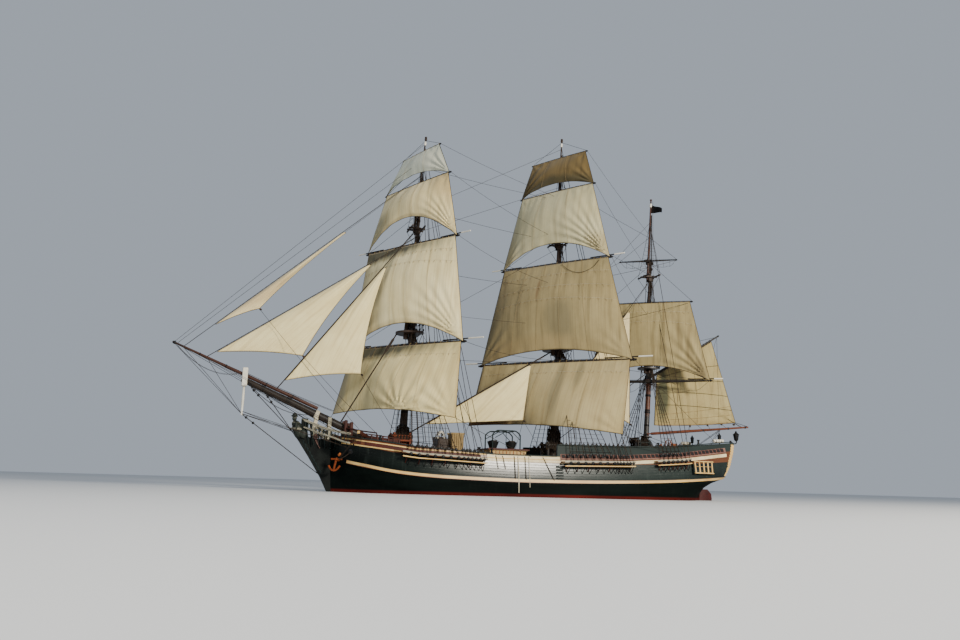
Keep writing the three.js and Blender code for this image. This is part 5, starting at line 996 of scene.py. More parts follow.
def upper_shrouds(mast, side):
    """Topmast and topgallant shrouds, the futtocks below the top, and the backstays."""
    rig, lines, arms = Shape(), [], []
    row = MASTS[mast]
    rim, top_z, trees_z, hounds = row["top_radius"], row["top_z"] + 0.16, row["trees_z"], row["hounds_z"]
    top_x = on_section(mast, "lower", row["top_z"]) - 0.1
    for k, dx in enumerate((-0.15, 0.12, 0.36, 0.6)):
        out = math.sqrt(1 - min(dx, 0) ** 2) * 0.95
        foot = arr(top_x + dx * rim, side * rim * out, top_z)
        head = mast_place(mast, "topmast", trees_z - 0.12, side, 1.3) + arr(0.06 * k, 0, 0)
        low, high = foot + arr(0, 0, 0.1), between(foot, head, 0.055)
        rig.rope(high, head, 0.024)
        rig.deadeye(low, 0.09)
        rig.deadeye(high, 0.09)
        rig.rope(low, high, sides=4)
        lines.append((high, head))
        under = mast_place(mast, "lower", row["top_z"] - 2.1, side, 1.1) + arr(0.1 * k - 0.1, side * 0.12, 0)
        rig.rope(foot - arr(0, 0, 0.12), under, 0.024)
    ratlines(rig, lines, top_z + 1.1, trees_z - 1.0, LIGHT * 0.85)
    middle_x = (on_section(mast, "topmast", trees_z) + on_section(mast, "topgallant", trees_z)) / 2
    head = mast_place(mast, "topgallant", hounds, side, 1.2)
    for dx, y in ((-0.55, 1.1), (0.55, 1.2)):
        arm = arr(middle_x + dx, side * y, trees_z + 0.08)
        rig.rope(arm, head, 0.018)
        rig.rope(arm - arr(0, 0, 0.12), mast_place(mast, "topmast", trees_z - 1.7, side, 1.1), 0.018)
        arms.append((arm, head))
    ratlines(rig, arms, trees_z + 0.9, hounds - 1.2, LIGHT * 0.75)
    topmast_z, truck_z = row["topmast"][1][1] - 1.9, row["topgallant"][1][1] - 0.9
    heads = (
        ("topmast", topmast_z, 1.2), ("topgallant", hounds, 1.2), ("topmast", topmast_z - 0.12, 1.2),
        ("topgallant", truck_z, 1.0), ("topmast", topmast_z - 0.25, 1.2), ("topgallant", hounds - 0.2, 1.2),
    )
    for x, (section, z, share) in zip(BACKSTAYS[mast], heads):
        head = mast_place(mast, section, z, side, share)
        low = chain_plate(rig, x, side, 0.05)
        high = low + unit(head - low) * 0.7
        rig.rope(high, head, 0.026)
        rig.rope(low, high, 0.024)
        rig.deadeye(low, 0.11)
        rig.deadeye(high, 0.11)
    return rig


for mast in MASTS:
    for word, side in SIDES.items():
        lower_shrouds(mast, side).make(f"{mast}_shrouds_{word}", rope, iron)
        upper_shrouds(mast, side).make(f"{mast}_upper_shrouds_{word}", rope, iron)

# Stays that carry no solid of their own: name, section of the upper mast, height, lower end, radius
for name, section, z, end, radius in (
        ("fore_topgallant_stay", "topgallant", 30.35, (-31.45, 0, 11.42), 0.016),
        ("fore_royal_stay", "topgallant", 31.9, (-31.7, 0, 11.5), 0.016),
        ("main_topmast_stay", "topmast", 23.45, (-12.05, 0.3, 14.35), 0.016),
        ("main_topgallant_stay", "topgallant", 29.6, (-11.95, 0.2, 23.3), 0.016),
        ("main_royal_stay", "topgallant", 33.6, (-11.85, 0, 25.5), 0.016),
        ("mizzen_stay", "lower", 12.1, (1.85, 0.35, 4.9), 0.035),
        ("mizzen_topgallant_stay", "topgallant", 27.3, (2.05, 0.0, 16.3), 0.016)):
    stay = Shape()
    stay.rope(mast_place(name.split("_")[0], section, z, np.sign(end[1]), 0.6), end, radius)
    stay.make(name, rope)


# Gear on the yards, which turns with them

def yard_gear(name):
    """Jackstay, lashings, footropes with stirrups, lifts and the boom's pale tips."""
    yard = YARDS[name]
    half, across = yard.length / 2, yard_frame(name)[1]
    gear = Shape()
    places = np.linspace(-0.95, 0.95, 15) * half
    gear.tube([on_yard(name, d, -0.02, yard_radius(name, d) + 0.035) for d in places], 0.016, 4, 1)
    for d in np.linspace(-0.93, 0.93, 15) * half:
        r = yard_radius(name, d)
        gear.tube([on_yard(name, d, 0, r * 0.5), on_yard(name, d, -0.02, r + 0.04)], 0.02, 4, 1)
    if name in [row[0] for row in SQUARE_SAILS.values()]:
        for d in np.linspace(-0.91, 0.91, int(yard.length * 1.5)) * half:
            r = yard_radius(name, d) + 0.035
            ring = [on_yard(name, d, ahead, up) for ahead, up in circle(arr(r, 0), arr(0, r), 8)]
            gear.tube(ring, 0.014, 4, 2, closed=True)
    hang = 0.95 if yard.length > 7 else 0.6
    for side in (-1, 1):
        outer = on_yard(name, side * half * 0.95, -yard_radius(name, half) - 0.02)
        inner = on_yard(name, side * 0.35, -yard.radius - 0.1, -0.12)
        path = []
        for t in np.linspace(0, 1, 13):
            sag = hang * min(1, 4.5 * t, 4.5 * (1 - t)) * (0.85 + 0.15 * abs(math.sin(3 * math.pi * t)))
            path.append(between(outer, inner, t) - arr(0, 0, sag))
        gear.tube(path, LIGHT, 4)
        for k in (3, 6, 9):
            d = side * half * 0.95 * (1 - 0.93 * k / 12)
            gear.tube([on_yard(name, d, -yard_radius(name, d)), path[k]], LIGHT, 4)
        head_z = MASTS[yard.mast][yard.section][1][1]
        highest = head_z - (0.1 if yard.section == "lower" else 0.3)
        lift_z = min(yard.z + 2.6, highest) if yard.section == "topgallant" else highest
        lift = mast_place(yard.mast, yard.section, lift_z, side)
        gear.rope(on_yard(name, side * half * 0.985, 0, yard_radius(name, half) * 0.6), lift, 0.016)
        if yard.boom:
            inner, outer = [on_yard(name, side * (half + reach), -BOOM_BEHIND, yard.radius + BOOM_ABOVE)
                            for reach in (yard.boom * 0.12, yard.boom + 0.02)]
            outline = [(0, BOOM_RADIUS + 0.012), (np.linalg.norm(outer - inner), BOOM_RADIUS + 0.008)]
            gear.turned(inner, outer - inner, outline, 8, 3)
        ring_radius = yard_radius(name, half * 0.96) + 0.03
        gear.band(on_yard(name, side * half * 0.965 - 0.06), across, 0.12, ring_radius, 10, 1)
    for d in (-0.32, 0.32):
        gear.band(on_yard(name, d - 0.07), across, 0.14, yard_radius(name, d) + 0.025, 12, 1)
    return gear


for name in YARDS:
    yard_gear(name).make(name + "_gear", rope, iron, pale_rope, white_paint, body=yards_body(name))


# Lines on the sails: bolt ropes, reef points, buntlines and clewlines

def surface_point(name, u, v, out=0.0):
    grid, normals = surfaces[name]
    rows, columns = grid.shape[0] - 1, grid.shape[1] - 1
    i, j = min(max(u, 0), 1) * columns, min(max(v, 0), 1) * rows
    i0, j0 = min(int(i), columns - 1), min(int(j), rows - 1)
    upper, lower = [between(grid[row, i0], grid[row, i0 + 1], i - i0) for row in (j0, j0 + 1)]
    return between(upper, lower, j - j0) + normals[j0, i0] * out


def over_sail(name, start, end, out, count):
    """Places across a sail, from one place by share to another."""
    (u, v), (end_u, end_v) = start, end
    shares = np.linspace(0, 1, count)
    return [surface_point(name, between(u, end_u, t), between(v, end_v, t), out) for t in shares]


def bolt_rope(shape, name):
    grid = surfaces[name][0]
    head, leech, foot, luff = grid[0, ::2], grid[::2, -1], grid[-1, ::-2], grid[::-2, 0]
    shape.tube([*head, *leech[1:], *foot[1:], *luff[1:-1]], 0.022, 4, closed=True)


def front_of(name):
    """Which way the front of a square sail faces on its grid."""
    grid, normals = surfaces[name]
    middle = normals[grid.shape[0] // 2, grid.shape[1] // 2]
    return math.copysign(1, middle @ yard_frame(SQUARE_SAILS[name][0])[2])


REEF_BANDS = {
    "fore_topsail": (0.12, 0.25), "main_topsail": (0.13, 0.28, 0.43), "mizzen_topsail": (0.14, 0.3),
    "fore_course": (0.16,), "main_course": (0.16,),
}
for name, (head, *_) in SQUARE_SAILS.items():
    face, width = front_of(name), YARDS[head].length
    lines = Shape()
    bolt_rope(lines, name)
    for band in REEF_BANDS.get(name, ()):
        for side in (1, -1):
            lines.tube(over_sail(name, (0.01, band), (0.99, band), side * face * 0.02, 40), 0.006, 4, 2)
        for u in np.linspace(0.04, 0.96, int(width * 1.8)):
            sway = 0.012 * math.sin(37 * u + 3 * band)
            point = []
            for t in np.linspace(0, 1, 4):
                out = face * (0.035 + 0.01 * math.sin(9 * t))
                point.append(surface_point(name, u + sway * t, band + 0.028 * t, out))
            lines.tube(point, 0.011, 4, 1)
    for u in ((0.33, 0.67) if width < 9 else (0.24, 0.42, 0.58, 0.76)):
        shares = np.linspace(0.004, 0.995, 26)
        lines.tube([surface_point(name, u + 0.02 * (v - 0.5), v, face * 0.045) for v in shares], 0.007, 4, 1)
    for clew, inner in ((0.03, 0.3), (0.97, 0.7)):
        lines.tube(over_sail(name, (clew, 0.985), (inner, 0.01), -face * 0.06, 22), 0.009, 4, 1)
    if name == "main_topsail":
        loop = [surface_point(name, 0.42 - 0.34 * t, 0.02 + 0.5 * t * (1 - t), face * 0.07)
                for t in np.linspace(0, 1, 18)]
        lines.tube(loop, 0.02, 4)
    lines.make(name + "_lines", rope, pale_rope, white_rope, body=yards_body(head))
for name in (*STAYSAILS, "spanker"):
    lines = Shape()
    bolt_rope(lines, name)
    lines.make(name + "_bolt_rope", rope, body="spanker_rig" if name == "spanker" else "ship")

# The stays' own ropes with the sails' hanks, since the sails' pieces replace the solids that carry them
for name in ("flying_jib", "jib", "mizzen_staysail"):
    top, bottom, radius = STAYS[name]
    top, run = arr(*top), unit(arr(*bottom) - arr(*top))
    shape = Shape()
    shape.rope(top, bottom, radius * 0.8)
    place = staysail_place(name)
    for share in np.linspace(0.02, 0.98, 22):
        luff = place(0, share)
        on_stay = top + run * ((luff - top) @ run)
        shape.tube([on_stay - (luff - on_stay) * 0.5, luff + (luff - on_stay) * 0.4], 0.016, 4, 1)
    shape.make(name + "_stay", rope, iron)


# Ropes from bodies that turn to the ship

def blended_rope(name, a, b, radius, sag, body, count=24):
    """A rope from a body that turns to a place on the ship."""
    shape = Shape()
    shape.rope(a, b, radius, sag, count, sides=4)
    piece = shape.make(name, rope, body=None)
    start, end = [tuple(float(c) * SCALE for c in p) for p in (b, a)]
    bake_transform(piece)


# Braces, from the yardarms to the next mast or the ship's side: x, distance off the centreline, z, sag
BRACES = {
    "fore_yard": (1.5, 0.45, 12.4, 0.35),
    "fore_topsail_yard": (1.8, 0.35, 19.6, 0.5),
    "fore_topgallant_yard": (1.75, 0.3, 24.2, 0.35),
    "fore_royal_yard": (1.9, 0.25, 28.4, 0.2),
    "main_yard": (16.4, 3.75, 5.3, 0.2),
    "main_topsail_yard": (11.6, 0.3, 17.4, 0.4),
    "main_topgallant_yard": (11.75, 0.25, 22.0, 0.3),
    "main_royal_yard": (11.9, 0.2, 25.8, 0.2),
    "crossjack_yard": (2.4, 0.5, 12.6, 0.15),
    "mizzen_topsail_yard": (2.2, 0.35, 15.2, 0.2),
    "mizzen_topgallant_yard": (2.1, 0.3, 19.8, 0.2),
}
for yard, (x, y, z, sag) in BRACES.items():
    half = YARDS[yard].length / 2
    for word, side in SIDES.items():
        arm = on_yard(yard, side * half * 0.975, -yard_radius(yard, half) - 0.03)
        blended_rope(f"{yard}_brace_{word}", arm, arr(x, side * y, z), 0.016, sag, yards_body(yard))

# Sheets and tacks of the two courses; the fore course's tack goes to the head
for name, rope_name, clew, x in (
        ("fore_course", "port_sheet", 1, -2.4), ("fore_course", "starboard_tack", 2, -19.2),
        ("main_course", "port_sheet", 1, 12.2), ("main_course", "starboard_tack", 2, -6.4)):
    head, clew = SQUARE_SAILS[name][0], arr(*SQUARE_SAILS[name][clew])
    side = math.copysign(1, clew[1])
    end = arr(x, 1.35 * side, 5.1)
    if x > STEM_X:
        end = hull_side(x, sheer("top", x) - 0.1, side, 0.05)
    blended_rope(f"{name}_{rope_name}", clew, end, 0.02, 0.1, yards_body(head))


# The hull's mouldings, channels and openings

def stand(shape, x, y, size, top, slot=0, bevel=0.03):
    """A box from the deck up to a height."""
    foot = deck_at(x, y)
    shape.block((x, y, (foot + top) / 2), (*size, top - foot), slot=slot, bevel=bevel)


def side_panel(shape, x, low_z, high_z, side, out, size, slot=0, bevel=0.01, along=(1, 0, 0), up=None):
    """A block midway between two heights of the ship's side, which leans with it unless up is given."""
    low, high = hull_side(x, low_z, side), hull_side(x, high_z, side)
    if low is not None and high is not None:
        shape.block((low + high) / 2 + arr(0, side * out, 0), size, along, up or high - low, slot, bevel)


WAIST_X, QUARTER_X = -6.35, 0.35

# Painted mouldings: low and high edge over the rail's sheer line, first and last x, thickness, paint
MOULDINGS = {
    "rail_line": (-0.03, 0.07, -18.0, WAIST_X, 0.045, cream_paint),
    "red_band": (0.08, 0.37, -17.9, WAIST_X, 0.02, maroon_paint),
    "upper_line": (0.365, 0.455, -18.0, WAIST_X, 0.05, cream_paint),
    # The waist band is pale paint and also painted reflection: it stands in for the bright light reflected
    # along the waist
    "waist_band": (-0.06, 0.45, WAIST_X, QUARTER_X, 0.03, pale_paint),
    "waist_moulding": (0.17, 0.23, WAIST_X, QUARTER_X, 0.06, cream_paint),
    "quarter_band": (-0.13, 0.15, QUARTER_X, 17.65, 0.03, pale_paint),
    "quarter_line": (0.24, 0.33, QUARTER_X, 17.6, 0.04, pink_paint),
    "opening_band": (0.33, 0.69, QUARTER_X, 17.5, 0.02, pink_paint),
}
for name, (low, high, x_from, x_to, thickness, paint) in MOULDINGS.items():
    moulding = Shape()
    for side in SIDES.values():
        rings, inner, outer = [], arr(0, side * -0.03, 0), arr(0, side * thickness, 0)
        for x in np.arange(x_from, x_to, 0.55):
            a, b = [hull_side(x, sheer("rail", x) + edge, side) for edge in (low, high)]
            if a is not None and b is not None:
                rings.append([a + inner, a + outer, b + outer, b + inner])
        moulding.skin(rings, flip=side > 0)
    moulding.make(name, paint, angle=30)

# A cap runs along the top of the bulwarks and round the stern
cap = Shape()
for side in SIDES.values():
    low_rail = [rail_place("top", x, side, 0.06, 0.12, 0.03) for x in np.linspace(-17.9, 0.0, 40)]
    high_rail = [rail_place("bulwark", x, side, 0.08, 0.1, 0.04) for x in np.linspace(0.25, 18.0, 36)]
    cap.boards(low_rail, 0.4, 0.09, 0.01)
    cap.boards(known(high_rail), 0.38, 0.08, 0.01)
cap.make("rail_caps", dark_green, angle=30)

# A row of openings between maroon posts under the quarterdeck's bulwark: each opening is a dark panel, painted
# shade that stands for its shaded inside
ports = Shape()
for x, side in product(np.arange(0.6, 17.3, 0.42), SIDES.values()):
    z = sheer("rail", x) + 0.5
    for out, size, slot in ((0.03, (0.35, 0.06, 0.34), 1), (0.04, (0.28, 0.06, 0.27), 0)):
        side_panel(ports, x, z - 0.16, z + 0.16, side, out, size, slot, along=(1, 0, 0.02))
ports.make("quarterdeck_openings", port_dark, maroon_paint, angle=30)

# Channels: a pale edge on each, a second board under it, and brackets
channels = Shape()
for (x_from, x_to), side in product(CHANNELS.values(), SIDES.values()):
    edge = [channel_edge(x, side) for x in np.linspace(x_from + 0.05, x_to - 0.05, 12)]
    channels.boards(edge, 0.04, 0.15, 0.01, (0, side * 0.02, 0.03), slot=2, bevel=0.01)
    for a, b in zip(edge[:-1], edge[1:]):
        long, (x, y, z) = np.linalg.norm(b - a) + 0.01, (a + b) / 2
        root = hull_side(x, z - 0.36, side)[1]
        reach = abs(y - root) + 0.14
        board = (root + side * (reach / 2 - 0.05), reach, 0.07)
        lip = (root + side * (reach - 0.04), 0.05, 0.09)
        for (y, wide, high), slot, bevel in ((board, 1, 0.01), (lip, 0, 0.012)):
            channels.block((x, y, z - 0.34), (long, wide, high), b - a, slot=slot, bevel=bevel)
    for x in np.linspace(x_from + 0.4, x_to - 0.4, 7):
        outer, inner = channel_edge(x, side), hull_side(x, sheer("rail", x) - 0.8, side)
        channels.tube([outer - arr(0, side * 0.1, 0.42), inner], 0.045, 4, 1)
channels.make("channel_edges", cream_paint, maroon_paint, head_paint, angle=30)

# Steps up the side
steps = Shape()
for side in SIDES.values():
    for place in known([hull_side(0.15, z, side) for z in np.arange(1.62, 2.75, 0.24)]):
        steps.block(place + arr(0, side * 0.07, 0), (0.62, 0.16, 0.11))
steps.make("side_steps", dark_green, port_dark, angle=30)

# Quarter galleries: posts, panes with a bar, and sills
gallery = Shape()
for side in SIDES.values():
    for x in np.linspace(13.5, 15.35, 5):
        side_panel(gallery, x, 2.55, 3.46, side, 0.03, (0.13, 0.08, 0.95), bevel=0.015)
    for x in np.linspace(13.73, 15.12, 4):
        side_panel(gallery, x, 2.75, 3.36, side, 0.012, (0.28, 0.04, 0.56), 1)
        side_panel(gallery, x, 2.75, 3.36, side, 0.035, (0.29, 0.03, 0.03), bevel=0.006, up=UP)
    for z, high in ((2.48, 0.11), (3.5, 0.1)):
        sill = known([hull_side(x, z, side) for x in (13.42, 15.43)])
        gallery.boards(sill, 0.16, high, 0.1, (0, side * 0.05, 0))
gallery.make("quarter_galleries", cream_paint, glass, angle=30)

# The stern: windows with their frames, and mouldings
stern = Shape()
for y in (-2.2, -1.1, 0.0, 1.1, 2.2):
    place, normal = stern_place(y, 3.35)
    up = unit(np.cross((0, 1, 0), normal))
    up *= math.copysign(1, up[2])
    stern.block(place + normal * 0.02, (0.74, 0.08, 0.82), (0, 1, 0), normal, bevel=0.015)
    stern.block(place + normal * 0.05, (0.6, 0.68, 0.06), (0, 1, 0), normal, 1, 0.01)
    bars = [((0.035, 0.68, 0.03), arr(0, shift, 0)) for shift in (-0.15, 0.15)]
    bars += [((0.6, 0.03, 0.03), up * shift) for shift in (-0.17, 0.0, 0.17)]
    for size, shift in bars:
        stern.block(place + normal * 0.085 + shift, size, (0, 1, 0), normal, bevel=0.005)
for z, slot in ((2.75, 2), (4.15, 2), (4.75, 2), (5.35, 0)):
    hits = [stern_place(y, z) for y in np.linspace(-3.35, 3.35, 15)]
    path = [place + normal * 0.02 for place, normal in hits if place is not None]
    if len(path) > 2:
        stern.tube(path, 0.05, 6, slot)
stern.make("stern_windows", cream_paint, glass, maroon_paint, angle=30)


def stern_corner(z, side):
    """The place furthest aft on the ship's side at a height."""
    low, high = 14.0, 20.0
    for _ in range(16):
        middle = (low + high) / 2
        low, high = (low, middle) if hull_side(middle, z, side) is None else (middle, high)
    return hull_side(low - 0.04, z, side)


trim = Shape()
for side in SIDES.values():
    corner = known([stern_corner(z, side) for z in np.linspace(2.12, 5.2, 14)])
    for a, b in zip(corner[:-1], corner[1:]):
        centre = (a + b) / 2 + arr(-0.12, side * 0.02, 0)
        trim.block(centre, (0.3, 0.07, np.linalg.norm(b - a) + 0.02), up=b - a, bevel=0.015)
trim.make("stern_trim", cream_paint, angle=30)

# Rudder irons, which follow the rake of the sternpost
irons = Shape()
for z, side in product((-2.9, -1.5, -0.1), SIDES.values()):
    irons.block((17.08 + 0.1256 * (z + 3.9), side * 0.155, z), (1.0, 0.03, 0.12), (1, 0, 0.02), bevel=0.01)
irons.make("rudder_irons", iron, body="rudder_blade", angle=30)


# The bow: heel and end of each spar on the centreline, and the foot of the dolphin striker

BOWSPRIT = arr(-14.9, 0, 4.16), arr(-26.2, 0, 8.88)
JIBBOOM = arr(-19.9, 0, 6.79), arr(-31.8, 0, 11.54)
STRIKER_FOOT = arr(-25.98, 0, 5.94)


def on_spar(spar, x, y=0.0, up=0.0):
    heel, end = spar
    return between(heel, end, (x - heel[0]) / (end[0] - heel[0])) + arr(0, y, up)


# Bobstays with their deadeyes, martingale stays, guys, footropes and lifelines
bow = Shape()
for low, high in (((-19.5, 0, 1.41), (-25.93, 0, 5.98)), ((-21.05, 0, 4.0), (-25.4, 0, 8.2)),
                  ((-20.75, 0, 3.4), (-24.2, 0, 7.75))):
    bow.rope(low, high, 0.035)
    for t in (0.86, 0.95):
        bow.deadeye(between(arr(*low), arr(*high), t) + arr(0, 0.001, 0), 0.11)
for x in (-31.6, -30.9, -29.0):
    bow.rope(STRIKER_FOOT + arr(0, 0, 0.08), on_spar(JIBBOOM, x, 0, -0.08))
for side in SIDES.values():
    for start, x, z, radius in (
            (STRIKER_FOOT + arr(0, 0.05 * side, 0.1), -17.9, 3.8, 0.022),
            (STRIKER_FOOT + arr(0, 0.05 * side, 0.3), -17.6, 3.6, 0.018),
            (on_spar(BOWSPRIT, -25.9, 0.2 * side), -16.9, 4.0, 0.026),
            (on_spar(JIBBOOM, -31.6, 0.06 * side), -16.6, 4.15, 0.018),
            (on_spar(JIBBOOM, -30.2, 0.06 * side), -16.4, 4.2, 0.016)):
        bow.rope(start, hull_side(x, z, side, 0.05), radius)
    for spar, x_from, x_to in ((JIBBOOM, -31.4, -26.6), (BOWSPRIT, -25.6, -20.4)):
        start, end = on_spar(spar, x_from, 0.1 * side, -0.12), on_spar(spar, x_to, 0.3 * side, -0.2)
        bow.rope(start, end, 0.014, 0.75, 12)
    start, end = on_spar(BOWSPRIT, -25.8, 0.28 * side, 0.62), on_spar(BOWSPRIT, -18.6, 0.3 * side, 0.95)
    bow.rope(start, end, 0.018, 0.08, 8)
spots = node_points("fore_stay")
top, bottom = [spots[np.abs(spots[:, 2] - z) < 0.2].mean(0) for z in (spots[:, 2].max(), spots[:, 2].min())]
bow.tube([between(top, bottom, t) for t in (0.05, 0.07, 0.19, 0.22)], [0.06, 0.11, 0.11, 0.06], 8)
bow.make("bow_stays", rope, iron)

net = Shape()
for side in SIDES.values():
    tops = [on_spar(BOWSPRIT, x, 0.12 * side, -0.3) for x in np.linspace(-25.4, -20.6, 17)]
    lows = [p + arr(0, side * (0.95 - 0.2 * abs(k / 8 - 1)), 0.1) for k, p in enumerate(tops)]
    for k in range(16):
        net.tube([tops[k], lows[k + 1]], 0.009, 3)
        net.tube([lows[k], tops[k + 1]], 0.009, 3)
    net.tube(lows, 0.016, 4)
    for t in (0.33, 0.66):
        net.tube([between(a, b, t) for a, b in zip(tops, lows)], 0.009, 3)
net.make("bowsprit_net", rope)

# Gammoning, hoops and the pale bees of the bowsprit, and hoops on the jibboom
bands = Shape()
run = unit(BOWSPRIT[1] - BOWSPRIT[0])
for k in range(4):
    spot = on_spar(BOWSPRIT, -19.85 - 0.075 * k)
    bands.turned(spot - run * 0.04, run, [(0, 0.36), (0.02, 0.39), (0.06, 0.39), (0.08, 0.36)], 16)
    for side in SIDES.values():
        bands.tube([spot + arr(0, 0.3 * side, -0.1), arr(-20.05 - 0.05 * k, 0.2 * side, 4.35)], 0.035)
hoops = [(x - 0.1 * k, wide) for x, wide in ((-16.2, 0.36), (-22.3, 0.33), (-24.4, 0.3)) for k in range(3)]
for x, wide in hoops + [(x, 0.36) for x in (-19.2, -18.9, -18.6)]:
    bands.band(on_spar(BOWSPRIT, x) - run * 0.03, run, 0.06, wide, 14, 1)
for x, wide in ((-22.0, 0.19), (-24.2, 0.18), (-27.5, 0.16), (-29.6, 0.13)):
    bands.band(on_spar(JIBBOOM, x), run, 0.07, wide, 12, 1)
bands.turned(on_spar(JIBBOOM, -31.55), run, [(0, 0.11), (0.05, 0.13), (0.2, 0.12), (0.24, 0.05)], 12, 1)
bands.block((-25.98, 0, 9.05), (0.42, 0.76, 1.5), slot=2, bevel=0.04)
bands.make("bowsprit_bands", white_rope, iron, white_paint)


def cathead_foot(side):
    return hull_side(-16.35, sheer("top", -16.35) - 0.1, side)


# Knightheads, the rail round the bow and the catheads
BOW_RAIL = ((-17.55, 0.62, 5.25), (-17.2, 1.3, 5.15), (-16.4, 2.35, 4.95), (-15.4, 3.2, 4.8))
heads = Shape()
for side in SIDES.values():
    for x, y, top in ((-17.55, 0.62, 5.9), (-17.1, 0.75, 5.75)):
        stand(heads, x, side * y, (0.26, 0.24), top, bevel=0.04)
    rail = [(x, side * y, z) for x, y, z in BOW_RAIL]
    heads.tube(rail, 0.06, 6, 1)
    for x, y, z in rail[1:]:
        heads.tube([(x, y * 0.95, deck_at(x, y * 0.93)), (x, y, z)], 0.045, 6, 1)
    foot = cathead_foot(side)
    start, end = foot + arr(0.5, -0.9 * side, 0.2), foot + arr(-0.75, 1.05 * side, 0.55)
    heads.boards([start, end], 0.26, 0.28, bevel=0.03)
    heads.block(end + unit(end - start) * 0.02, (0.05, 0.2, 0.22), end - start, slot=2)
heads.make("knightheads", bow_red, bow_red, cream_paint, angle=30)

tackle = Shape()
for side in SIDES.values():
    beam_end = cathead_foot(side) + arr(-0.7, side * 0.98, 0.42)
    ring = hull_side(-17.75, 2.75, side, 0.5)
    tackle.rope(beam_end, ring + arr(0.05, 0, 0.1), 0.022)
    tackle.rope(beam_end + arr(0.1, 0, 0), ring + arr(0.12, 0, 0.1), 0.022)
    tackle.pulley(ring + arr(0.02, 0, 0.32), beam_end - ring, 0.17, 1)
    hawse = hull_side(-17.3, 3.25, side, 0.02)
    outline = [(0, 0.2), (0.05, 0.21), (0.07, 0.16)]
    tackle.turned(hawse - arr(0, side * 0.02, 0), (-0.5, side * 0.86, 0), outline, 14, 2)
    tackle.rope(hawse + arr(0, side * 0.05, 0), ring + arr(-0.05, 0, -0.05), 0.035, 0.1, 8)
tackle.make("anchor_tackle", rope, bright_wood, iron)

# Rails of the head: x, distance off the centreline, height of the lower and of the upper rail
HEAD_RAILS = arr(
    (-21.05, 0.14, 5.2, 5.75), (-20.6, 0.45, 5.05, 5.61), (-19.9, 0.9, 4.77, 5.29), (-19.2, 1.45, 4.53, 5.01),
    (-18.6, 2.0, 4.3, 4.85), (-18.1, 2.45, 4.08, 4.74), (-17.5, 2.9, 3.92, 4.62),
)


def on_head_rails(t, side):
    """Places on the lower and the upper rail at a share of their length."""
    step = t * (len(HEAD_RAILS) - 1)
    x, y, low, high = [np.interp(step, range(len(HEAD_RAILS)), column) for column in HEAD_RAILS.T]
    return arr(x, side * y, low), arr(x, side * y, high)


# Timbers of the head: pale upper rail, dark balusters and ribs, grating, and the scroll under the figure
head_work = Shape()
for side in SIDES.values():
    cap = [on_head_rails(t, side)[1] + arr(0, 0, 0.085) for t in np.linspace(0, 1, 22)]
    head_work.boards(cap, 0.2, 0.07, 0.02, bevel=0.015)
    for t in np.linspace(0.08, 0.96, 13):
        head_work.tube(on_head_rails(t, side), 0.04, 6, 1)
    for t in np.linspace(0.12, 0.8, 7):
        a = on_head_rails(t, side)[0]
        head_work.tube([a, arr(a[0] + 0.25, side * 0.2, 3.9 - 0.8 * t)], 0.05, 5, 1)
for x in np.linspace(-20.6, -18.9, 11):
    _, y, z = on_head_rails((x + 21.05) / 3.55, 1)[0]
    head_work.block((x, 0, z + 0.1), (0.07, 2 * (y - 0.1), 0.06), slot=2, bevel=0.01)
curl = [(0.55 * k, 0.22 * (1 - k / 26)) for k in range(22)]
for side in SIDES.values():
    scroll = [(-19.9 + r * math.cos(angle), side * 0.24, 4.42 + r * math.sin(angle)) for angle, r in curl]
    head_work.tube(scroll, [0.085 * (1 - k / 28) for k in range(22)], 6, 3)
    leaf = [(x, side * 0.24, z) for x, z in ((-19.9, 4.2), (-19.7, 3.85), (-19.55, 3.5))]
    head_work.tube(leaf, [0.1, 0.09, 0.03], 6, 3)
    for k in range(9):
        x, z = -21.0 + 0.19 * k, 4.0 - 0.3 * k
        leaf = [(x + dx, side * 0.2, z + dz) for dx, dz in ((0, 0.18), (0.13, 0.02), (0.12, -0.2))]
        head_work.tube(leaf, [0.03, 0.075, 0.02], 5, 1)
head_work.make("head_timbers", head_paint, dark_green, house_wood, pink_paint, angle=30)


# Deck gear

def bitts(x, half, wide, top, panel=False):
    """Four posts, rails with pins, and coils that hang from them."""
    gear, ends, sides = Shape(), (-half, half), (-wide, wide)
    pin = [(0, 0.02), (0.2, 0.035), (0.24, 0.02), (0.42, 0.035)]
    for dx, y in product(ends, sides):
        stand(gear, x + dx, y, (0.18, 0.18), top + 0.14)
    for y in sides:
        gear.block((x, y, top - 0.12), (2 * half + 0.5, 0.16, 0.12))
        if panel:
            stand(gear, x, y, (2 * half, 0.06), top - 0.2)
    for dx in ends:
        gear.block((x + dx, 0, top - 0.2), (0.16, 2 * wide + 0.4, 0.12))
        if panel:
            stand(gear, x + dx, 0, (0.06, 2 * wide), top - 0.2)
    for y in sides:
        for k, dx in enumerate(np.linspace(-half - 0.1, half + 0.1, 7)):
            gear.turned((x + dx, y, top - 0.3), UP, pin, 6, 1)
            gear.hank((x + dx, y * 1.12, top + 0.02), 0.62 + 0.12 * math.sin(5 * k), 2, k, 0.11)
    for dx in ends:
        for k, y in enumerate(np.linspace(-wide * 0.7, wide * 0.7, 4)):
            gear.hank((x + dx * 1.12, y, top - 0.04), 0.6, 2, 3 * k, 0.11)
    return gear


bitts(-12.72, 0.68, 0.72, 4.95, True).make("fore_bitts", bitts_wood, dark_spar, rope, angle=30)
bitts(1.38, 0.62, 0.75, 4.75).make("main_bitts", dark_spar, mast_paint, rope, angle=30)
bitts(10.7, 0.5, 0.55, 5.35).make("mizzen_bitts", dark_green, mast_paint, rope, angle=30)

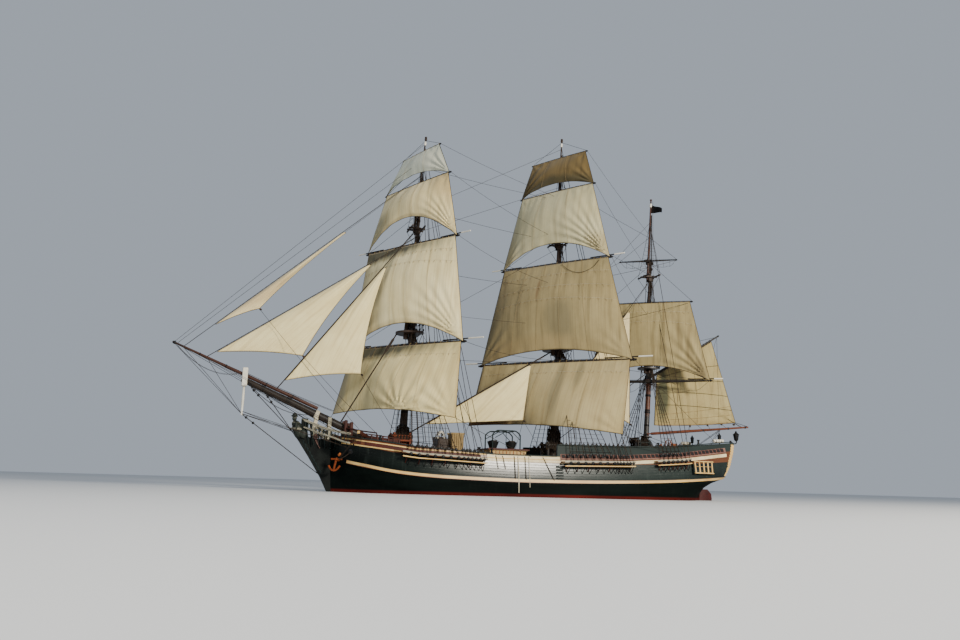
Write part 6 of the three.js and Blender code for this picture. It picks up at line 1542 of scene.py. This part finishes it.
# Halyards and clewlines that come down beside each mast, with the coils tied to its foot.
# Each mast's row: lower and upper end, height of the coils, and how far aft they may stand
for mast, low_z, high_z, coils_to, back in (("fore", 4.9, 12.0, 5.75, 1.0), ("main", 4.7, 11.6, 6.35, 1.0),
                                            ("mizzen", 5.3, 10.6, 5.85, -0.4)):
    falls = Shape()
    for k in range(12):
        angle = 2 * math.pi * (k + 0.5) / 12
        dx, dy = math.cos(angle), math.sin(angle)
        if dx <= back:
            low = arr(on_section(mast, "lower", low_z) + 0.66 * dx, 0.74 * dy, low_z - 0.2)
            high = arr(on_section(mast, "lower", high_z) + 0.4 * dx, 0.52 * dy, high_z)
            falls.rope(low, high, 0.014 + 0.004 * (k % 3), sides=4)
    for k in range(26):
        z = low_z + 0.3 + (coils_to - low_z - 0.3) * k / 26
        dx, dy = math.cos(2.4 * k), math.sin(2.4 * k)
        if dx <= back:
            r = radius_on(mast, "lower", z) + 0.11
            falls.hank((on_section(mast, "lower", z) + r * dx, r * dy, z), 0.62, 0, k, 0.15)
    for z, k in product((low_z + 0.4, coils_to - 0.1, coils_to + 2.2, coils_to + 3.8), range(3)):
        foot = (on_section(mast, "lower", z), 0, z + 0.06 * k)
        falls.band(foot, (0.06, 0, 1), 0.05, radius_on(mast, "lower", z) + 0.03, 14, 1)
    falls.make(f"{mast}_falls", rope, iron)

# Pin bar ahead of the mizzen mast
bar = Shape()
bar.block((9.95, 0, 5.62), (0.16, 1.6, 0.12))
for y in (-0.7, 0.7):
    stand(bar, 9.95, y, (0.13, 0.13), 5.6)
for k, y in enumerate(np.linspace(-0.65, 0.65, 6)):
    bar.hank((9.86, y, 5.66), 0.5, 1, k, 0.12)
bar.make("mizzen_pin_bar", dark_spar, rope, angle=30)

# Hatches with gratings: x, length, width
furniture = Shape()
for x, long, wide in ((-10.4, 1.5, 1.3), (-6.1, 1.1, 1.2), (-0.75, 1.0, 1.2), (5.3, 1.3, 1.1)):
    base = deck_at(x)
    for y in (-wide / 2, wide / 2):
        furniture.block((x, y, base + 0.12), (long + 0.12, 0.12, 0.24))
    for dx in (-long / 2, long / 2):
        furniture.block((x + dx, 0, base + 0.12), (0.12, wide, 0.24))
    for y in np.linspace(-wide / 2 + 0.1, wide / 2 - 0.1, 9):
        furniture.block((x, y, base + 0.2), (long, 0.05, 0.05), slot=1, bevel=0.008)
    for dx in np.linspace(-long / 2 + 0.1, long / 2 - 0.1, 10):
        furniture.block((x + dx, 0, base + 0.225), (0.05, wide, 0.05), slot=1, bevel=0.008)

# The skylight, the lashed canvas box and the lockers
base = deck_at(8.2)
for y in (-0.42, 0.42):
    slope = (0, math.copysign(0.5, y), 1)
    furniture.block((8.2, y, base + 0.3), (1.3, 0.06, 0.6), bevel=0.015)
    furniture.block((8.2, y * 0.55, base + 0.72), (1.34, 0.55, 0.05), up=slope, slot=2, bevel=0.01)
    for dx in np.linspace(-0.55, 0.55, 7):
        furniture.block((8.2 + dx, y * 0.55, base + 0.76), (0.03, 0.55, 0.03), up=slope, slot=3, bevel=0.005)
for dx in (-0.65, 0.65):
    furniture.block((8.2 + dx, 0, base + 0.34), (0.06, 0.84, 0.68), bevel=0.015)
stand(furniture, -7.75, 0.0, (1.1, 1.25), 5.25, 4, 0.08)
for y in (-0.62, 0.62):
    furniture.block((-7.75, y, 5.22), (1.2, 0.06, 0.16), slot=4)
for k in range(6):
    x, top = -8.25 + 0.2 * k, 5.33 + 0.03 * math.sin(3 * k)
    lashing = [(x, -0.66, 3.2), (x + 0.03, -0.665, 5.2), (x, 0, top), (x + 0.03, 0.665, 5.2)]
    furniture.tube(lashing, 0.02, 4, 5)
stand(furniture, -9.1, -0.35, (0.95, 1.0), 4.75, 6, 0.06)
stand(furniture, -9.15, 0.75, (0.7, 0.7), 4.95, 6, 0.06)
furniture.make("deck_furniture", bright_wood, house_wood, glass, brass, tan_cloth, pale_rope, mast_paint,
               angle=30)

# A white canvas cover tied over a locker, and barrels beside the rail
covers = Shape()
for k in range(7):
    x, z = -9.25 - 0.28 * math.cos(math.pi * k / 6), 4.8 + 0.5 * math.sin(math.pi * k / 6)
    covers.tube([(x, -0.75, z), (x + 0.02, -0.35, z + 0.05), (x, 0.05, z)], 0.09, 6)
for x, y in ((-14.4, 2.2), (-14.3, 2.9), (-4.0, -2.7), (-3.2, -2.7), (6.4, 2.3)):
    foot = deck_at(x, y)
    outline = [(0, 0.25), (0.12, 0.29), (0.42, 0.33), (0.72, 0.29), (0.84, 0.25), (0.84, 0.22), (0.8, 0.2)]
    covers.turned((x, y, foot), UP, outline, 14, 1)
    for h in (0.14, 0.28, 0.56, 0.7):
        covers.band((x, y, foot + h), UP, 0.04, 0.335 - abs(h - 0.42) * 0.1, 14, 2)
covers.make("covers_and_barrels", white_paint, bright_wood, iron)

# Two dark tubs with coiled rope on the deckhouse, its red coping and its boards
tubs = Shape()
coil = circle(unit((-0.2, 1, 0)), unit((-1, -0.2, 0)), 12)
for x in (-4.45, -2.75):
    outline = [(0, 0.27), (0.08, 0.3), (0.6, 0.5), (0.7, 0.52), (0.7, 0.46), (0.5, 0.4)]
    tubs.turned((x, -0.55, 3.98), UP, outline, 16)
    for k in range(3):
        path = []
        for i in range(25):
            r = (0.4 - 0.05 * k) * (1 + 0.06 * math.sin(1.7 * i + k + x))
            path.append(arr(x, -0.55, 4.55 + 0.05 * k + 0.07 * i / 12) + coil[i % 12] * r)
        tubs.tube(path, 0.035, 5, 2)
    for h, r in ((0.12, 0.3244), (0.5, 0.4612)):
        tubs.turned((x, -0.55, 3.98 + h), UP, [(0, r), (0.05, r + 0.01)], 16, 1)
for y in (-1.45, 1.45):
    tubs.block((-3.32, y * 1.08, 4.0), (3.9, 0.1, 0.14), slot=3, bevel=0.015)
    for x in np.linspace(-4.8, -1.85, 10):
        tubs.block((x, y * 1.012, 3.3), (0.05, 0.03, 1.1), slot=4, bevel=0.006)
for x in (-5.1, -1.56):
    tubs.block((x, 0, 4.0), (0.1, 3.1, 0.14), slot=3, bevel=0.015)
tubs.make("house_tubs_and_trim", port_dark, iron, rope, maroon_paint, orange_wood, angle=30)

# Braces between the deck arch's hoops and posts
arch_braces = Shape()
for y in (-1.3, 1.3):
    arch_braces.tube([(-4.5, y * 0.96, 5.0), (-3.4, y * 0.9, 5.62)], 0.035)
    arch_braces.tube([(-2.2, y * 0.96, 4.9), (-2.9, y * 0.9, 5.55)], 0.035)
arch_braces.rope((-3.5, -1.3, 5.7), (-3.5, -1.32, 4.0), 0.03)
arch_braces.make("arch_braces", dark_green)

# Ropes that hang over the side amidships, the dark ones also standing in for the ropes' shadows and
# reflections on the hull: x at the rail, x and height of the end, slot, radius
over = Shape()
for x_top, x_low, z_low, slot, r in ((-3.62, -3.6, 0.35, 1, 0.035), (-2.65, -2.62, 0.8, 1, 0.022),
                                     (-3.95, -3.9, 1.45, 0, 0.03), (-3.0, -2.95, 1.4, 0, 0.028),
                                     (-1.35, -0.4, 1.4, 0, 0.028), (-5.0, -4.75, 2.2, 0, 0.026),
                                     (-5.6, -5.4, 2.2, 0, 0.026)):
    shares = np.linspace(0, 1, 10)
    path = [hull_side(between(x_top, x_low, t), between(3.3, z_low, t), -1, 0.075) for t in shares]
    over.tube(path, r, 5, slot)
over.make("side_ropes", rope, white_rope)

# Pin rails and coils along the bulwarks, stanchions and rails at the bow, and fittings on the caps
PIN_RAILS = (("top", -12.6, -9.0), ("top", -8.2, -6.0), ("bulwark", 1.2, 7.0), ("bulwark", 9.8, 13.0))
rail_gear = Shape()
for side in SIDES.values():
    for line, x_from, x_to in PIN_RAILS:
        xs = np.arange(x_from, x_to, 0.42)
        for k, x in enumerate(xs):
            pin = rail_place(line, x, side, 0.23, 0.42, 0.12)
            outline = [(0, 0.02), (0.18, 0.035), (0.22, 0.02), (0.42, 0.032)]
            rail_gear.turned(pin - arr(0, 0, 0.2), UP, outline, 6, 1)
            rail_gear.hank(pin + arr(0, -side * 0.04, 0.08), 0.5 + 0.14 * math.sin(7 * k), 0, k, 0.13)
        ends = [rail_place(line, x, side, 0.3, 0.42, 0.02) for x in (xs[0] - 0.2, xs[-1] + 0.2)]
        rail_gear.boards(ends, 0.2, 0.07, slot=1, bevel=0.012)
    path = []
    for x in np.linspace(-16.3, -13.7, 7):
        foot, head = [rail_place("top", x, side, 0.15, *share) for share in ((0.14, 0), (0.16, 0.42))]
        rail_gear.block((foot + head) / 2, (0.12, 0.12, 0.46), slot=2)
        path.append(head)
    rail_gear.boards(path, 0.2, 0.08, 0.02, slot=2, bevel=0.015)
    rail_gear.boards(path, 0.04, 0.22, shift=(0, 0, -0.22), slot=3, bevel=0.01)
    outline = [(0, 0.13), (0.1, 0.13), (0.14, 0.09), (0.34, 0.09), (0.4, 0.14), (0.46, 0.12)]
    for line, x in (("top", -15.2), ("top", -7.0), ("top", -5.9), ("bulwark", 7.9), ("bulwark", 14.6)):
        rail_gear.turned(rail_place(line, x, side, 0.2, 0.14, 0.02), UP, outline, 10, 4)
rail_gear.make("rail_gear", rope, mast_paint, bow_red, bow_red, iron, angle=30)

# Windlass abaft the bowsprit's heel
windlass = Shape()
base = deck_at(-14.2)
outline = [(0, 0.16), (0.1, 0.24), (0.5, 0.24), (0.55, 0.32), (0.75, 0.32), (0.8, 0.24), (1.6, 0.24),
           (1.65, 0.32), (1.85, 0.32), (1.9, 0.24), (2.3, 0.24), (2.4, 0.16)]
windlass.turned((-14.2, -1.2, base + 0.45), (0, 1, 0), outline)
for y in (-1.05, 1.05):
    windlass.block((-14.2, y, base + 0.4), (0.4, 0.16, 0.8), slot=1, bevel=0.03)
windlass.make("windlass", dark_spar, orange_wood, angle=30)

# Ladders from the waist to the quarterdeck, and the binnacle
ladders = Shape()
for side in SIDES.values():
    y = side * 1.9
    a, b = arr(-1.05, y, deck_at(-1.0, y)), arr(-0.25, y, deck_at(1.0, y) + 0.1)
    for shift in (-0.32, 0.32):
        ladders.boards([a, b], 0.05, 0.16, shift=(0, shift, 0), bevel=0.01)
    for t in np.linspace(0.12, 0.88, 5):
        ladders.block(between(a, b, t), (0.2, 0.64, 0.04), bevel=0.008)
base = deck_at(12.75)
outline = [(0, 0.24), (0.08, 0.24), (0.12, 0.16), (0.7, 0.15), (0.76, 0.22), (0.95, 0.22), (1.1, 0.12),
           (1.16, 0.03)]
ladders.turned((12.75, 0, base), UP, outline, 14, 1)
for y in (-0.26, 0.26):
    ladders.turned((12.75, y, base + 0.86), UP, [(-0.07, 0.03), (0, 0.075), (0.07, 0.03)], 10, 2)
ladders.make("ladders_and_binnacle", house_wood, bright_wood, iron, angle=30)

# Six-sided lanterns on the taffrail: base, glass between bars, roof and finial
TALL, WIDE = 1.15, 0.19
lamps = Shape()
for y in (-2.3, 2.3):
    foot, glass_z = arr(17.75, y, 5.2), 0.36 * TALL
    base = [(0, 0.05), (0.3 * TALL, 0.04), (0.32 * TALL, WIDE * 0.5), (glass_z, WIDE * 0.75)]
    lamps.turned(foot, UP, base, 6)
    lamps.turned(foot + arr(0, 0, glass_z), UP, [(0, WIDE * 0.62), (glass_z, WIDE * 0.8)], 6, 1)
    for out in circle(arr(WIDE, 0, 0), arr(0, WIDE, 0), 6):
        low, high = foot + out * 0.68 + arr(0, 0, glass_z), foot + out * 0.88 + arr(0, 0, 0.73 * TALL)
        lamps.tube([low, high], 0.02, 4)
    roof = [(0, WIDE), (0.04 * TALL, WIDE), (0.17 * TALL, WIDE * 0.4), (0.2 * TALL, 0.06), (0.28 * TALL, 0.03)]
    lamps.turned(foot + arr(0, 0, 0.72 * TALL), UP, roof, 6)
lamps.make("side_lanterns", iron, glass, angle=30)

# Hoops round the stern lantern, found on its solid
lantern_trim = Shape()
spots = node_points("stern_lantern")
low_z, high_z = spots[:, 2].min(), spots[:, 2].max()
upper = spots[spots[:, 2] > between(low_z, high_z, 0.4)]
x, y, _ = (upper.min(0) + upper.max(0)) / 2
for share in (0.5, 0.62, 0.74):
    z = between(low_z, high_z, share)
    zone = spots[np.abs(spots[:, 2] - z) < 0.2]
    if len(zone):
        lantern_trim.band((x, y, z), UP, 0.03, (np.abs(zone[:, 0] - x).max() + 0.015) * 0.9, 8)
lantern_trim.make("stern_lantern_bands", iron)

# Pale rolls on the taffrail
taffrail = Shape()
along, z = (1, 0, 0.03), sheer("bulwark", 17.3) + 0.2
for y in (-2.75, 2.75):
    taffrail.turned((16.725, y, z), along, [(0, 0.05), (0.05, 0.15), (1.1, 0.15), (1.15, 0.05)])
    for x in (17.0125, 17.5875):
        taffrail.turned((x, y, z), along, [(-0.03, 0.165), (0.03, 0.165)], slot=1)
taffrail.make("taffrail_rolls", white_paint, iron)


# Work on the masts: battens on the tops, rails abaft them, hoops, cheeks, lashings, trucks and white bands

for mast, row in MASTS.items():
    work = Shape()
    top_z, rim = row["top_z"] + 0.14, row["top_radius"]
    top_x = on_section(mast, "lower", row["top_z"]) - 0.1
    for y in np.linspace(-rim * 0.75, rim * 0.75, 7):
        long = 1.8 * math.sqrt(rim * rim - y * y) - 0.1
        work.block((top_x + 0.05, y, top_z + 0.02), (long, 0.07, 0.03), bevel=0.008)
    rail = [arr(top_x + rim * 0.62, y, top_z + 0.85) for y in np.linspace(-rim * 0.7, rim * 0.7, 5)]
    work.tube(rail, 0.035, 6)
    work.tube([p - arr(0, 0, 0.4) for p in rail], 0.015, 4)
    for p in rail:
        work.tube([p, p - arr(0, 0, 0.85)], 0.026)
    for section, start, step, count in (("lower", 6.8, 1.45, 3), ("topmast", top_z + 1.0, 1.9, 1),
                                        ("topgallant", row["trees_z"] + 1.0, 1.9, 1)):
        for z in np.arange(start, row[section][1][1] - 0.6, step):
            if mast == "mizzen" and abs(z - GAFF_JAW) < 0.8:
                continue
            for k in range(count):
                foot = (on_section(mast, section, z), 0, z + 0.055 * k)
                work.band(foot, (0.065, 0, 1), 0.045, radius_on(mast, section, z) + 0.012, 14, 1)
    cheek_z = row["top_z"] - (0.2 if mast == "mizzen" else 0.35)
    for (z, section), side in product(((cheek_z, "lower"), (row["trees_z"] - 0.3, "topmast")), SIDES.values()):
        y = side * (radius_on(mast, section, z) + 0.07)
        work.block((on_section(mast, section, z), y, z), (0.5, 0.12, 0.36), bevel=0.03)
    low_z, high_z = row["top_z"] + 0.25, row["lower"][1][1] - 0.3
    for k, side in product(range(4), SIDES.values()):
        z = between(low_z, high_z, k / 3)
        x = (on_section(mast, "lower", z) + on_section(mast, "topmast", z)) / 2
        work.rope((x + 0.1 * k, side * 0.32, low_z), (x - 0.1 * k, side * 0.3, high_z), 0.028, slot=2)
    tip_x, tip_z = row["topgallant"][1]
    if mast != "mizzen":
        truck = [(-0.12, 0.05), (-0.08, 0.11), (0, 0.13), (0.08, 0.11), (0.12, 0.04)]
        work.turned((tip_x, 0, tip_z - 0.15), UP, truck)
    r = radius_on(mast, "topgallant", tip_z - 0.75)
    outline = [(0, r + 0.02), (0.1, r + 0.035), (0.3, r + 0.035), (0.36, r + 0.02)]
    work.turned((on_section(mast, "topgallant", tip_z - 0.75), 0, tip_z - 0.75), (0.06, 0, 1), outline, 12, 3)
    work.make(f"{mast}_mast_work", mast_paint, iron, rope, white_paint, angle=30)

# Ties and thick halyards in the doublings, with their blocks
TIES = ((0.26, 0.16), (0.3, -0.14), (0.34, 0.02), (0.24, 0.28), (0.26, -0.28))
for mast, row in MASTS.items():
    ties = Shape()
    for low_z, high_z, section in ((row["top_z"] + 0.3, row["trees_z"] - 0.6, "topmast"),
                                   (row["trees_z"] + 0.3, row["topgallant"][1][1] - 1.6, "topgallant")):
        high_x = on_section(mast, section, high_z) + radius_on(mast, section, high_z) + 0.05
        for k, (dx, dy) in enumerate(TIES):
            low = (on_section(mast, section, low_z) + dx, dy, low_z)
            ties.rope(low, (high_x, dy * 0.3, high_z), 0.02 + 0.006 * (k % 2), sides=4)
        for up, y, size in ((1.4, 0.05, 0.2), (0.5, -0.1, 0.17)):
            z = low_z + up
            ties.pulley((on_section(mast, section, z) + 0.33, y, z), UP, size, 1)
    ties.make(f"{mast}_ties", rope, mast_paint)


# The figure's dress: belts, the band of the hat and buttons, laid on its surface

figure_tree, spots = node_tree("figurehead"), node_points("figurehead")
low, high = spots.min(0), spots.max(0)
dress = Shape()
for share, radius in ((0.36, 0.035), (0.4, 0.02), (0.62, 0.018), (0.835, 0.02)):
    z = between(low[2], high[2], share)
    level = spots[np.abs(spots[:, 2] - z) < 0.16]
    middle = arr((level[:, 0].min() + level[:, 0].max()) / 2, 0, z)
    ring = []
    for out in circle(arr(1, 0, 0), arr(0, 1, 0), 16):
        hit, _ = cast(middle + out * 2, -out, figure_tree)
        if hit is not None and np.linalg.norm((hit - middle)[:2]) < 1.2:
            ring.append(hit + out * 0.012)
    if len(ring) > 6:
        dress.tube(ring, radius, closed=True)
for share, y in product(np.linspace(0.42, 0.68, 7), (-0.06, 0.06)):
    hit, _ = cast((low[0] - 1, y, between(low[2], high[2], share)), (1, 0, 0), figure_tree)
    if hit is not None:
        dress.turned(hit + arr(-0.012, 0, 0), (1, 0, 0), [(0, 0.018), (0.012, 0.026), (0.03, 0.02)], 8, 1)
dress.make("figure_dress", head_paint, brass)


# The spanker's gear: hoops on its luff, lashings on its head, brails, reefs, sheets, blocks and bands

gear = Shape()
for share in np.linspace(0.02, 0.98, 15):
    luff = surface_point("spanker", 0.0, share)
    gear.tube([luff - AFT * 0.03, luff + AFT * 0.05 + ASIDE * 0.03, luff + AFT * 0.05 - ASIDE * 0.03,
               luff - AFT * 0.03], 0.014, 4)
for share in np.linspace(0.03, 0.97, 17):
    head = surface_point("spanker", share, 0.0) + arr(0, 0, 0.11)
    gear.tube([head + out for out in circle(ASIDE * 0.16, arr(0, 0, 0.16), 8)], 0.014, 4, closed=True)
for face in (-1, 1):
    for leech_v, luff_v in ((0.3, 0.08), (0.5, 0.2), (0.68, 0.38), (0.85, 0.6)):
        shares = np.linspace(0.01, 0.99, 20)
        path = [surface_point("spanker", u, between(luff_v, leech_v, u), face * 0.05) for u in shares]
        gear.tube(path, 0.016, 4)
    for u in (0.35, 0.62):
        path = [surface_point("spanker", u - 0.1 * v, v, face * 0.04) for v in np.linspace(0.01, 0.98, 14)]
        gear.tube(path, 0.012, 4, 2)
for band in (0.8, 0.9):
    gear.tube(over_sail("spanker", (0.01, band), (0.99, band), ASIDE[1] * 0.03, 26), 0.014, 4, 2)
clew = surface_point("spanker", 1.0, 1.0)
gear.rope(clew, boom_place(BOOM_LENGTH - 0.1, 0.08), 0.024)
gear.rope(clew + arr(0, 0, -0.1), boom_place(BOOM_LENGTH - 0.7, 0.08))
gear.pulley(clew - AFT * 0.2 + arr(0, 0, -0.18), AFT, 0.13, 1)
for t in (0.42, 0.62, 0.78):
    low, high = boom_place(BOOM_LENGTH * t, 0.1), surface_point("spanker", t + 0.02, 0.985)
    gear.rope(low, high, 0.014)
    gear.pulley(between(low, high, 0.7), high - low, 0.12, 1)
foot = []
for u in np.linspace(0.02, 0.98, 30):
    foot.append(surface_point("spanker", u, 0.985) - arr(0, 0, 0.05 + 0.03 * math.sin(30 * u)))
gear.tube(foot, 0.035, 5, 2)
for place, length, shares, radius, taper in ((gaff_place, GAFF_LENGTH, (0.35, 0.62, 0.86, 0.985), 0.14, 0.05),
                                             (boom_place, BOOM_LENGTH, (0.3, 0.55, 0.8, 0.97), 0.15, 0.04)):
    for t in shares:
        outline = [(-0.05, radius - taper * t), (0.05, radius - taper * t)]
        gear.turned(place(length * t), place(5) - place(4), outline, 12, 3)
gear.make("spanker_gear", rope, mast_paint, pale_rope, iron, body="spanker_rig")

# Ropes from the spanker's gaff and boom to the ship: start, end, radius, sag
mast_head = arr(on_section("mizzen", "lower", 14.1) + 0.25, 0, 14.1)
swinging = {
    "peak_halyard": (gaff_place(GAFF_LENGTH * 0.93, 0.1), mast_head, 0.018, 0),
    "middle_halyard": (gaff_place(GAFF_LENGTH * 0.55, 0.12), mast_head + arr(0, 0, -0.2), 0.018, 0),
}
for word, side in SIDES.items():
    lift = boom_place(BOOM_LENGTH * 0.92, 0.1) + ASIDE * side * 0.1
    sheet, sheet_end = boom_place(BOOM_LENGTH * 0.72, -0.12), arr(17.6, side * 1.1, 5.25)
    swinging.update({
        f"vang_{word}": (gaff_place(GAFF_LENGTH * 0.97, -0.08), (17.2, side * 3.1, 5.3), 0.015, 0.1),
        f"topping_lift_{word}": (lift, (12.0, side * 0.5, 12.1), 0.016, 0),
        f"spanker_sheet_{word}": (sheet, sheet_end, 0.022, 0),
        f"spanker_sheet_{word}_2": (sheet - AFT * 0.15, sheet_end + arr(-0.15, 0, 0), 0.018, 0),
    })
for name, (start, end, radius, sag) in swinging.items():
    blended_rope(name, start, end, radius, sag, "spanker_rig", 20)

# Sheets, halyards and downhauls of the jibs and staysails: where each sheet ends, and on which sides
jib_gear = Shape()
for name, (x, y, z), sides in (("flying_jib", (-16.6, 3.2, 4.75), (-1,)), ("jib", (-15.2, 3.5, 4.5), (-1,)),
                               ("fore_topmast_staysail", (-13.6, 3.8, 4.35), (-1,)),
                               ("main_staysail", (-0.9, 3.75, 3.7), (-1, 1)),
                               ("mizzen_staysail", (10.9, 2.9, 4.9), (-1, 1))):
    stay, _, _, clew, *_ = STAYSAILS[name]
    for side in sides:
        jib_gear.rope(clew, (x, side * y, z), 0.016, 0.12, 10)
    jib_gear.pulley(arr(*clew) + arr(0.1, 0, -0.06), (1, 0, -0.5), 0.12, 1)
    top, bottom, _ = STAYS[stay]
    end = arr(*top) - unit(arr(*top) - arr(*bottom)) * 0.4 + arr(0.08, 0.05, 0)
    jib_gear.rope(surface_point(name, 0.5, 0.0), end, 0.014)
    jib_gear.tube([surface_point(name, 0.5 * v, v, 0.03) for v in np.linspace(0.1, 0.98, 14)], 0.008, 4, 2)
jib_gear.make("jib_gear", rope, mast_paint, pale_rope)

halyard = Shape()
tip_x, tip_z = MASTS["mizzen"]["topgallant"][1]
for shift in (0.12, 0.2):
    halyard.rope((tip_x + shift, -0.05, tip_z - 0.1), (11.7 + shift, -0.5, 13.0), 0.008)
halyard.make("flag_halyard", rope)

# Signal halyards and pendants between the masts
loose = Shape()
for a, b, radius, sag in (((-11.4, -0.6, 13.9), (-6.6, -3.9, 4.6), 0.016, 0.0),
                          ((2.6, -0.6, 13.2), (7.5, -3.85, 5.0), 0.016, 0.0),
                          ((-12.2, 0.2, 16.0), (2.0, 0.2, 15.9), 0.014, 0.15),
                          ((2.2, 0.2, 15.9), (11.7, 0.2, 14.2), 0.012, 0.15)):
    loose.rope(a, b, radius, sag, 12)
loose.make("loose_ropes", rope)


# The camera, the light and the floor

def camera_axes():
    heading, pitch, roll = CAMERA_HEADING * DEGREE, CAMERA_PITCH * DEGREE, CAMERA_ROLL * DEGREE
    level = Vector((math.sin(heading), math.cos(heading), 0))
    right = Vector((math.cos(heading), -math.sin(heading), 0))
    up = Vector(UP)
    forward = level * math.cos(pitch) + up * math.sin(pitch)
    head = -level * math.sin(pitch) + up * math.cos(pitch)
    rolled_right = right * math.cos(roll) + head * math.sin(roll)
    rolled_head = head * math.cos(roll) - right * math.sin(roll)
    return rolled_right, rolled_head, forward


right, head, forward = camera_axes()
camera_data = bpy.data.cameras.new("camera")
camera_data.lens, camera_data.sensor_width = CAMERA_LENS, 36.0
camera_data.clip_start, camera_data.clip_end = 0.1, 1000
camera = bpy.data.objects.new("camera", camera_data)
turn = Matrix((right, head, -forward)).transposed().to_4x4()
camera.matrix_world = Matrix.Translation(Vector(CAMERA_PLACE) * SCALE) @ turn
bpy.context.scene.collection.objects.link(camera)
bpy.context.scene.camera = camera

FLOOR_HALF = 400.0
floor_mesh = bpy.data.meshes.new("floor")
floor_corners = [(x * FLOOR_HALF, y * FLOOR_HALF, 0) for x, y in ((-1, -1), (1, -1), (1, 1), (-1, 1))]
floor_mesh.from_pydata(floor_corners, [], [(0, 1, 2, 3)])
floor_paint = Nodes("pale_floor")
floor_paint.fill(floor_paint.shader, {"Base Color": (0.62, 0.63, 0.64, 1), "Roughness": 0.85})
floor_mesh.materials.append(floor_paint.material)
floor = bpy.data.objects.new("floor", floor_mesh)
bpy.context.scene.collection.objects.link(floor)
floor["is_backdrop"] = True


def area_light(name, place, target, size, power, tint):
    data = bpy.data.lights.new(name, "AREA")
    data.size, data.energy, data.color = size, power, tint
    light = bpy.data.objects.new(name, data)
    light.location = place
    light.rotation_mode = "QUATERNION"
    light.rotation_quaternion = (Vector(target) - Vector(place)).to_track_quat("-Z", "Y")
    bpy.context.scene.collection.objects.link(light)


world = bpy.data.worlds.new("studio")
world.use_nodes = True
world.node_tree.nodes["Background"].inputs["Color"].default_value = (0.74, 0.83, 0.95, 1)
world.node_tree.nodes["Background"].inputs["Strength"].default_value = 0.5
bpy.context.scene.world = world
area_light("key_light", (19, -62, 23), (0, 0, 6), 10, 72000, (1.0, 0.93, 0.8))
area_light("fill_light", (-45, -40, 25), (0, 0, 6), 24, 9000, (0.95, 0.97, 1.0))

low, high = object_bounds()
{"cad": [list(cad_low), list(cad_high)], "visual": [list(low), list(high)]}
